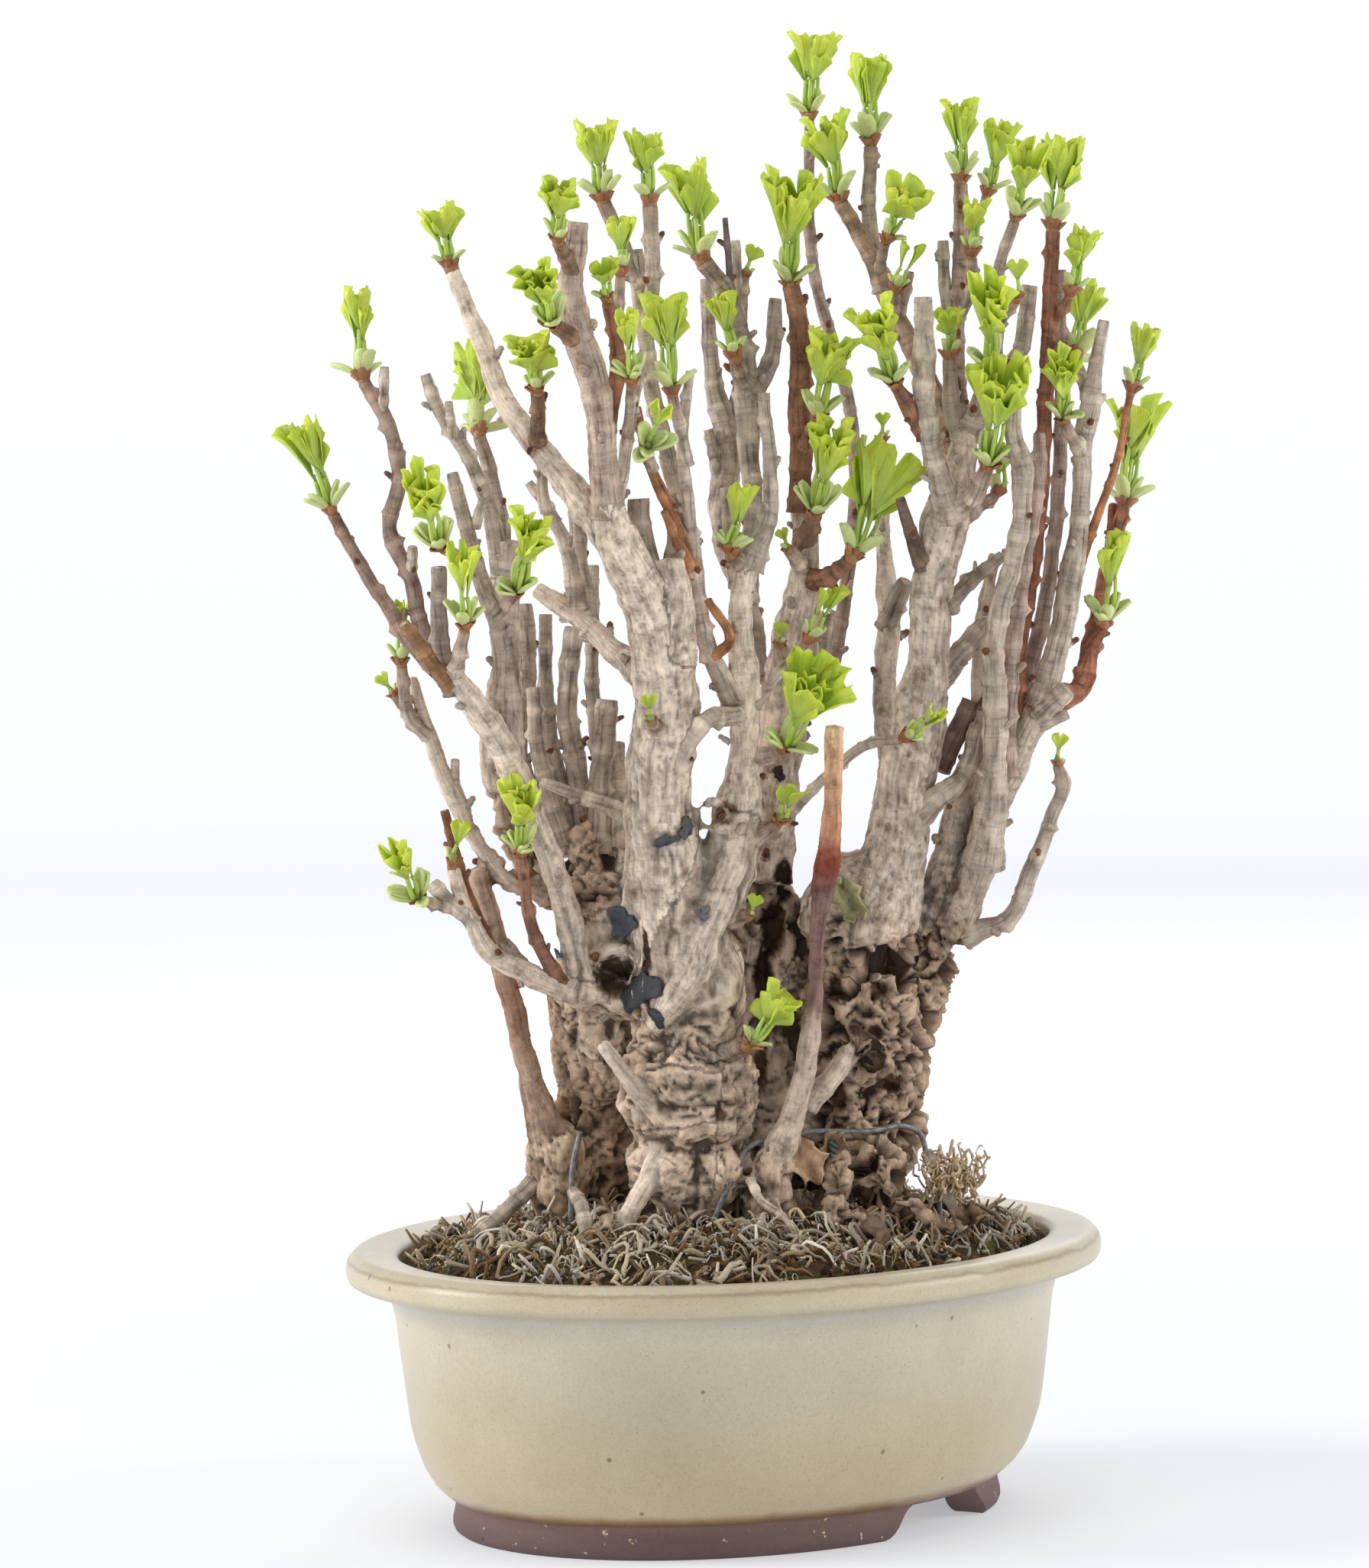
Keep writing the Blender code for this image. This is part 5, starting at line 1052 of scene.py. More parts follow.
def skin_parts():
    """Everything the trunk's one skin goes round, and the middles of its limbs."""
    batch, axes = Batch(), Axes()
    for size in SWELLINGS + [SUNKEN_BASE]:
        swelling(batch, size)
    for name, route in {**LIMBS, **STUBS}.items():
        if not skinned(name, route):
            continue
        draw = random.Random(name + "bark")
        tints = limb_tints(name, route, draw)
        curve, places = hermite(np.column_stack([placed(route), tints]), 2 * MM)
        path, radii = curve[:, :3], curve[:, 3]
        wander(path, places, radii, draw)
        sweep(batch, path, radii * 0.97, 24, UNPAINTED)
        height = on_sheet(path)[1]
        tints = curve[:, 4:7]
        if name in TINT_STOPS:
            tints = limb_tints(name, [(0, up) for up in height], draw)
        smooth_here = (name in SMOOTH_LIMBS) * (height > SMOOTH_ABOVE.get(name, 0))
        axes.add(name, path, radii, places, tints, smooth_here)
    for index, (angle, length) in enumerate(ROOTS):
        path, radii = root_route(index, angle, length)
        sweep(batch, path, radii, 14, UNPAINTED)
    turns = np.linspace(0, 2 * math.pi, 40)
    for across, up, depth, wide, tall, thickness in RIMS:
        path = np.array([
            seen(across + wide * math.cos(a), up + tall * math.sin(a), depth + 4 * math.cos(a + 2.6))
            for a in turns])
        radii = thickness * MM * (1 + 0.22 * np.sin(turns * 3 + across))
        sweep(batch, path, radii, 12, UNPAINTED)
    return batch, axes


def wander(path, places, radii, draw):
    """Shifts a limb's middle a little from side to side."""
    sway = min(0.35 * MM, 0.1 * radii.min())
    for axis in range(3):
        shift = np.sin(places / MM * draw.uniform(0.12, 0.3) + phase(draw)) * sway
        path[:, axis] += shift * np.sin(math.pi * np.clip(places / places[-1], 0, 1))


def carving(across, up, front, fine, coarse):
    """Pushes towards the eye of the hollows, mounds and grooves that the front shows, and the dark tints
    painted in the hollows as shade.
    """
    push = np.zeros(len(across))
    hollow_shade = np.zeros((len(across), 3))
    hollow_shade_share = np.zeros(len(across))
    sheet = np.stack([across, up], axis=1)
    for x, z, wide, tall, amount, edge in MOUNDS:
        reach = np.hypot((across - x) / wide, (up - z) / tall)
        push += amount * (1 - smoothstep(edge, 1.25, reach)) * front
    for x, z, wide, tall, amount, edge, tint in HOLLOWS:
        reach = np.hypot((across - x) / wide, (up - z) / tall) + 0.22 * fine + 0.14 * coarse
        inside = (1 - smoothstep(edge, 1.1, reach)) * front
        push += amount * inside
        hollow_shade[inside > hollow_shade_share] = srgb(*tint)
        hollow_shade_share = np.maximum(hollow_shade_share, inside)
    for line, width, amount in GROOVES:
        inside = (1 - smoothstep(0.2, 1.6, stroke_distance(sheet, line) / width + 0.5 * fine)) * front
        push += amount * inside
    return push, hollow_shade, hollow_shade_share


def trunk():
    """The lumpy trunk and its thick limbs: one skin, swollen, carved and crumbled, with its colours."""
    batch, axes = skin_parts()
    mesh = remeshed(batch)
    points, normals = mesh_arrays(mesh)
    edges = np.empty(len(mesh.edges) * 2, np.int32)
    mesh.edges.foreach_get("vertices", edges)
    edges = edges.reshape(-1, 2)
    middle, first, second, radius, along, wood, smooth_limb = axes.nearest(points)
    arm = points - middle
    turn = np.arctan2((arm * second).sum(1), (arm * first).sum(1))
    grain = np.stack([np.cos(turn) * radius, np.sin(turn) * radius, along], axis=1)
    across, up, depth = on_sheet(points)
    eye = np.array(EYEWARD)
    front = smoothstep(0.0, 0.5, normals @ eye) * (1 - smoothstep(10, 30, depth))

    # How crumbly each place is: the burrs low in front and the right mass, smooth bark above
    ragged = noise_at(points, 60, 2, 40)
    low = 1 - smoothstep(192, 214, up + 12 * ragged)
    right = smoothstep(28, 36, across + 4 * ragged) * (1 - smoothstep(222, 240, up + 10 * ragged))
    behind = smoothstep(-4, 14, depth) * (1 - smoothstep(236, 262, up + 14 * ragged))
    cave = smoothstep(-36, -42, across + 3 * ragged) * (1 - smoothstep(168, 186, up + 8 * ragged))
    cave *= smoothstep(-14, -4, depth)
    crown = smoothstep(-38, -44, across + 4 * ragged) * smoothstep(222, 236, up)
    crown *= 1 - smoothstep(280, 292, up)
    cave = np.maximum(cave, 0.7 * crown * smoothstep(-22, -12, depth))
    apart = smoothstep(1.15, 1.5, np.linalg.norm(arm, axis=1) / radius)
    own = np.clip(smooth_limb * (1 - apart), 0, 1)
    crumbly = np.clip(np.maximum.reduce([low * 0.7, right, behind * 0.85, cave]), 0, 1) * (1 - own)
    smooth_part = 1 - crumbly

    # What is laid over the skin, in millimetres: bark on the smooth parts, burrs and holes on the crumbly
    bent = warped(points, 70, 0.006, 3)
    coarse = noise_at(bent, 60, 2, 11)
    ridge = 1 - np.abs(noise_at(bent, 105, 2, 21)) * 2.4
    small_ridge = 1 - np.abs(noise_at(bent, 240, 2, 31)) * 2.4
    fine = noise_at(points, 330, 2, 51)
    near, next_near = cells_at(bent * (1, 1, 1.35), 150, 61)
    knob = np.clip(1 - near * 1.25, 0, 1) ** 0.7
    seam = 1 - smoothstep(0.0, 0.22, next_near - near)
    furrow = 1 - smoothstep(0.0, 0.16, np.abs(noise_at(grain * (1, 1, 0.14), 420, 2, 71)))
    rib = noise_at(grain * (0.3, 0.3, 1), 330, 2, 81)
    bark_lift = noise_at(points, 85, 2, 91) * 1.5 - furrow * 0.7 + rib * 0.3 + fine * 0.2
    bark_lift += knots(across, up, depth)
    busy = smoothstep(-0.25, 0.25, noise_at(points, 45, 2, 121)) * (0.35 + 0.65 * smoothstep(140, 160, up))
    busy = np.maximum(busy, right * 0.55)
    fold = 1 - smoothstep(0.0, 0.13, np.abs(noise_at(bent * (0.55, 0.55, 1.6), 85, 2, 131)))
    burr = coarse * 3.4 + (ridge - 0.4) * 1.1 + fine * 0.35 - fold * 1.9 - 0.4
    burr += busy * (small_ridge * 0.6 + knob * 1.3 - seam * 1.0 + fine * 0.3)
    lift = smooth_part * bark_lift * np.clip(radius / MM / 9, 0.45, 1) + crumbly * burr
    hole = np.maximum(right, np.maximum(cave, behind * 0.7))
    hole *= smoothstep(0.14, 0.40, -noise_at(bent, 70, 2, 101))
    hole *= 1 - own
    lift -= hole * 8.0

    push, hollow_shade, hollow_shade_share = carving(across, up, front, fine, coarse)
    push *= 1 - 0.9 * own
    hollow_shade_share = (hollow_shade_share * (1 - own))[:, None]
    keep = smoothstep(103, 116, points[:, 2] / MM)
    lift = np.clip(lift, -9, 5) * (0.3 + 0.7 * keep)
    points = points + normals * (lift * MM)[:, None] + eye * (push * keep * MM)[:, None]
    mesh.vertices.foreach_set("co", points.ravel())
    mesh.update()
    points, normals = mesh_arrays(mesh)
    near_height, wide_height = (
        ((points - levelled(points, edges, rounds)) * normals).sum(1) / MM for rounds in (4, 26))
    ridge_and_pit_shade = np.clip(near_height * 1.5 + wide_height * 0.42, -1, 1)

    # Colours: pale pinkish grey on the smooth bark, browner where it crumbles, dark in the cracks, with
    # painted shade in the pits, folds and holes and a painted highlight on the ridges
    tone = np.clip(noise_at(points, 34, 2, 111), 0, 1)
    colour = mixed(wood, srgb(196, 172, 146), crumbly[:, None] * 0.8)
    brown = np.clip(right * 0.30 + behind * 0.45 + cave * 0.75 + tone * 0.35, 0, 0.85)
    colour = mixed(colour, srgb(128, 98, 72), (brown * crumbly)[:, None])
    cracks_and_shade = smooth_part * furrow * 0.16 + crumbly * (seam * busy * 0.35 + fold * 0.45)
    cracks_and_shade = np.clip(cracks_and_shade + hole * 0.7, 0, 0.9)
    # Pits darker still as painted shade, and below, ridges lighter as a painted highlight
    cracks_and_shade = np.maximum(cracks_and_shade, np.clip(-ridge_and_pit_shade, 0, 1) * (0.50 + 0.45 * crumbly))
    colour = mixed(colour, srgb(46, 33, 25), cracks_and_shade[:, None])
    colour = colour * (1 + np.clip(ridge_and_pit_shade, 0, 1) * 0.42)[:, None]
    # The dark tint in the hollows is painted shade
    colour = mixed(colour, hollow_shade, hollow_shade_share)
    # Darker and browner towards the soil
    near_soil = 1 - smoothstep(110, 130, points[:, 2] / MM + 8 * fine)
    colour = mixed(colour, srgb(96, 74, 50), near_soil[:, None] * 0.6)
    green = np.clip(1 - np.abs(across + 61) / 9, 0, 1) * smoothstep(152, 138, up)
    green *= np.clip(fine + 0.35, 0, 1)
    colour = mixed(colour, srgb(108, 112, 58), green[:, None] * 0.7)
    paint(mesh, np.clip(colour, 0, 0.93), grain)
    halves(mesh, normals)


def knots(across, up, depth):
    """Round scars of lost twigs on the thick limbs: a raised ring with a sunken eye."""
    total = np.zeros(len(across))
    for x, z, wide in KNOTS:
        reach = np.hypot(across - x, up - z) / wide
        scar = 1.2 * np.exp(-((reach - 1) / 0.5) ** 2) - 0.9 * np.exp(-(reach / 0.5) ** 2)
        total += np.where(depth < 14, scar, 0)
    return total


def halves(mesh, normals):
    """The skin as two pieces, below and above a height, shaded as one."""
    for name, keep_low, nodes in (("trunk", True, ["tree"]), ("upper_trunks", False, [])):
        bm = bmesh.new()
        bm.from_mesh(mesh)
        layer = bm.verts.layers.int.new("old")
        for index, vert in enumerate(bm.verts):
            vert[layer] = index
        gone = [face for face in bm.faces if (face.calc_center_median().z < SKIN_SPLIT) != keep_low]
        bmesh.ops.delete(bm, geom=gone, context="FACES")
        half = bpy.data.meshes.new(name)
        bm.to_mesh(half)
        bm.free()
        old = np.empty(len(half.vertices), np.int32)
        half.attributes["old"].data.foreach_get("value", old)
        half.attributes.remove(half.attributes["old"])
        settle(name, half, trunk_bark, nodes)
        half.normals_split_custom_set_from_vertices(normals[old].tolist())


def root_route(index, angle, length):
    """A surface root's path and radii, as in the part."""
    turn = math.radians(angle)
    out = Vector((math.cos(turn), math.sin(turn), 0))
    side = Vector((-out.y, out.x, 0)) * (0.006 * math.sin(index * 2.1))
    start = Vector((6 * MM, 0, 0)) + Vector((out.x * 0.052, out.y * 0.030, 0.121))
    reach = length * MM
    route = [start, start + out * reach * 0.55 + side + Vector((0, 0, -0.001))]
    route.append(start + out * reach - side + Vector((0, 0, -0.013)))
    wide = 0.0036 + 0.0012 * math.sin(index * 1.7)
    rows = [[*(FRONT @ point), wide * share] for point, share in zip(route, (1.4, 0.85, 0.6))]
    curve, _ = hermite(rows, 2 * MM)
    return curve[:, :3], curve[:, 3]


def limbs():
    """The stems and twigs too thin for the skin, with their small side buds."""
    carriers = {spec[0] for spec in (*BUNCHES.values(), *SPROUTS.values())}
    stems, buds = Batch(), Batch()
    for name, route in {**LIMBS, **STUBS}.items():
        if not skinned(name, route):
            add_limb(stems, name, route, name in carriers)
    for name, route in LIMBS.items():
        side_buds(buds, name, route)
    stems.piece("stems", bark, "bark")
    buds.piece("side_buds", bark, "bark")


def side_buds(batch, name, route):
    """Short ringed spurs at intervals along a stem."""
    draw = random.Random(name + "buds")
    curve, places = hermite(placed(route), 1 * MM)
    length = places[-1] / MM
    radius = curve[:, 3] / MM
    if length < 22 or radius.max() > 16 or name in ("pole", "brown_pole"):
        return
    first, second = rings(curve[:, :3])
    ahead = heading(curve[:, :3])
    at = draw.uniform(8, 16)
    side = phase(draw)
    steps = 7
    share = np.linspace(0, 1, steps)
    while at < length - 6:
        index = min(len(curve) - 1, int(at / length * (len(curve) - 1)))
        out = first[index] * math.cos(side) + second[index] * math.sin(side)
        lean = (out + ahead[index] * draw.uniform(0.5, 1.1))
        lean /= np.linalg.norm(lean)
        reach = draw.uniform(1.8, 5.2) * min(1.0, 0.55 + radius[index] / 9)
        thin = draw.uniform(0.9, 1.5) * min(1.25, 0.6 + radius[index] / 9)
        start = curve[index, :3] + out * (radius[index] - 0.8) * MM
        path = start + lean * (share * (reach + 0.8) * MM)[:, None]
        radii = thin * (1.35 - 0.5 * share + 0.13 * np.cos(share * reach * 5.2)) * MM
        radii[-1] *= 0.62
        tipped = draw.random() < 0.45
        tints = np.tile(limb_tint(name, route, random.Random(name)), (steps, 1)) * draw.uniform(0.85, 1.1)
        if tipped:
            tints[-4:] = srgb(128, 88, 62) * draw.uniform(0.8, 1.15)
        sweep(batch, path, radii, 6, np.clip(tints, 0, 1))
        at += draw.uniform(9, 26)
        side += draw.uniform(1.8, 3.2)


def grid_faces(rows, columns):
    """Quads of a grid of points."""
    corners = (row * columns + column for row in range(rows - 1) for column in range(columns - 1))
    return [[at, at + 1, at + columns + 1, at + columns] for at in corners]


def grid_places(rows, columns):
    """Places over a grid, each way from -1 to 1."""
    return [(column / (columns - 1) * 2 - 1, row / (rows - 1) * 2 - 1)
            for row in range(rows) for column in range(columns)]


def tilted(x, z, u, v, turn):
    """A place on the front sheet, u and v away from x and z, turned."""
    return x + u * math.cos(turn) - v * math.sin(turn), z + u * math.sin(turn) + v * math.cos(turn)


def blade(batch, points, rows, columns, thickness, tint, grain):
    """A thin curved sheet with two faces and a closed rim, from a grid of points."""
    grid = np.reshape(points, (rows, columns, 3))
    normal = np.cross(np.gradient(grid, axis=1), np.gradient(grid, axis=0))
    normal = normal / np.maximum(np.linalg.norm(normal, axis=2, keepdims=True), 1e-12)
    half = normal * thickness / 2
    count = rows * columns
    faces = grid_faces(rows, columns)
    faces += [[index + count for index in face[::-1]] for face in faces]
    rim = list(range(columns))
    rim += [row * columns + columns - 1 for row in range(1, rows)]
    rim += [(rows - 1) * columns + column for column in range(columns - 2, -1, -1)]
    rim += [row * columns for row in range(rows - 2, 0, -1)]
    for a, b in zip(rim, rim[1:] + rim[:1]):
        faces.append([b, a, a + count, b + count])
    sides = np.concatenate([(grid + half).reshape(-1, 3), (grid - half).reshape(-1, 3)])
    tint, grain = (np.tile(np.reshape(values, (count, 3)), (2, 1)) for values in (tint, grain))
    batch.add(sides, faces, tint, grain)


# Greens of the leaves and brown of the buds
YOUNG = srgb(224, 234, 76)
FRESH = srgb(172, 198, 44)
STALK_GREEN = srgb(186, 208, 96)
BRACT_GREEN = srgb(216, 226, 150)
BUD_BROWN = srgb(170, 112, 74)


def fan(batch, draw, start, ahead, inward, length, half_angle, sway, waves, light):
    """One young fan: cupped, notched, waved and curled at its rim, with radiating veins."""
    side = ahead.cross(inward).normalized()
    ahead, inward, side, start = (np.array(v) for v in (ahead, inward, side, start))
    rows, columns = FAN_GRID
    t, share = np.meshgrid(np.linspace(0.02, 1, rows) ** 0.8, np.linspace(1, -1, columns), indexing="ij")
    angle = half_angle * share
    turn = phase(draw)
    ruffle = 0.05 * np.sin(share * 6 + turn) + 0.02 * np.sin(share * 13 + turn * 2)
    wave = 0.7 * sway * np.cos(math.pi * waves * (1 - share) / 2)
    cup = 1.25 * FAN_CUP * (1 - np.cos(angle)) + (wave + ruffle) * t
    curl = draw.uniform(-0.10, 0.10) * np.clip(t - 0.62, 0, 1) ** 2 / 0.14
    direction = ahead * np.cos(angle)[..., None] + side * np.sin(angle)[..., None]
    direction = direction + inward * (cup + curl)[..., None]
    direction /= np.linalg.norm(direction, axis=2)[..., None]
    notch = draw.uniform(0.16, 0.34)
    middle = draw.uniform(-0.08, 0.08)
    rim = (1.03 - 0.16 * np.abs(share) ** 4) * (1 - notch * np.exp(-((share - middle) / 0.12) ** 2))
    lobes = draw.uniform(6, 9)
    rim = rim + 0.030 * np.abs(np.sin(share * lobes + turn)) + 0.012 * np.sin(share * 31 + turn * 3)
    points = start + direction * (length * t * rim)[..., None]
    blend = np.clip(t * 1.15 - 0.15 + 0.12 * np.sin(share * 5 + turn), 0, 1)[..., None]
    tint = mixed(STALK_GREEN, mixed(FRESH, YOUNG, light), blend)
    # The rim turns towards the yellow-green: painted light shining through the leaf
    tint = mixed(tint, YOUNG, np.clip(t - 0.8, 0, 1)[..., None] * 2.6 * 0.6)
    grain = np.stack([angle, t, np.full_like(t, turn)], axis=-1)
    blade(batch, points, rows, columns, FAN_THICKNESS, tint, grain)


def scale(batch, start, ahead, inward, length, width, tint, curl, thickness):
    """One pale cupped bract or a brown bud scale."""
    side = ahead.cross(inward).normalized()
    ahead, inward, side, start = (np.array(v) for v in (ahead, inward, side, start))
    rows, columns = SCALE_GRID
    t, share = np.meshgrid(np.linspace(0, 1, rows), np.linspace(-1, 1, columns), indexing="ij")
    half = width / 2 * np.sin(math.pi * np.clip(t * 0.80 + 0.12, 0, 1) ** 1.25) ** 0.6
    points = start + ahead * (t * length)[..., None] + side * (half * share)[..., None]
    points = points + inward * (half * share**2 * 0.55 - curl * length * t**2)[..., None]
    tints = np.clip(tint * (0.86 + 0.2 * t)[..., None], 0, 1)
    grain = np.stack([share * 0.3, t, np.zeros_like(t)], axis=-1)
    blade(batch, points, rows, columns, thickness, tints, grain)


def curved_stalk(batch, start, end, out, radius, tint):
    """A leaf stalk that bows a little outwards."""
    start, end, out = (np.array(v) for v in (start, end, out))
    t = np.linspace(0, 1, 8)[:, None]
    bow = np.sin(math.pi * t) * np.linalg.norm(end - start) * 0.05
    path = start + (end - start) * t + out * bow
    radii = radius * (1.15 - 0.5 * t[:, 0] + 1.4 * np.clip(t[:, 0] - 0.8, 0, 1))
    sweep(batch, path, radii, 6, tint)


def bud(batch, base, top, ahead, radius):
    """A bud: a brown ringed foot that narrows into green."""
    path = [base - ahead * 0.0012, base.lerp(top, 0.3), base.lerp(top, 0.65), top, top + ahead * 0.0008]
    curve, places = hermite(path, 0.0006)
    profile = np.interp(places / places[-1], [0, 0.25, 0.6, 0.85, 1], [0.98, 1.06, 0.95, 0.72, 0.3])
    radii = radius * profile * (1 + 0.06 * np.sin(places / 0.0011 * 6.28))
    fade = np.clip(places / places[-1] * 1.4 - 0.15, 0, 1)[:, None]
    sweep(batch, curve, radii, 10, mixed(BUD_BROWN, srgb(150, 158, 84), fade))


def bunch(batch, name, spec, lift, turned=0, leaned=0):
    """One bunch, drawn from the same numbers as its solid, with its bud, bracts, stalks and fans."""
    carrier, top_across, top_up, width, leaves = spec
    draw = random.Random(name)
    fine = random.Random(name + "fine")
    alone = leaves == 1
    base, limb_ahead, limb_radius = limb_end(carrier)
    top = seen(top_across, top_up, LIMBS[carrier][-1][2] + leaned)
    axis = (top - base).normalized()
    height = (top - base).length
    across = axis.cross(EYEWARD).normalized()
    behind = across.cross(axis).normalized()
    bud_length = min(BUD_LENGTH, height * BUD_LENGTH_SHARE)
    bud_radius = max(BUD_RADIUS, limb_radius * 0.9)
    bud_ahead = (limb_ahead + axis).normalized()
    base = base + limb_ahead * lift
    bud_top = base + bud_ahead * bud_length
    spread = width * MM / 2
    widest = min(FAN_WIDEST, max(FAN_NARROWEST, min(0.34, 1.25 / leaves) * width * MM))
    root = base.lerp(bud_top, 0.45)
    bud(batch, base, bud_top, bud_ahead, bud_radius)

    def outward(azimuth):
        """A direction square to the bunch's axis."""
        return across * math.cos(azimuth) + behind * math.sin(azimuth)

    def place(rise, reach, out):
        """A share of the way up the bunch, and of the way out."""
        return root + axis * height * rise + out * spread * reach

    for index in range(leaves):
        azimuth = 2 * math.pi * index / leaves + math.radians(turned) + draw.uniform(-0.14, 0.14)
        out = outward(math.pi * 1.5 if alone else azimuth)
        share = draw.uniform(*STALK_SHARE)
        stalk_end = place(share, 0.34, out)
        rise = height * (1 - share) * draw.uniform(*FAN_RISE)
        reach = spread * draw.uniform(*FAN_REACH) * (0.3 if alone else 1)
        ahead = (axis * rise + out * reach).normalized()
        inward = ahead.cross(out.cross(axis)).normalized()
        if inward.dot(out) > 0:
            inward.negate()
        foot = bud_top - axis * FOOT_SUNK + out * FOOT_SPREAD
        waves = 6 if width >= WIDE_BUNCH else 4
        sway = draw.uniform(*FAN_SWAY)
        tip = stalk_end + ahead * math.hypot(rise, reach)
        beside = tip - root
        beside = beside - axis * beside.dot(axis)
        tip = tip - beside * fine.uniform(0.16, 0.30)
        lower = fine.uniform(0.72, 0.95)
        stalk_end = root + axis * height * share * lower + out * spread * 0.26 * lower
        if index % 2 and not alone:
            tip = tip.lerp(root, fine.uniform(0.04, 0.20))
        light = fine.uniform(0.25, 0.95)
        ahead = (tip - stalk_end).normalized()
        length = (tip - stalk_end).length
        inward = (inward - ahead * inward.dot(ahead)).normalized()
        inward = Matrix.Rotation(fine.uniform(-0.45, 0.45), 3, ahead) @ inward
        half_angle = math.asin(min(0.93, widest * fine.uniform(1.1, 1.35) / length))
        curved_stalk(batch, foot, stalk_end, out, STALK_RADIUS, STALK_GREEN * fine.uniform(0.88, 1.06))
        stalk_end = stalk_end - ahead * 0.0006
        fan(batch, fine, stalk_end, ahead, inward, length * 1.04, half_angle, sway, waves, light)

    # Smaller leaves lower in the bunch, and the ones that fill its middle
    fillers = max(2, leaves // 2 + 1) if width > 13 and not alone else 0
    for index in range(fillers):
        out = outward(2 * math.pi * (index + 0.5) / fillers + fine.uniform(-0.5, 0.5))
        stalk_end = place(fine.uniform(0.30, 0.44), 0.20, out)
        tip = place(fine.uniform(0.64, 0.94), fine.uniform(0.25, 0.70), out)
        ahead = (tip - stalk_end).normalized()
        length = (tip - stalk_end).length
        inward = ahead.cross(out.cross(axis)).normalized()
        inward = Matrix.Rotation(fine.uniform(-0.6, 0.6), 3, ahead) @ inward
        half_angle = math.asin(min(0.9, widest * 1.05 / length))
        green = STALK_GREEN * fine.uniform(0.85, 1.05)
        curved_stalk(batch, bud_top, stalk_end, out, LOW_STALK_RADIUS, green)
        fan(batch, fine, stalk_end, ahead, inward, length, half_angle, 0.09, 4, fine.uniform(0.2, 0.8))

    # Inner leaves still folded
    folded = (2 if width > 14 else 1) if height > 0.020 and not alone else 0
    for _ in range(folded):
        out = outward(fine.uniform(0, 6.28))
        share = fine.uniform(0.35, 0.5)
        stalk_end = place(share, 0.10, out)
        ahead = (axis + out * fine.uniform(0.0, 0.12)).normalized()
        inward = ahead.cross(out.cross(axis)).normalized()
        curved_stalk(batch, bud_top, stalk_end, out, FOLDED_STALK_RADIUS, STALK_GREEN)
        length = height * (0.86 - share)
        fan(batch, fine, stalk_end, ahead, inward, length, 0.42, 0.16, 4, fine.uniform(0.5, 1.0))

    # The bracts that opened round them, and the brown scales of the bud
    start_turn = fine.uniform(0, 6.28)
    for index in range(1 if height < 0.018 else 3 if height < 0.026 else 5):
        out = outward(start_turn + 2.2 * index)
        ahead = (axis + out * fine.uniform(0.35, 1.5)).normalized()
        inward = (out - ahead * out.dot(ahead)).normalized() * -1
        long = min(0.0125, height * fine.uniform(0.27, 0.38))
        scale(batch, root + out * bud_radius * 0.6, ahead, inward, long, long * fine.uniform(0.42, 0.52),
              BRACT_GREEN * fine.uniform(0.90, 1.05), fine.uniform(-0.12, 0.12), BRACT_THICKNESS)
    for index in range(BUD_SCALES):
        out = outward(start_turn + 1.3 + 1.05 * index)
        ahead = (bud_ahead + out * fine.uniform(0.15, 0.8)).normalized()
        inward = (out - ahead * out.dot(ahead)).normalized() * -1
        long = bud_length * fine.uniform(0.55, 0.95)
        scale(batch, base + bud_ahead * bud_length * 0.05 + out * bud_radius * 0.85, ahead, inward, long,
              long * 0.8, BUD_BROWN * fine.uniform(0.8, 1.3), 0.05, SCALE_THICKNESS)


def foliage():
    """A piece for every bunch, and one for the small sprouts on the wood."""
    for name, spec in BUNCHES.items():
        batch = Batch()
        bunch(batch, "leaf_bunch_" + name, spec, 0, *BENT_CLEAR.get(name, (0, 0)))
        batch.piece("leaves_" + name, leaf, "leaf", ["leaf_bunch_" + name])
    batch = Batch()
    for name, spec in SPROUTS.items():
        bunch(batch, name, spec, -0.0008)
    batch.piece("sprouts", leaf, "leaf")


def oval_points(offset, count):
    """Points round the pot, in from its rim by the offset."""
    turns = round_turns(count)
    half_length, half_width = POT_LENGTH / 2 - offset, POT_WIDTH / 2 - offset
    return np.stack([half_length * np.cos(turns), half_width * np.sin(turns)], axis=1)


# The pot's outline in full: distance in from the rim, and height
POT_LINE = [
    (0.0572, 0.0130), (0.0572, 0.0012), (0.0562, 0.0), (0.0430, 0.0), (0.0420, 0.0012), (0.0418, 0.0125),
    (0.0402, 0.0138), (0.0352, 0.0182), (0.0312, 0.0230), (0.0277, 0.0310), (0.0250, 0.0400),
    (0.0234, 0.0510), (0.0221, 0.0620), (0.0206, 0.0740), (0.0191, 0.0850), (0.0172, 0.0912),
    (0.0140, 0.0950), (0.0090, 0.0969), (0.0040, 0.0977), (0.0014, 0.0984), (0.0002, 0.1004),
    (0.0000, 0.1030), (0.0004, 0.1058), (0.0018, 0.1078), (0.0036, 0.1094), (0.0052, 0.1099),
    (0.0075, 0.1098), (0.0120, 0.1095), (0.0170, 0.1091), (0.0197, 0.1086), (0.0207, 0.1074),
    (0.0210, 0.1050), (0.0212, 0.0980), (0.0280, 0.0700), (0.0360, 0.0320), (0.0480, 0.0210),
]


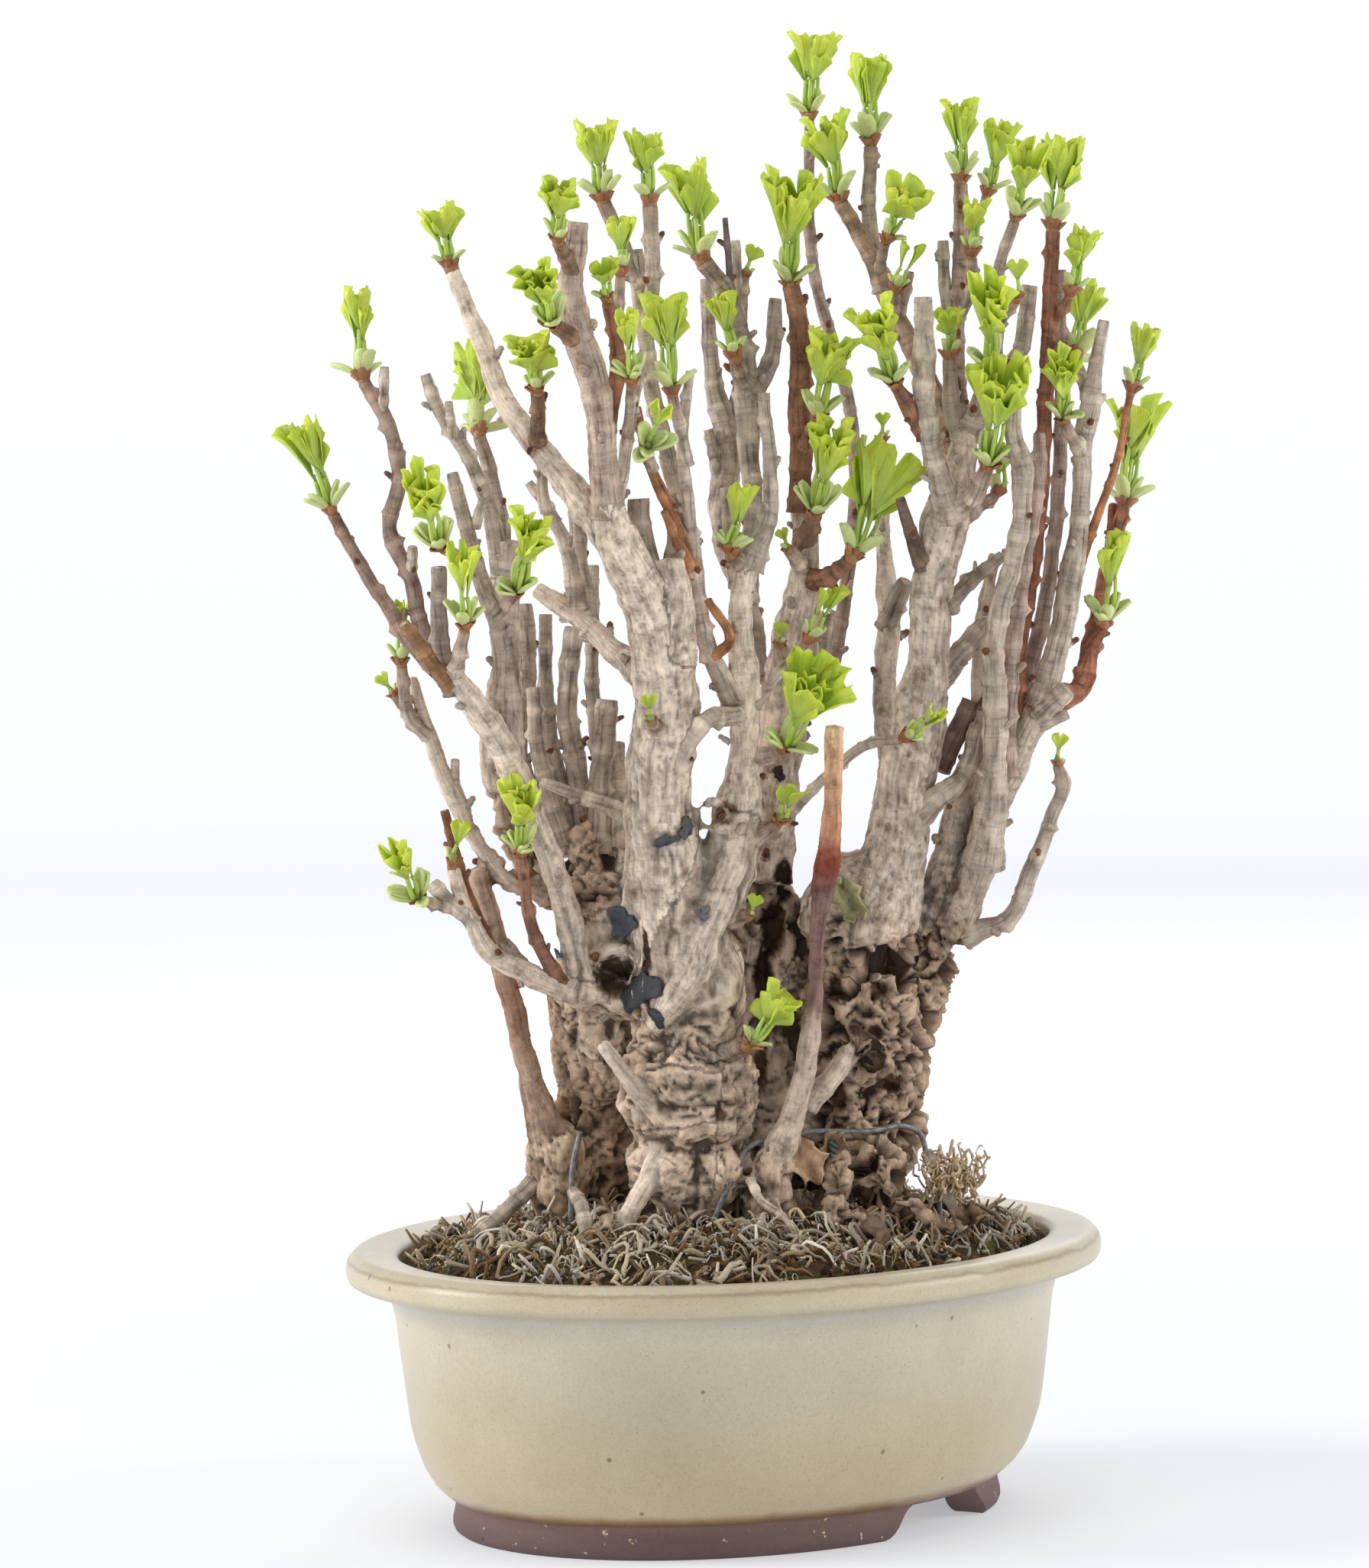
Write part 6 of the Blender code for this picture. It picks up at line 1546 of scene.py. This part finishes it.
def pot():
    """The glazed pot with its softened edges, foot notches and drainage holes."""
    line = [(inward * 1000, 0, height * 1000) for inward, height in POT_LINE]
    curve, _ = hermite(line, 2.0)
    rows = []
    for offset, _, height in curve / 1000:
        level = np.full(POT_SIDES, max(0.0, height))
        rows.append(np.column_stack([oval_points(offset, POT_SIDES), level]))
    points = np.concatenate(rows)
    turn = np.arctan2(points[:, 1], points[:, 0])
    wobble = 0.00022 * np.sin(turn * 3 + 1) + 0.00016 * np.sin(turn * 7 + points[:, 2] * 90)
    radial = points[:, :2] / np.linalg.norm(points[:, :2], axis=1)[:, None]
    points[:, :2] -= radial * (0.0003 + wobble)[:, None] * (points[:, 2] > 0.02)[:, None]
    faces = ring_faces(len(rows), POT_SIDES)
    faces.append(list(range(POT_SIDES))[::-1])
    faces.append([(len(rows) - 1) * POT_SIDES + index for index in range(POT_SIDES)])
    mesh = bpy.data.meshes.new("pot_body")
    mesh.from_pydata(points.tolist(), [], faces)
    bm = bmesh.new()
    bm.from_mesh(mesh)
    bpy.data.meshes.remove(mesh)
    body = loose("pot_body", bm)
    cutters = [notch_cutter()]
    for side in (-1, 1):
        bm = bmesh.new()
        spot = Matrix.Translation((side * DRAIN_SPACING / 2, 0, FLOOR_TOP))
        bmesh.ops.create_cone(bm, cap_ends=True, segments=32, radius1=DRAIN_RADIUS, radius2=DRAIN_RADIUS,
                              depth=0.04, matrix=spot)
        cutters.append(loose("drain", bm))
    group = bpy.data.collections.new("cutters")
    bpy.context.scene.collection.children.link(group)
    for cutter in cutters:
        group.objects.link(cutter)
    change = body.modifiers.new("cut", "BOOLEAN")
    change.operation = "DIFFERENCE"
    change.operand_type = "COLLECTION"
    change.collection = group
    change.solver = "EXACT"
    cut = applied(body, *cutters)
    bpy.data.collections.remove(group)
    settle("glazed_pot", cut, glaze, ["pot"])
    cut.set_sharp_from_angle(angle=math.radians(42))


def loose(name, bm):
    """An object that is only used for cutting, its faces turned outwards."""
    bmesh.ops.recalc_face_normals(bm, faces=bm.faces)
    mesh = bpy.data.meshes.new(name)
    bm.to_mesh(mesh)
    bm.free()
    return linked(name, mesh)


def notch_cutter():
    """A slanted-ended bar that opens the foot in the middle of both long sides."""
    low = -0.005
    half = NOTCH_WIDTH / 2
    half_low = half - NOTCH_SLANT / NOTCH_HEIGHT * low
    half_high = half - NOTCH_SLANT
    outline = [(-half_low, low), (half_low, low), (half_high, NOTCH_HEIGHT), (-half_high, NOTCH_HEIGHT)]
    bm = bmesh.new()
    near = [bm.verts.new((x, -POT_WIDTH, z)) for x, z in outline]
    far = [bm.verts.new((x, POT_WIDTH, z)) for x, z in outline]
    bm.faces.new(near)
    bm.faces.new(far[::-1])
    for index in range(4):
        after = (index + 1) % 4
        bm.faces.new((near[index], near[after], far[after], far[index]))
    return loose("notch", bm)


def ground(x, y):
    """Height of the dressed soil at a place."""
    share = math.hypot(x / SOIL_HALF_LENGTH, y / SOIL_HALF_WIDTH)
    bump = noise.fractal(Vector((x, y, 0.3)) * 38, 0.8, 2.2, 3) * 0.0036
    crumb = noise.fractal(Vector((x, y, 0.9)) * 210, 0.6, 2.2, 3) * 0.0011
    hold = min(1.0, max(0.0, (1.0 - share) / 0.10))
    return soil_height(share) + 0.0012 * hold + (bump + crumb) * hold - 0.0008 * (1 - hold)


def soil():
    """The ground in the pot, with a closed underside."""
    count, rows = SOIL_SIDES, SOIL_RINGS
    batch = Batch()
    points = []
    for share in np.linspace(1, 0.015, rows):
        for turn in round_turns(count):
            x = SOIL_HALF_LENGTH * share * math.cos(turn)
            y = SOIL_HALF_WIDTH * share * math.sin(turn)
            points.append((x, y, ground(x, y)))
    low = [(x * 0.92, y * 0.92, 0.070) for x, y, _ in points[:count]]
    lower = [(x * 0.78, y * 0.78, FLOOR_TOP + 0.0005) for x, y, _ in points[:count]]
    points = np.array(lower + low + points)
    faces = ring_faces(rows + 2, count)
    faces.append([(rows + 1) * count + index for index in range(count)])
    faces.append(list(range(count))[::-1])
    tone = noise_at(points, 60, 3, 2)[:, None]
    fleck = noise_at(points, 420, 2, 4)[:, None]
    colour = mixed(srgb(58, 42, 30), srgb(98, 76, 50), np.clip(0.5 + fleck * 1.3, 0, 1))
    colour = mixed(colour, srgb(86, 92, 44), np.clip(tone * 1.6 - 0.15, 0, 0.55))
    batch.add(points, faces, np.clip(colour, 0, 1))
    batch.piece("ground", earth, "soil", ["soil"])


def ground_place(draw, least, most, margin):
    """A random place on the ground, between two shares of its area."""
    turn = draw.uniform(0, 2 * math.pi)
    reach = math.sqrt(draw.uniform(least, most))
    return ((SOIL_HALF_LENGTH - margin) * reach * math.cos(turn),
            (SOIL_HALF_WIDTH - margin) * reach * math.sin(turn))


def curl(draw, x, y, length, radius, lift, bend, steps):
    """A wandering fibre that lies along the ground."""
    heading = draw.uniform(0, 2 * math.pi)
    turning = draw.uniform(-bend, bend)
    path = []
    arch = draw.uniform(0.2, 1.0) * lift
    start = draw.uniform(-0.35, 0.1)
    for step in range(steps):
        share = step / (steps - 1)
        base = ground(x, y)
        up = radius * 0.6 + arch * math.sin(math.pi * min(1, max(0, share * 1.15 + start)))
        path.append((x, y, base + up - radius * (1.2 if share in (0, 1) else 0.2)))
        turning = turning * 0.7 + draw.uniform(-bend, bend) * 0.6
        heading += turning
        x += math.cos(heading) * length / steps
        y += math.sin(heading) * length / steps
    return np.array(path)


def inside_rim(place, margin=0.004):
    """Whether a place lies within the pot's opening."""
    return math.hypot(place[0] / (SOIL_HALF_LENGTH - margin), place[1] / (SOIL_HALF_WIDTH - margin)) < 1


def lay_fibre(batch, draw, moss, lengths, radii, lift, bend, steps, sides, tints):
    """One fibre on the ground, drawn again until it keeps within the pot."""
    while True:
        x, y = ground_place(draw, 0.04, 1.0, 0.004)
        path = curl(draw, x, y, draw.uniform(*lengths) * MM, radii[0] * MM, lift * MM, bend, steps)
        if inside_rim(path[-1]) and inside_rim(path[len(path) // 2]):
            break
    radius = draw.uniform(*radii) * MM
    tint = srgb(*draw.choice(tints)) * draw.uniform(0.35, 1.15)
    side = (np.array(FRONT).T @ path[0])[0] / MM
    if moss and side < -50 and draw.random() < 0.5:
        tint = srgb(86, 104, 40) * draw.uniform(0.6, 1.2)
    sweep(batch, path, radius * np.linspace(1, 0.45, len(path)), sides, np.clip(tint, 0, 1))


def root_end(batch, draw):
    """A short root end that stands out of the ground, unless it leans over the rim."""
    x, y = ground_place(draw, 0.06, 0.96, 0.006)
    lean = np.array([draw.uniform(-1, 1), draw.uniform(-1, 1), draw.uniform(0.1, 1.0)])
    lean /= np.linalg.norm(lean)
    long = draw.uniform(5, 14) * MM
    radius = draw.uniform(0.45, 1.3) * MM
    share = np.linspace(0, 1, 4)[:, None]
    bend = np.array([draw.uniform(-1, 1), draw.uniform(-1, 1), 0]) * 0.25 * long
    path = np.array([x, y, ground(x, y) - 0.001]) + lean * share * long + bend * share**2
    if inside_rim(path[-1], 0.0):
        tint = srgb(*draw.choice(ROOT_TINTS)) * draw.uniform(0.6, 1.15)
        sweep(batch, path, radius * np.linspace(1, 0.55, 4), 5, np.clip(tint, 0, 1))


def litter():
    """Pale fine roots, moss shreds and crumbs all over the ground."""
    draw = random.Random(11)
    batches = {"fine_roots": Batch(), "moss_shreds": Batch()}
    for name, count, *kind in FIBRES:
        for _ in range(count):
            lay_fibre(batches[name], draw, name == "moss_shreds", *kind)
    twigs = Batch()
    for _ in range(ROOT_ENDS):
        root_end(twigs, draw)
    crumbs = Batch()
    base, faces = sphere_points(1)
    for _ in range(CRUMBS):
        x, y = ground_place(draw, 0.02, 0.97, 0.005)
        size = draw.uniform(0.6, 2.2) * MM
        stretch = np.array([draw.uniform(0.7, 1.3) for _ in range(3)])
        jitter = np.array([draw.uniform(0.8, 1.2) for _ in base])
        points = base * stretch * jitter[:, None] * size + np.array([x, y, ground(x, y) + size * 0.2])
        crumbs.add(points, faces, srgb(*draw.choice(CRUMB_TINTS)))
    batches["fine_roots"].piece("fine_roots", fibre, "bark")
    batches["moss_shreds"].piece("moss_shreds", fibre, "soil")
    twigs.piece("root_ends", fibre, "bark")
    crumbs.piece("crumbs", earth, "soil", smooth=False)


def wires():
    """The two tie wires, the front one twisted tight where its ends meet."""
    for name, route in WIRES.items():
        batch = Batch()
        rows = [[*seen(x, z, y + BEHIND_POLE * (8 <= x <= 26)), WIRE_RADIUS] for x, z, y in route]
        curve, _ = hermite(rows, 0.0015)
        sweep(batch, curve[:, :3], curve[:, 3], 10, srgb(122, 122, 120))
        if name == "tie_wire_front":
            twist(batch)
        batch.piece(name + "_fine", metal, "wire", [name])


def twist(batch):
    """The front wire's two ends, twisted round each other."""
    steps = 40
    drop = np.linspace(0.002, -0.008, steps)
    for flip in (0, math.pi):
        turns = np.linspace(0, 4 * math.pi, steps) + flip
        local = np.stack([np.cos(turns) * WIRE_RADIUS, np.sin(turns) * WIRE_RADIUS, drop], axis=1)
        path = local @ np.array(FRONT).T + np.array(seen(*WIRE_KNOT))
        sweep(batch, path, np.full(steps, TWIST_RADIUS), 8, srgb(112, 112, 110))


def picker(names):
    """A ray caster against named pieces, from the front view's eye."""
    points, faces = [], []
    for name in names:
        mesh = bpy.data.objects[name].data
        start = len(points)
        points += [vert.co.copy() for vert in mesh.vertices]
        faces += [[index + start for index in poly.vertices] for poly in mesh.polygons]
    tree = BVHTree.FromPolygons(points, faces)

    def pick(across, up):
        """The place and the normal that show there, or nothing."""
        return tree.ray_cast(EYE, (seen(across, up, -60) - EYE).normalized())[:2]

    return pick


def patches():
    """Slate-coloured wound paste and other scraps stuck on the bark, where the front view shows them."""
    pick = picker(["trunk", "upper_trunks"])
    batch = Batch()
    rows, columns = PATCH_GRID
    for (x, z), wide, tall, tilt, tint in PATCHES:
        hits = []
        for a, b in grid_places(rows, columns):
            u, v = a * math.sqrt(1 - b * b / 2), b * math.sqrt(1 - a * a / 2)
            angle = math.atan2(v, u)
            ragged = 1 + 0.26 * math.sin(2 * angle + x) + 0.18 * math.sin(3 * angle + z)
            ragged += 0.10 * math.sin(7 * angle)
            place, normal = pick(*tilted(x, z, u * wide * ragged, v * tall * ragged, math.radians(tilt)))
            if place is None:
                place, normal = seen(x, z, -30), Vector((0, 0, 1))
            edge = max(abs(a), abs(b))
            lift = 0.0011 + 0.0026 * max(0.0, edge - 0.75) * (1 + math.sin(5 * a + 3 * b + x))
            hits.append(place + (normal * 0.4 + EYEWARD * 0.6) * lift)
        points = np.array(hits)
        grid = points.reshape(rows, columns, 3)
        soft = grid.copy()
        soft[1:-1, 1:-1] += grid[:-2, 1:-1] + grid[2:, 1:-1] + grid[1:-1, :-2] + grid[1:-1, 2:]
        soft[1:-1, 1:-1] /= 5
        blade(batch, soft, rows, columns, 0.0009, np.tile(srgb(*tint), (len(points), 1)), points)
    batch.piece("wound_paste", paste, "bark")


def dry_leaves():
    """Dead brown leaves by the wire, the pale scrap beside the pole, and the crinkled root tuft."""
    batch = Batch()
    draw = random.Random(5)
    rows, columns = DRY_GRID
    for (x, z), depth, wide, tall, tilt, tint in DRY_LEAVES:
        points, tints = [], []
        for a, b in grid_places(rows, columns):
            u = a * wide * (1 - 0.5 * b * b)
            u *= 0.9 + 0.22 * math.sin(6 * b + x) + 0.1 * math.sin(13 * b + z)
            v = b * tall * (1 + 0.2 * math.sin(4 * a + z))
            fold = 2.6 * abs(a) + 2.0 * math.sin(4 * b + x) + 1.5 * math.sin(5 * a + 2 * b + z)
            points.append(seen(*tilted(x, z, u, v, math.radians(tilt)), depth - fold + 3))
            tints.append(srgb(*tint) * (0.75 + 0.4 * abs(a) + draw.uniform(-0.05, 0.05)))
        points = np.array(points)
        blade(batch, points, rows, columns, 0.0006, np.clip(tints, 0, 1), points)
    batch.piece("dry_leaves", dry, "leaf")
    tuft = Batch()
    for _ in range(TUFT_FIBRES):
        x, z = draw.uniform(80, 100), draw.uniform(122, 132)
        depth = -24 + draw.uniform(-9, 7)
        path = []
        for _ in range(10):
            path.append(seen(x, z, depth + draw.uniform(-3, 3)))
            x += draw.uniform(-2.3, 2.1)
            z += draw.uniform(-0.9, 3.6)
        tint = srgb(236, 210, 172) * draw.uniform(0.7, 1.1)
        curve, _ = hermite(path, 0.0016)
        sweep(tuft, curve, np.full(len(curve), draw.uniform(0.3, 0.7) * MM), 4, tint)
    tuft.piece("root_tuft", fibre, "bark")


# Materials

def put(tree, kind, inputs=(), **settings):
    """A node with its settings, and its inputs set or linked."""
    node = tree.nodes.new("ShaderNode" + kind)
    for key, value in settings.items():
        setattr(node, key, value)
    for key, value in dict(inputs).items():
        if isinstance(value, bpy.types.NodeSocket):
            tree.links.new(value, node.inputs[key])
        else:
            node.inputs[key].default_value = value
    return node


def maths(tree, operation, *values):
    """The result of one operation on values."""
    return put(tree, "Math", dict(enumerate(values)), operation=operation).outputs[0]


def ranged(tree, value, low, high, least=0.0, most=1.0):
    """A value moved from one range into another."""
    return put(tree, "MapRange", {"Value": value, "From Min": low, "From Max": high,
                                  "To Min": least, "To Max": most}).outputs["Result"]


def ramp(tree, value, *stops):
    """A colour ramp of (place, linear colour) stops."""
    node = put(tree, "ValToRGB", {"Fac": value})
    elements = node.color_ramp.elements
    elements.remove(elements[1])
    elements[0].position = stops[0][0]
    elements[0].color = (*stops[0][1], 1)
    for place, colour in stops[1:]:
        element = elements.new(place)
        element.color = (*colour, 1)
    return node.outputs["Color"]


def grey(value):
    """A grey as a linear colour."""
    return (value, value, value)


def texture(tree, where, scale, detail=4.0, rough=0.55, stretch=(1, 1, 1), kind="Noise"):
    """A noise value, or a distance to cell middles, at stretched coordinates."""
    mapped = put(tree, "Mapping", {"Vector": where, "Scale": stretch}).outputs["Vector"]
    if kind == "Voronoi":
        return put(tree, "TexVoronoi", {"Vector": mapped, "Scale": scale}).outputs["Distance"]
    return put(tree, "TexNoise", {"Vector": mapped, "Scale": scale, "Detail": detail,
                                  "Roughness": rough}).outputs["Fac"]


def blank(name, rough, specular=0.4):
    """A new Principled material, its tree, its shader and its object coordinates."""
    made = bpy.data.materials.new(name)
    made.use_nodes = True
    tree = made.node_tree
    shader = tree.nodes["Principled BSDF"]
    shader.inputs["Roughness"].default_value = rough
    shader.inputs["Specular IOR Level"].default_value = specular
    return made, tree, shader, put(tree, "TexCoord").outputs["Object"]


def multiplied(tree, colour, *layers):
    """A colour multiplied by each layer, by its amount."""
    for layer, amount in layers:
        colour = put(tree, "MixRGB", {"Fac": amount, "Color1": colour, "Color2": layer},
                     blend_type="MULTIPLY").outputs["Color"]
    return colour


def tinted(tree, shader, *layers):
    """Sets the colour to the tint attribute multiplied by each layer."""
    tint = put(tree, "Attribute", attribute_name="tint").outputs["Color"]
    tree.links.new(multiplied(tree, tint, *layers), shader.inputs["Base Color"])


def bump(tree, shader, *layers):
    """Stacked bumps of (height, distance in metres, strength)."""
    normal = None
    for height, distance, strength in layers:
        inputs = {"Height": height, "Distance": distance, "Strength": strength}
        if normal is not None:
            inputs["Normal"] = normal
        normal = put(tree, "Bump", inputs).outputs["Normal"]
    tree.links.new(normal, shader.inputs["Normal"])


def bark_material(name, deep, depth):
    """Bark with fissures along the limb, ring scars, blotches and grit."""
    made, tree, shader, where = blank(name, 0.82, 0.25)
    grain = put(tree, "Attribute", attribute_name="grain").outputs["Vector"]
    fissure = texture(tree, grain, 620, 5, 0.6, (1, 1, 0.10))
    ring = texture(tree, grain, 700, 3, 0.5, (0.15, 0.15, 1))
    streak = texture(tree, grain, 240, 4, 0.7, (1, 1, 0.06))
    mottle = texture(tree, where, 150, 4, 0.6)
    grit = texture(tree, where, 1500, 3, 0.6)
    lines = ramp(tree, fissure, (0.32, grey(deep)), (0.46, grey(0.94)), (0.64, grey(1.10)))
    bands = ramp(tree, ring, (0.34, grey(0.62 + 0.3 * deep)), (0.44, grey(1.0)), (0.68, grey(1.06)))
    tones = ramp(tree, streak, (0.32, (0.70, 0.64, 0.60)), (0.48, grey(1.0)), (0.68, (1.20, 1.18, 1.17)))
    blotch = ramp(tree, mottle, (0.30, (0.54, 0.46, 0.40)), (0.46, grey(0.95)), (0.70, (1.24, 1.22, 1.19)))
    specks = ramp(tree, grit, (0.32, grey(0.84)), (0.5, grey(1.0)), (0.7, grey(1.08)))
    tinted(tree, shader, (lines, 0.85), (bands, 0.8), (tones, 0.9), (blotch, 0.9), (specks, 0.7))
    bump(tree, shader, (fissure, depth, 0.8), (ring, 0.0007, 0.6), (grit, 0.0003, 0.6))
    return made


def leaf_material():
    """Soft young leaf, with veins that fan out and light that comes through."""
    made, tree, shader, where = blank("young_leaf", 0.42, 0.45)
    grain = put(tree, "Attribute", attribute_name="grain").outputs["Vector"]
    angle = put(tree, "SeparateXYZ", {"Vector": grain}).outputs["X"]
    line = maths(tree, "SINE", maths(tree, "MULTIPLY", angle, 95.0))
    vein = ramp(tree, line, (0.0, grey(1.0)), (0.75, grey(1.0)), (1.0, grey(0.80)))
    mottle = ramp(tree, texture(tree, where, 260, 3), (0.3, grey(0.84)), (0.7, grey(1.06)))
    tinted(tree, shader, (vein, 0.55), (mottle, 0.8))
    shader.inputs["Subsurface Weight"].default_value = 0.22
    shader.inputs["Subsurface Radius"].default_value = (0.6, 1.0, 0.25)
    shader.inputs["Subsurface Scale"].default_value = 0.0016
    bump(tree, shader, (line, 0.00012, 0.5))
    return made


def glaze_material():
    """Cream glaze in bands by height, with painted shade under the lip, over a bare clay foot, with flecks,
    spots and rubbed edges.
    """
    made, tree, shader, where = blank("cream_glaze", 0.34, 0.5)
    height = put(tree, "SeparateXYZ", {"Vector": where}).outputs["Z"]
    wobble = ranged(tree, texture(tree, where, 60, 3), 0.3, 0.7, -0.0007, 0.0007)
    level = ranged(tree, maths(tree, "ADD", height, wobble), 0.0, GLAZE_TOP * MM)
    bands = ramp(tree, level, *((up / GLAZE_TOP, srgb(*tint)) for up, tint in GLAZE_AND_SHADE_BANDS))
    cloud = ramp(tree, texture(tree, where, 26, 3), (0.32, (0.93, 0.92, 0.90)), (0.7, (1.03, 1.03, 1.04)))
    fleck = ramp(tree, texture(tree, where, 1300, 2, 0.5), (0.30, (0.62, 0.50, 0.38)), (0.40, grey(1.0)))
    grain = ramp(tree, texture(tree, where, 520, 3, 0.6), (0.3, grey(0.92)), (0.7, grey(1.04)))
    spots = texture(tree, where, 62, kind="Voronoi")
    spot = ramp(tree, spots, (0.045, (0.30, 0.24, 0.20)), (0.07, grey(1.0)))
    colour = multiplied(tree, bands, (cloud, 1.0), (fleck, 0.55), (grain, 0.8), (spot, 0.75))
    bare = ramp(tree, level, (12.4 / GLAZE_TOP, grey(1.0)), (13.6 / GLAZE_TOP, grey(0.0)))
    chip = ramp(tree, texture(tree, where, 190, 3, 0.7), (0.66, grey(0.0)), (0.70, grey(1.0)))
    smear = maths(tree, "MULTIPLY", bare, chip)
    clay = {"Fac": smear, "Color1": colour, "Color2": (*srgb(206, 188, 158), 1)}
    tree.links.new(put(tree, "MixRGB", clay).outputs["Color"], shader.inputs["Base Color"])
    tree.links.new(ranged(tree, bare, 0.0, 1.0, 0.33, 0.75), shader.inputs["Roughness"])
    small, wide = texture(tree, where, 900, 3), texture(tree, where, 60, 3)
    bump(tree, shader, (small, 0.00008, 0.5), (wide, 0.0006, 0.3))
    return made


def plain_material(name, rough, low, high, scale, distance, metal_share=0.0, specular=0.3):
    """The tint with mottling and bump."""
    made, tree, shader, where = blank(name, rough, specular)
    speck = texture(tree, where, scale, 4, 0.65)
    tinted(tree, shader, (ramp(tree, speck, (0.3, grey(low)), (0.7, grey(high))), 1.0))
    shader.inputs["Metallic"].default_value = metal_share
    bump(tree, shader, (speck, distance, 0.7))
    return made


def screen_material():
    """Black plastic mesh for the drain screens."""
    made, tree, shader, where = blank("drain_mesh", 0.55)
    cells = texture(tree, where, 480, kind="Voronoi")
    colour = ramp(tree, cells, (0.25, srgb(16, 18, 16)), (0.5, srgb(52, 56, 50)))
    tree.links.new(colour, shader.inputs["Base Color"])
    bump(tree, shader, (cells, 0.0006, 0.8))
    return made


bark = bark_material("bark", 0.34, 0.0018)
trunk_bark = bark_material("trunk_bark", 0.62, 0.0014)
leaf = leaf_material()
glaze = glaze_material()
earth = plain_material("earth", 0.95, 0.55, 1.25, 900, 0.0008, specular=0.15)
fibre = plain_material("fibre", 0.85, 0.7, 1.1, 1200, 0.0003, specular=0.2)
metal = plain_material("tie_wire", 0.5, 0.35, 1.7, 260, 0.0002, metal_share=0.3)
paste = plain_material("wound_paste", 0.62, 0.7, 1.15, 420, 0.0006)
dry = plain_material("dry_leaf", 0.75, 0.65, 1.15, 380, 0.0005)

pot()
soil()
litter()
trunk()
limbs()
foliage()
wires()
patches()
dry_leaves()
for name in ("drain_screen_1", "drain_screen_2"):
    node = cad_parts[name]
    node.data.materials.clear()
    node.data.materials.append(screen_material())


# Studio: a pale floor, soft light from all round, and the photograph's camera

def floor_piece():
    """A pale round floor that bends up into a wall, and glows a little more further out."""
    made, tree, shader, where = blank("pale_floor", 0.9, 0.1)
    shader.inputs["Base Color"].default_value = FLOOR_COLOUR
    shader.inputs["Emission Color"].default_value = DAYLIGHT
    away = put(tree, "VectorMath", {0: where}, operation="LENGTH").outputs["Value"]
    glow = ranged(tree, away, 0.5, 4.0, FLOOR_GLOW, WALL_GLOW)
    tree.links.new(glow, shader.inputs["Emission Strength"])
    bend = np.linspace(0.2, math.pi / 2, 8)
    radii = [1, 3, 4.5, *(4.5 + 1.5 * np.sin(bend)), 6.0]
    heights = [0, 0, 0, *(1.5 - 1.5 * np.cos(bend)), 1.9]
    count = 64
    points = [(radius * math.cos(turn), radius * math.sin(turn), height)
              for radius, height in zip(radii, heights) for turn in round_turns(count)]
    faces = [face[::-1] for face in ring_faces(len(radii), count)] + [list(range(count))]
    mesh = bpy.data.meshes.new("floor")
    mesh.from_pydata(points, [], faces)
    mesh.polygons.foreach_set("use_smooth", [True] * len(mesh.polygons))
    mesh.materials.append(made)
    floor = linked("floor", mesh)


def aimed(made, place, ahead, roll=0.0):
    """Places a lamp or the camera and turns it to look ahead."""
    made.location = place
    made.rotation_mode = "QUATERNION"
    look = ahead.to_track_quat("-Z", "Y").to_matrix() @ Matrix.Rotation(roll, 3, "Z")
    made.rotation_quaternion = look.to_quaternion()


def lights():
    """Daylight from all round, and four wide lamps."""
    world = bpy.data.worlds.new("studio")
    bpy.context.scene.world = world
    world.use_nodes = True
    sky = world.node_tree.nodes["Background"]
    sky.inputs["Color"].default_value = DAYLIGHT
    sky.inputs["Strength"].default_value = SKY_STRENGTH
    for name, place, size, power in LAMPS:
        data = bpy.data.lights.new(name, "AREA")
        data.shape = "DISK"
        data.size = size
        data.energy = power
        place = FRONT @ Vector(place)
        aimed(linked(name, data), place, Vector((0, 0, LAMP_AIM)) - place)


def camera():
    """The photograph's camera."""
    scene = bpy.context.scene
    data = bpy.data.cameras.new("camera")
    data.sensor_width = SENSOR
    data.lens = SENSOR * EYE_FOCAL / PHOTO_HEIGHT
    data.shift_x = EYE_SHIFT
    data.clip_end = 60
    scene.camera = linked("camera", data)
    ahead = FRONT @ Vector((0, math.cos(EYE_PITCH), math.sin(EYE_PITCH)))
    aimed(scene.camera, EYE, ahead, EYE_ROLL)
    scene.view_settings.view_transform = "Standard"


floor_piece()
lights()
camera()
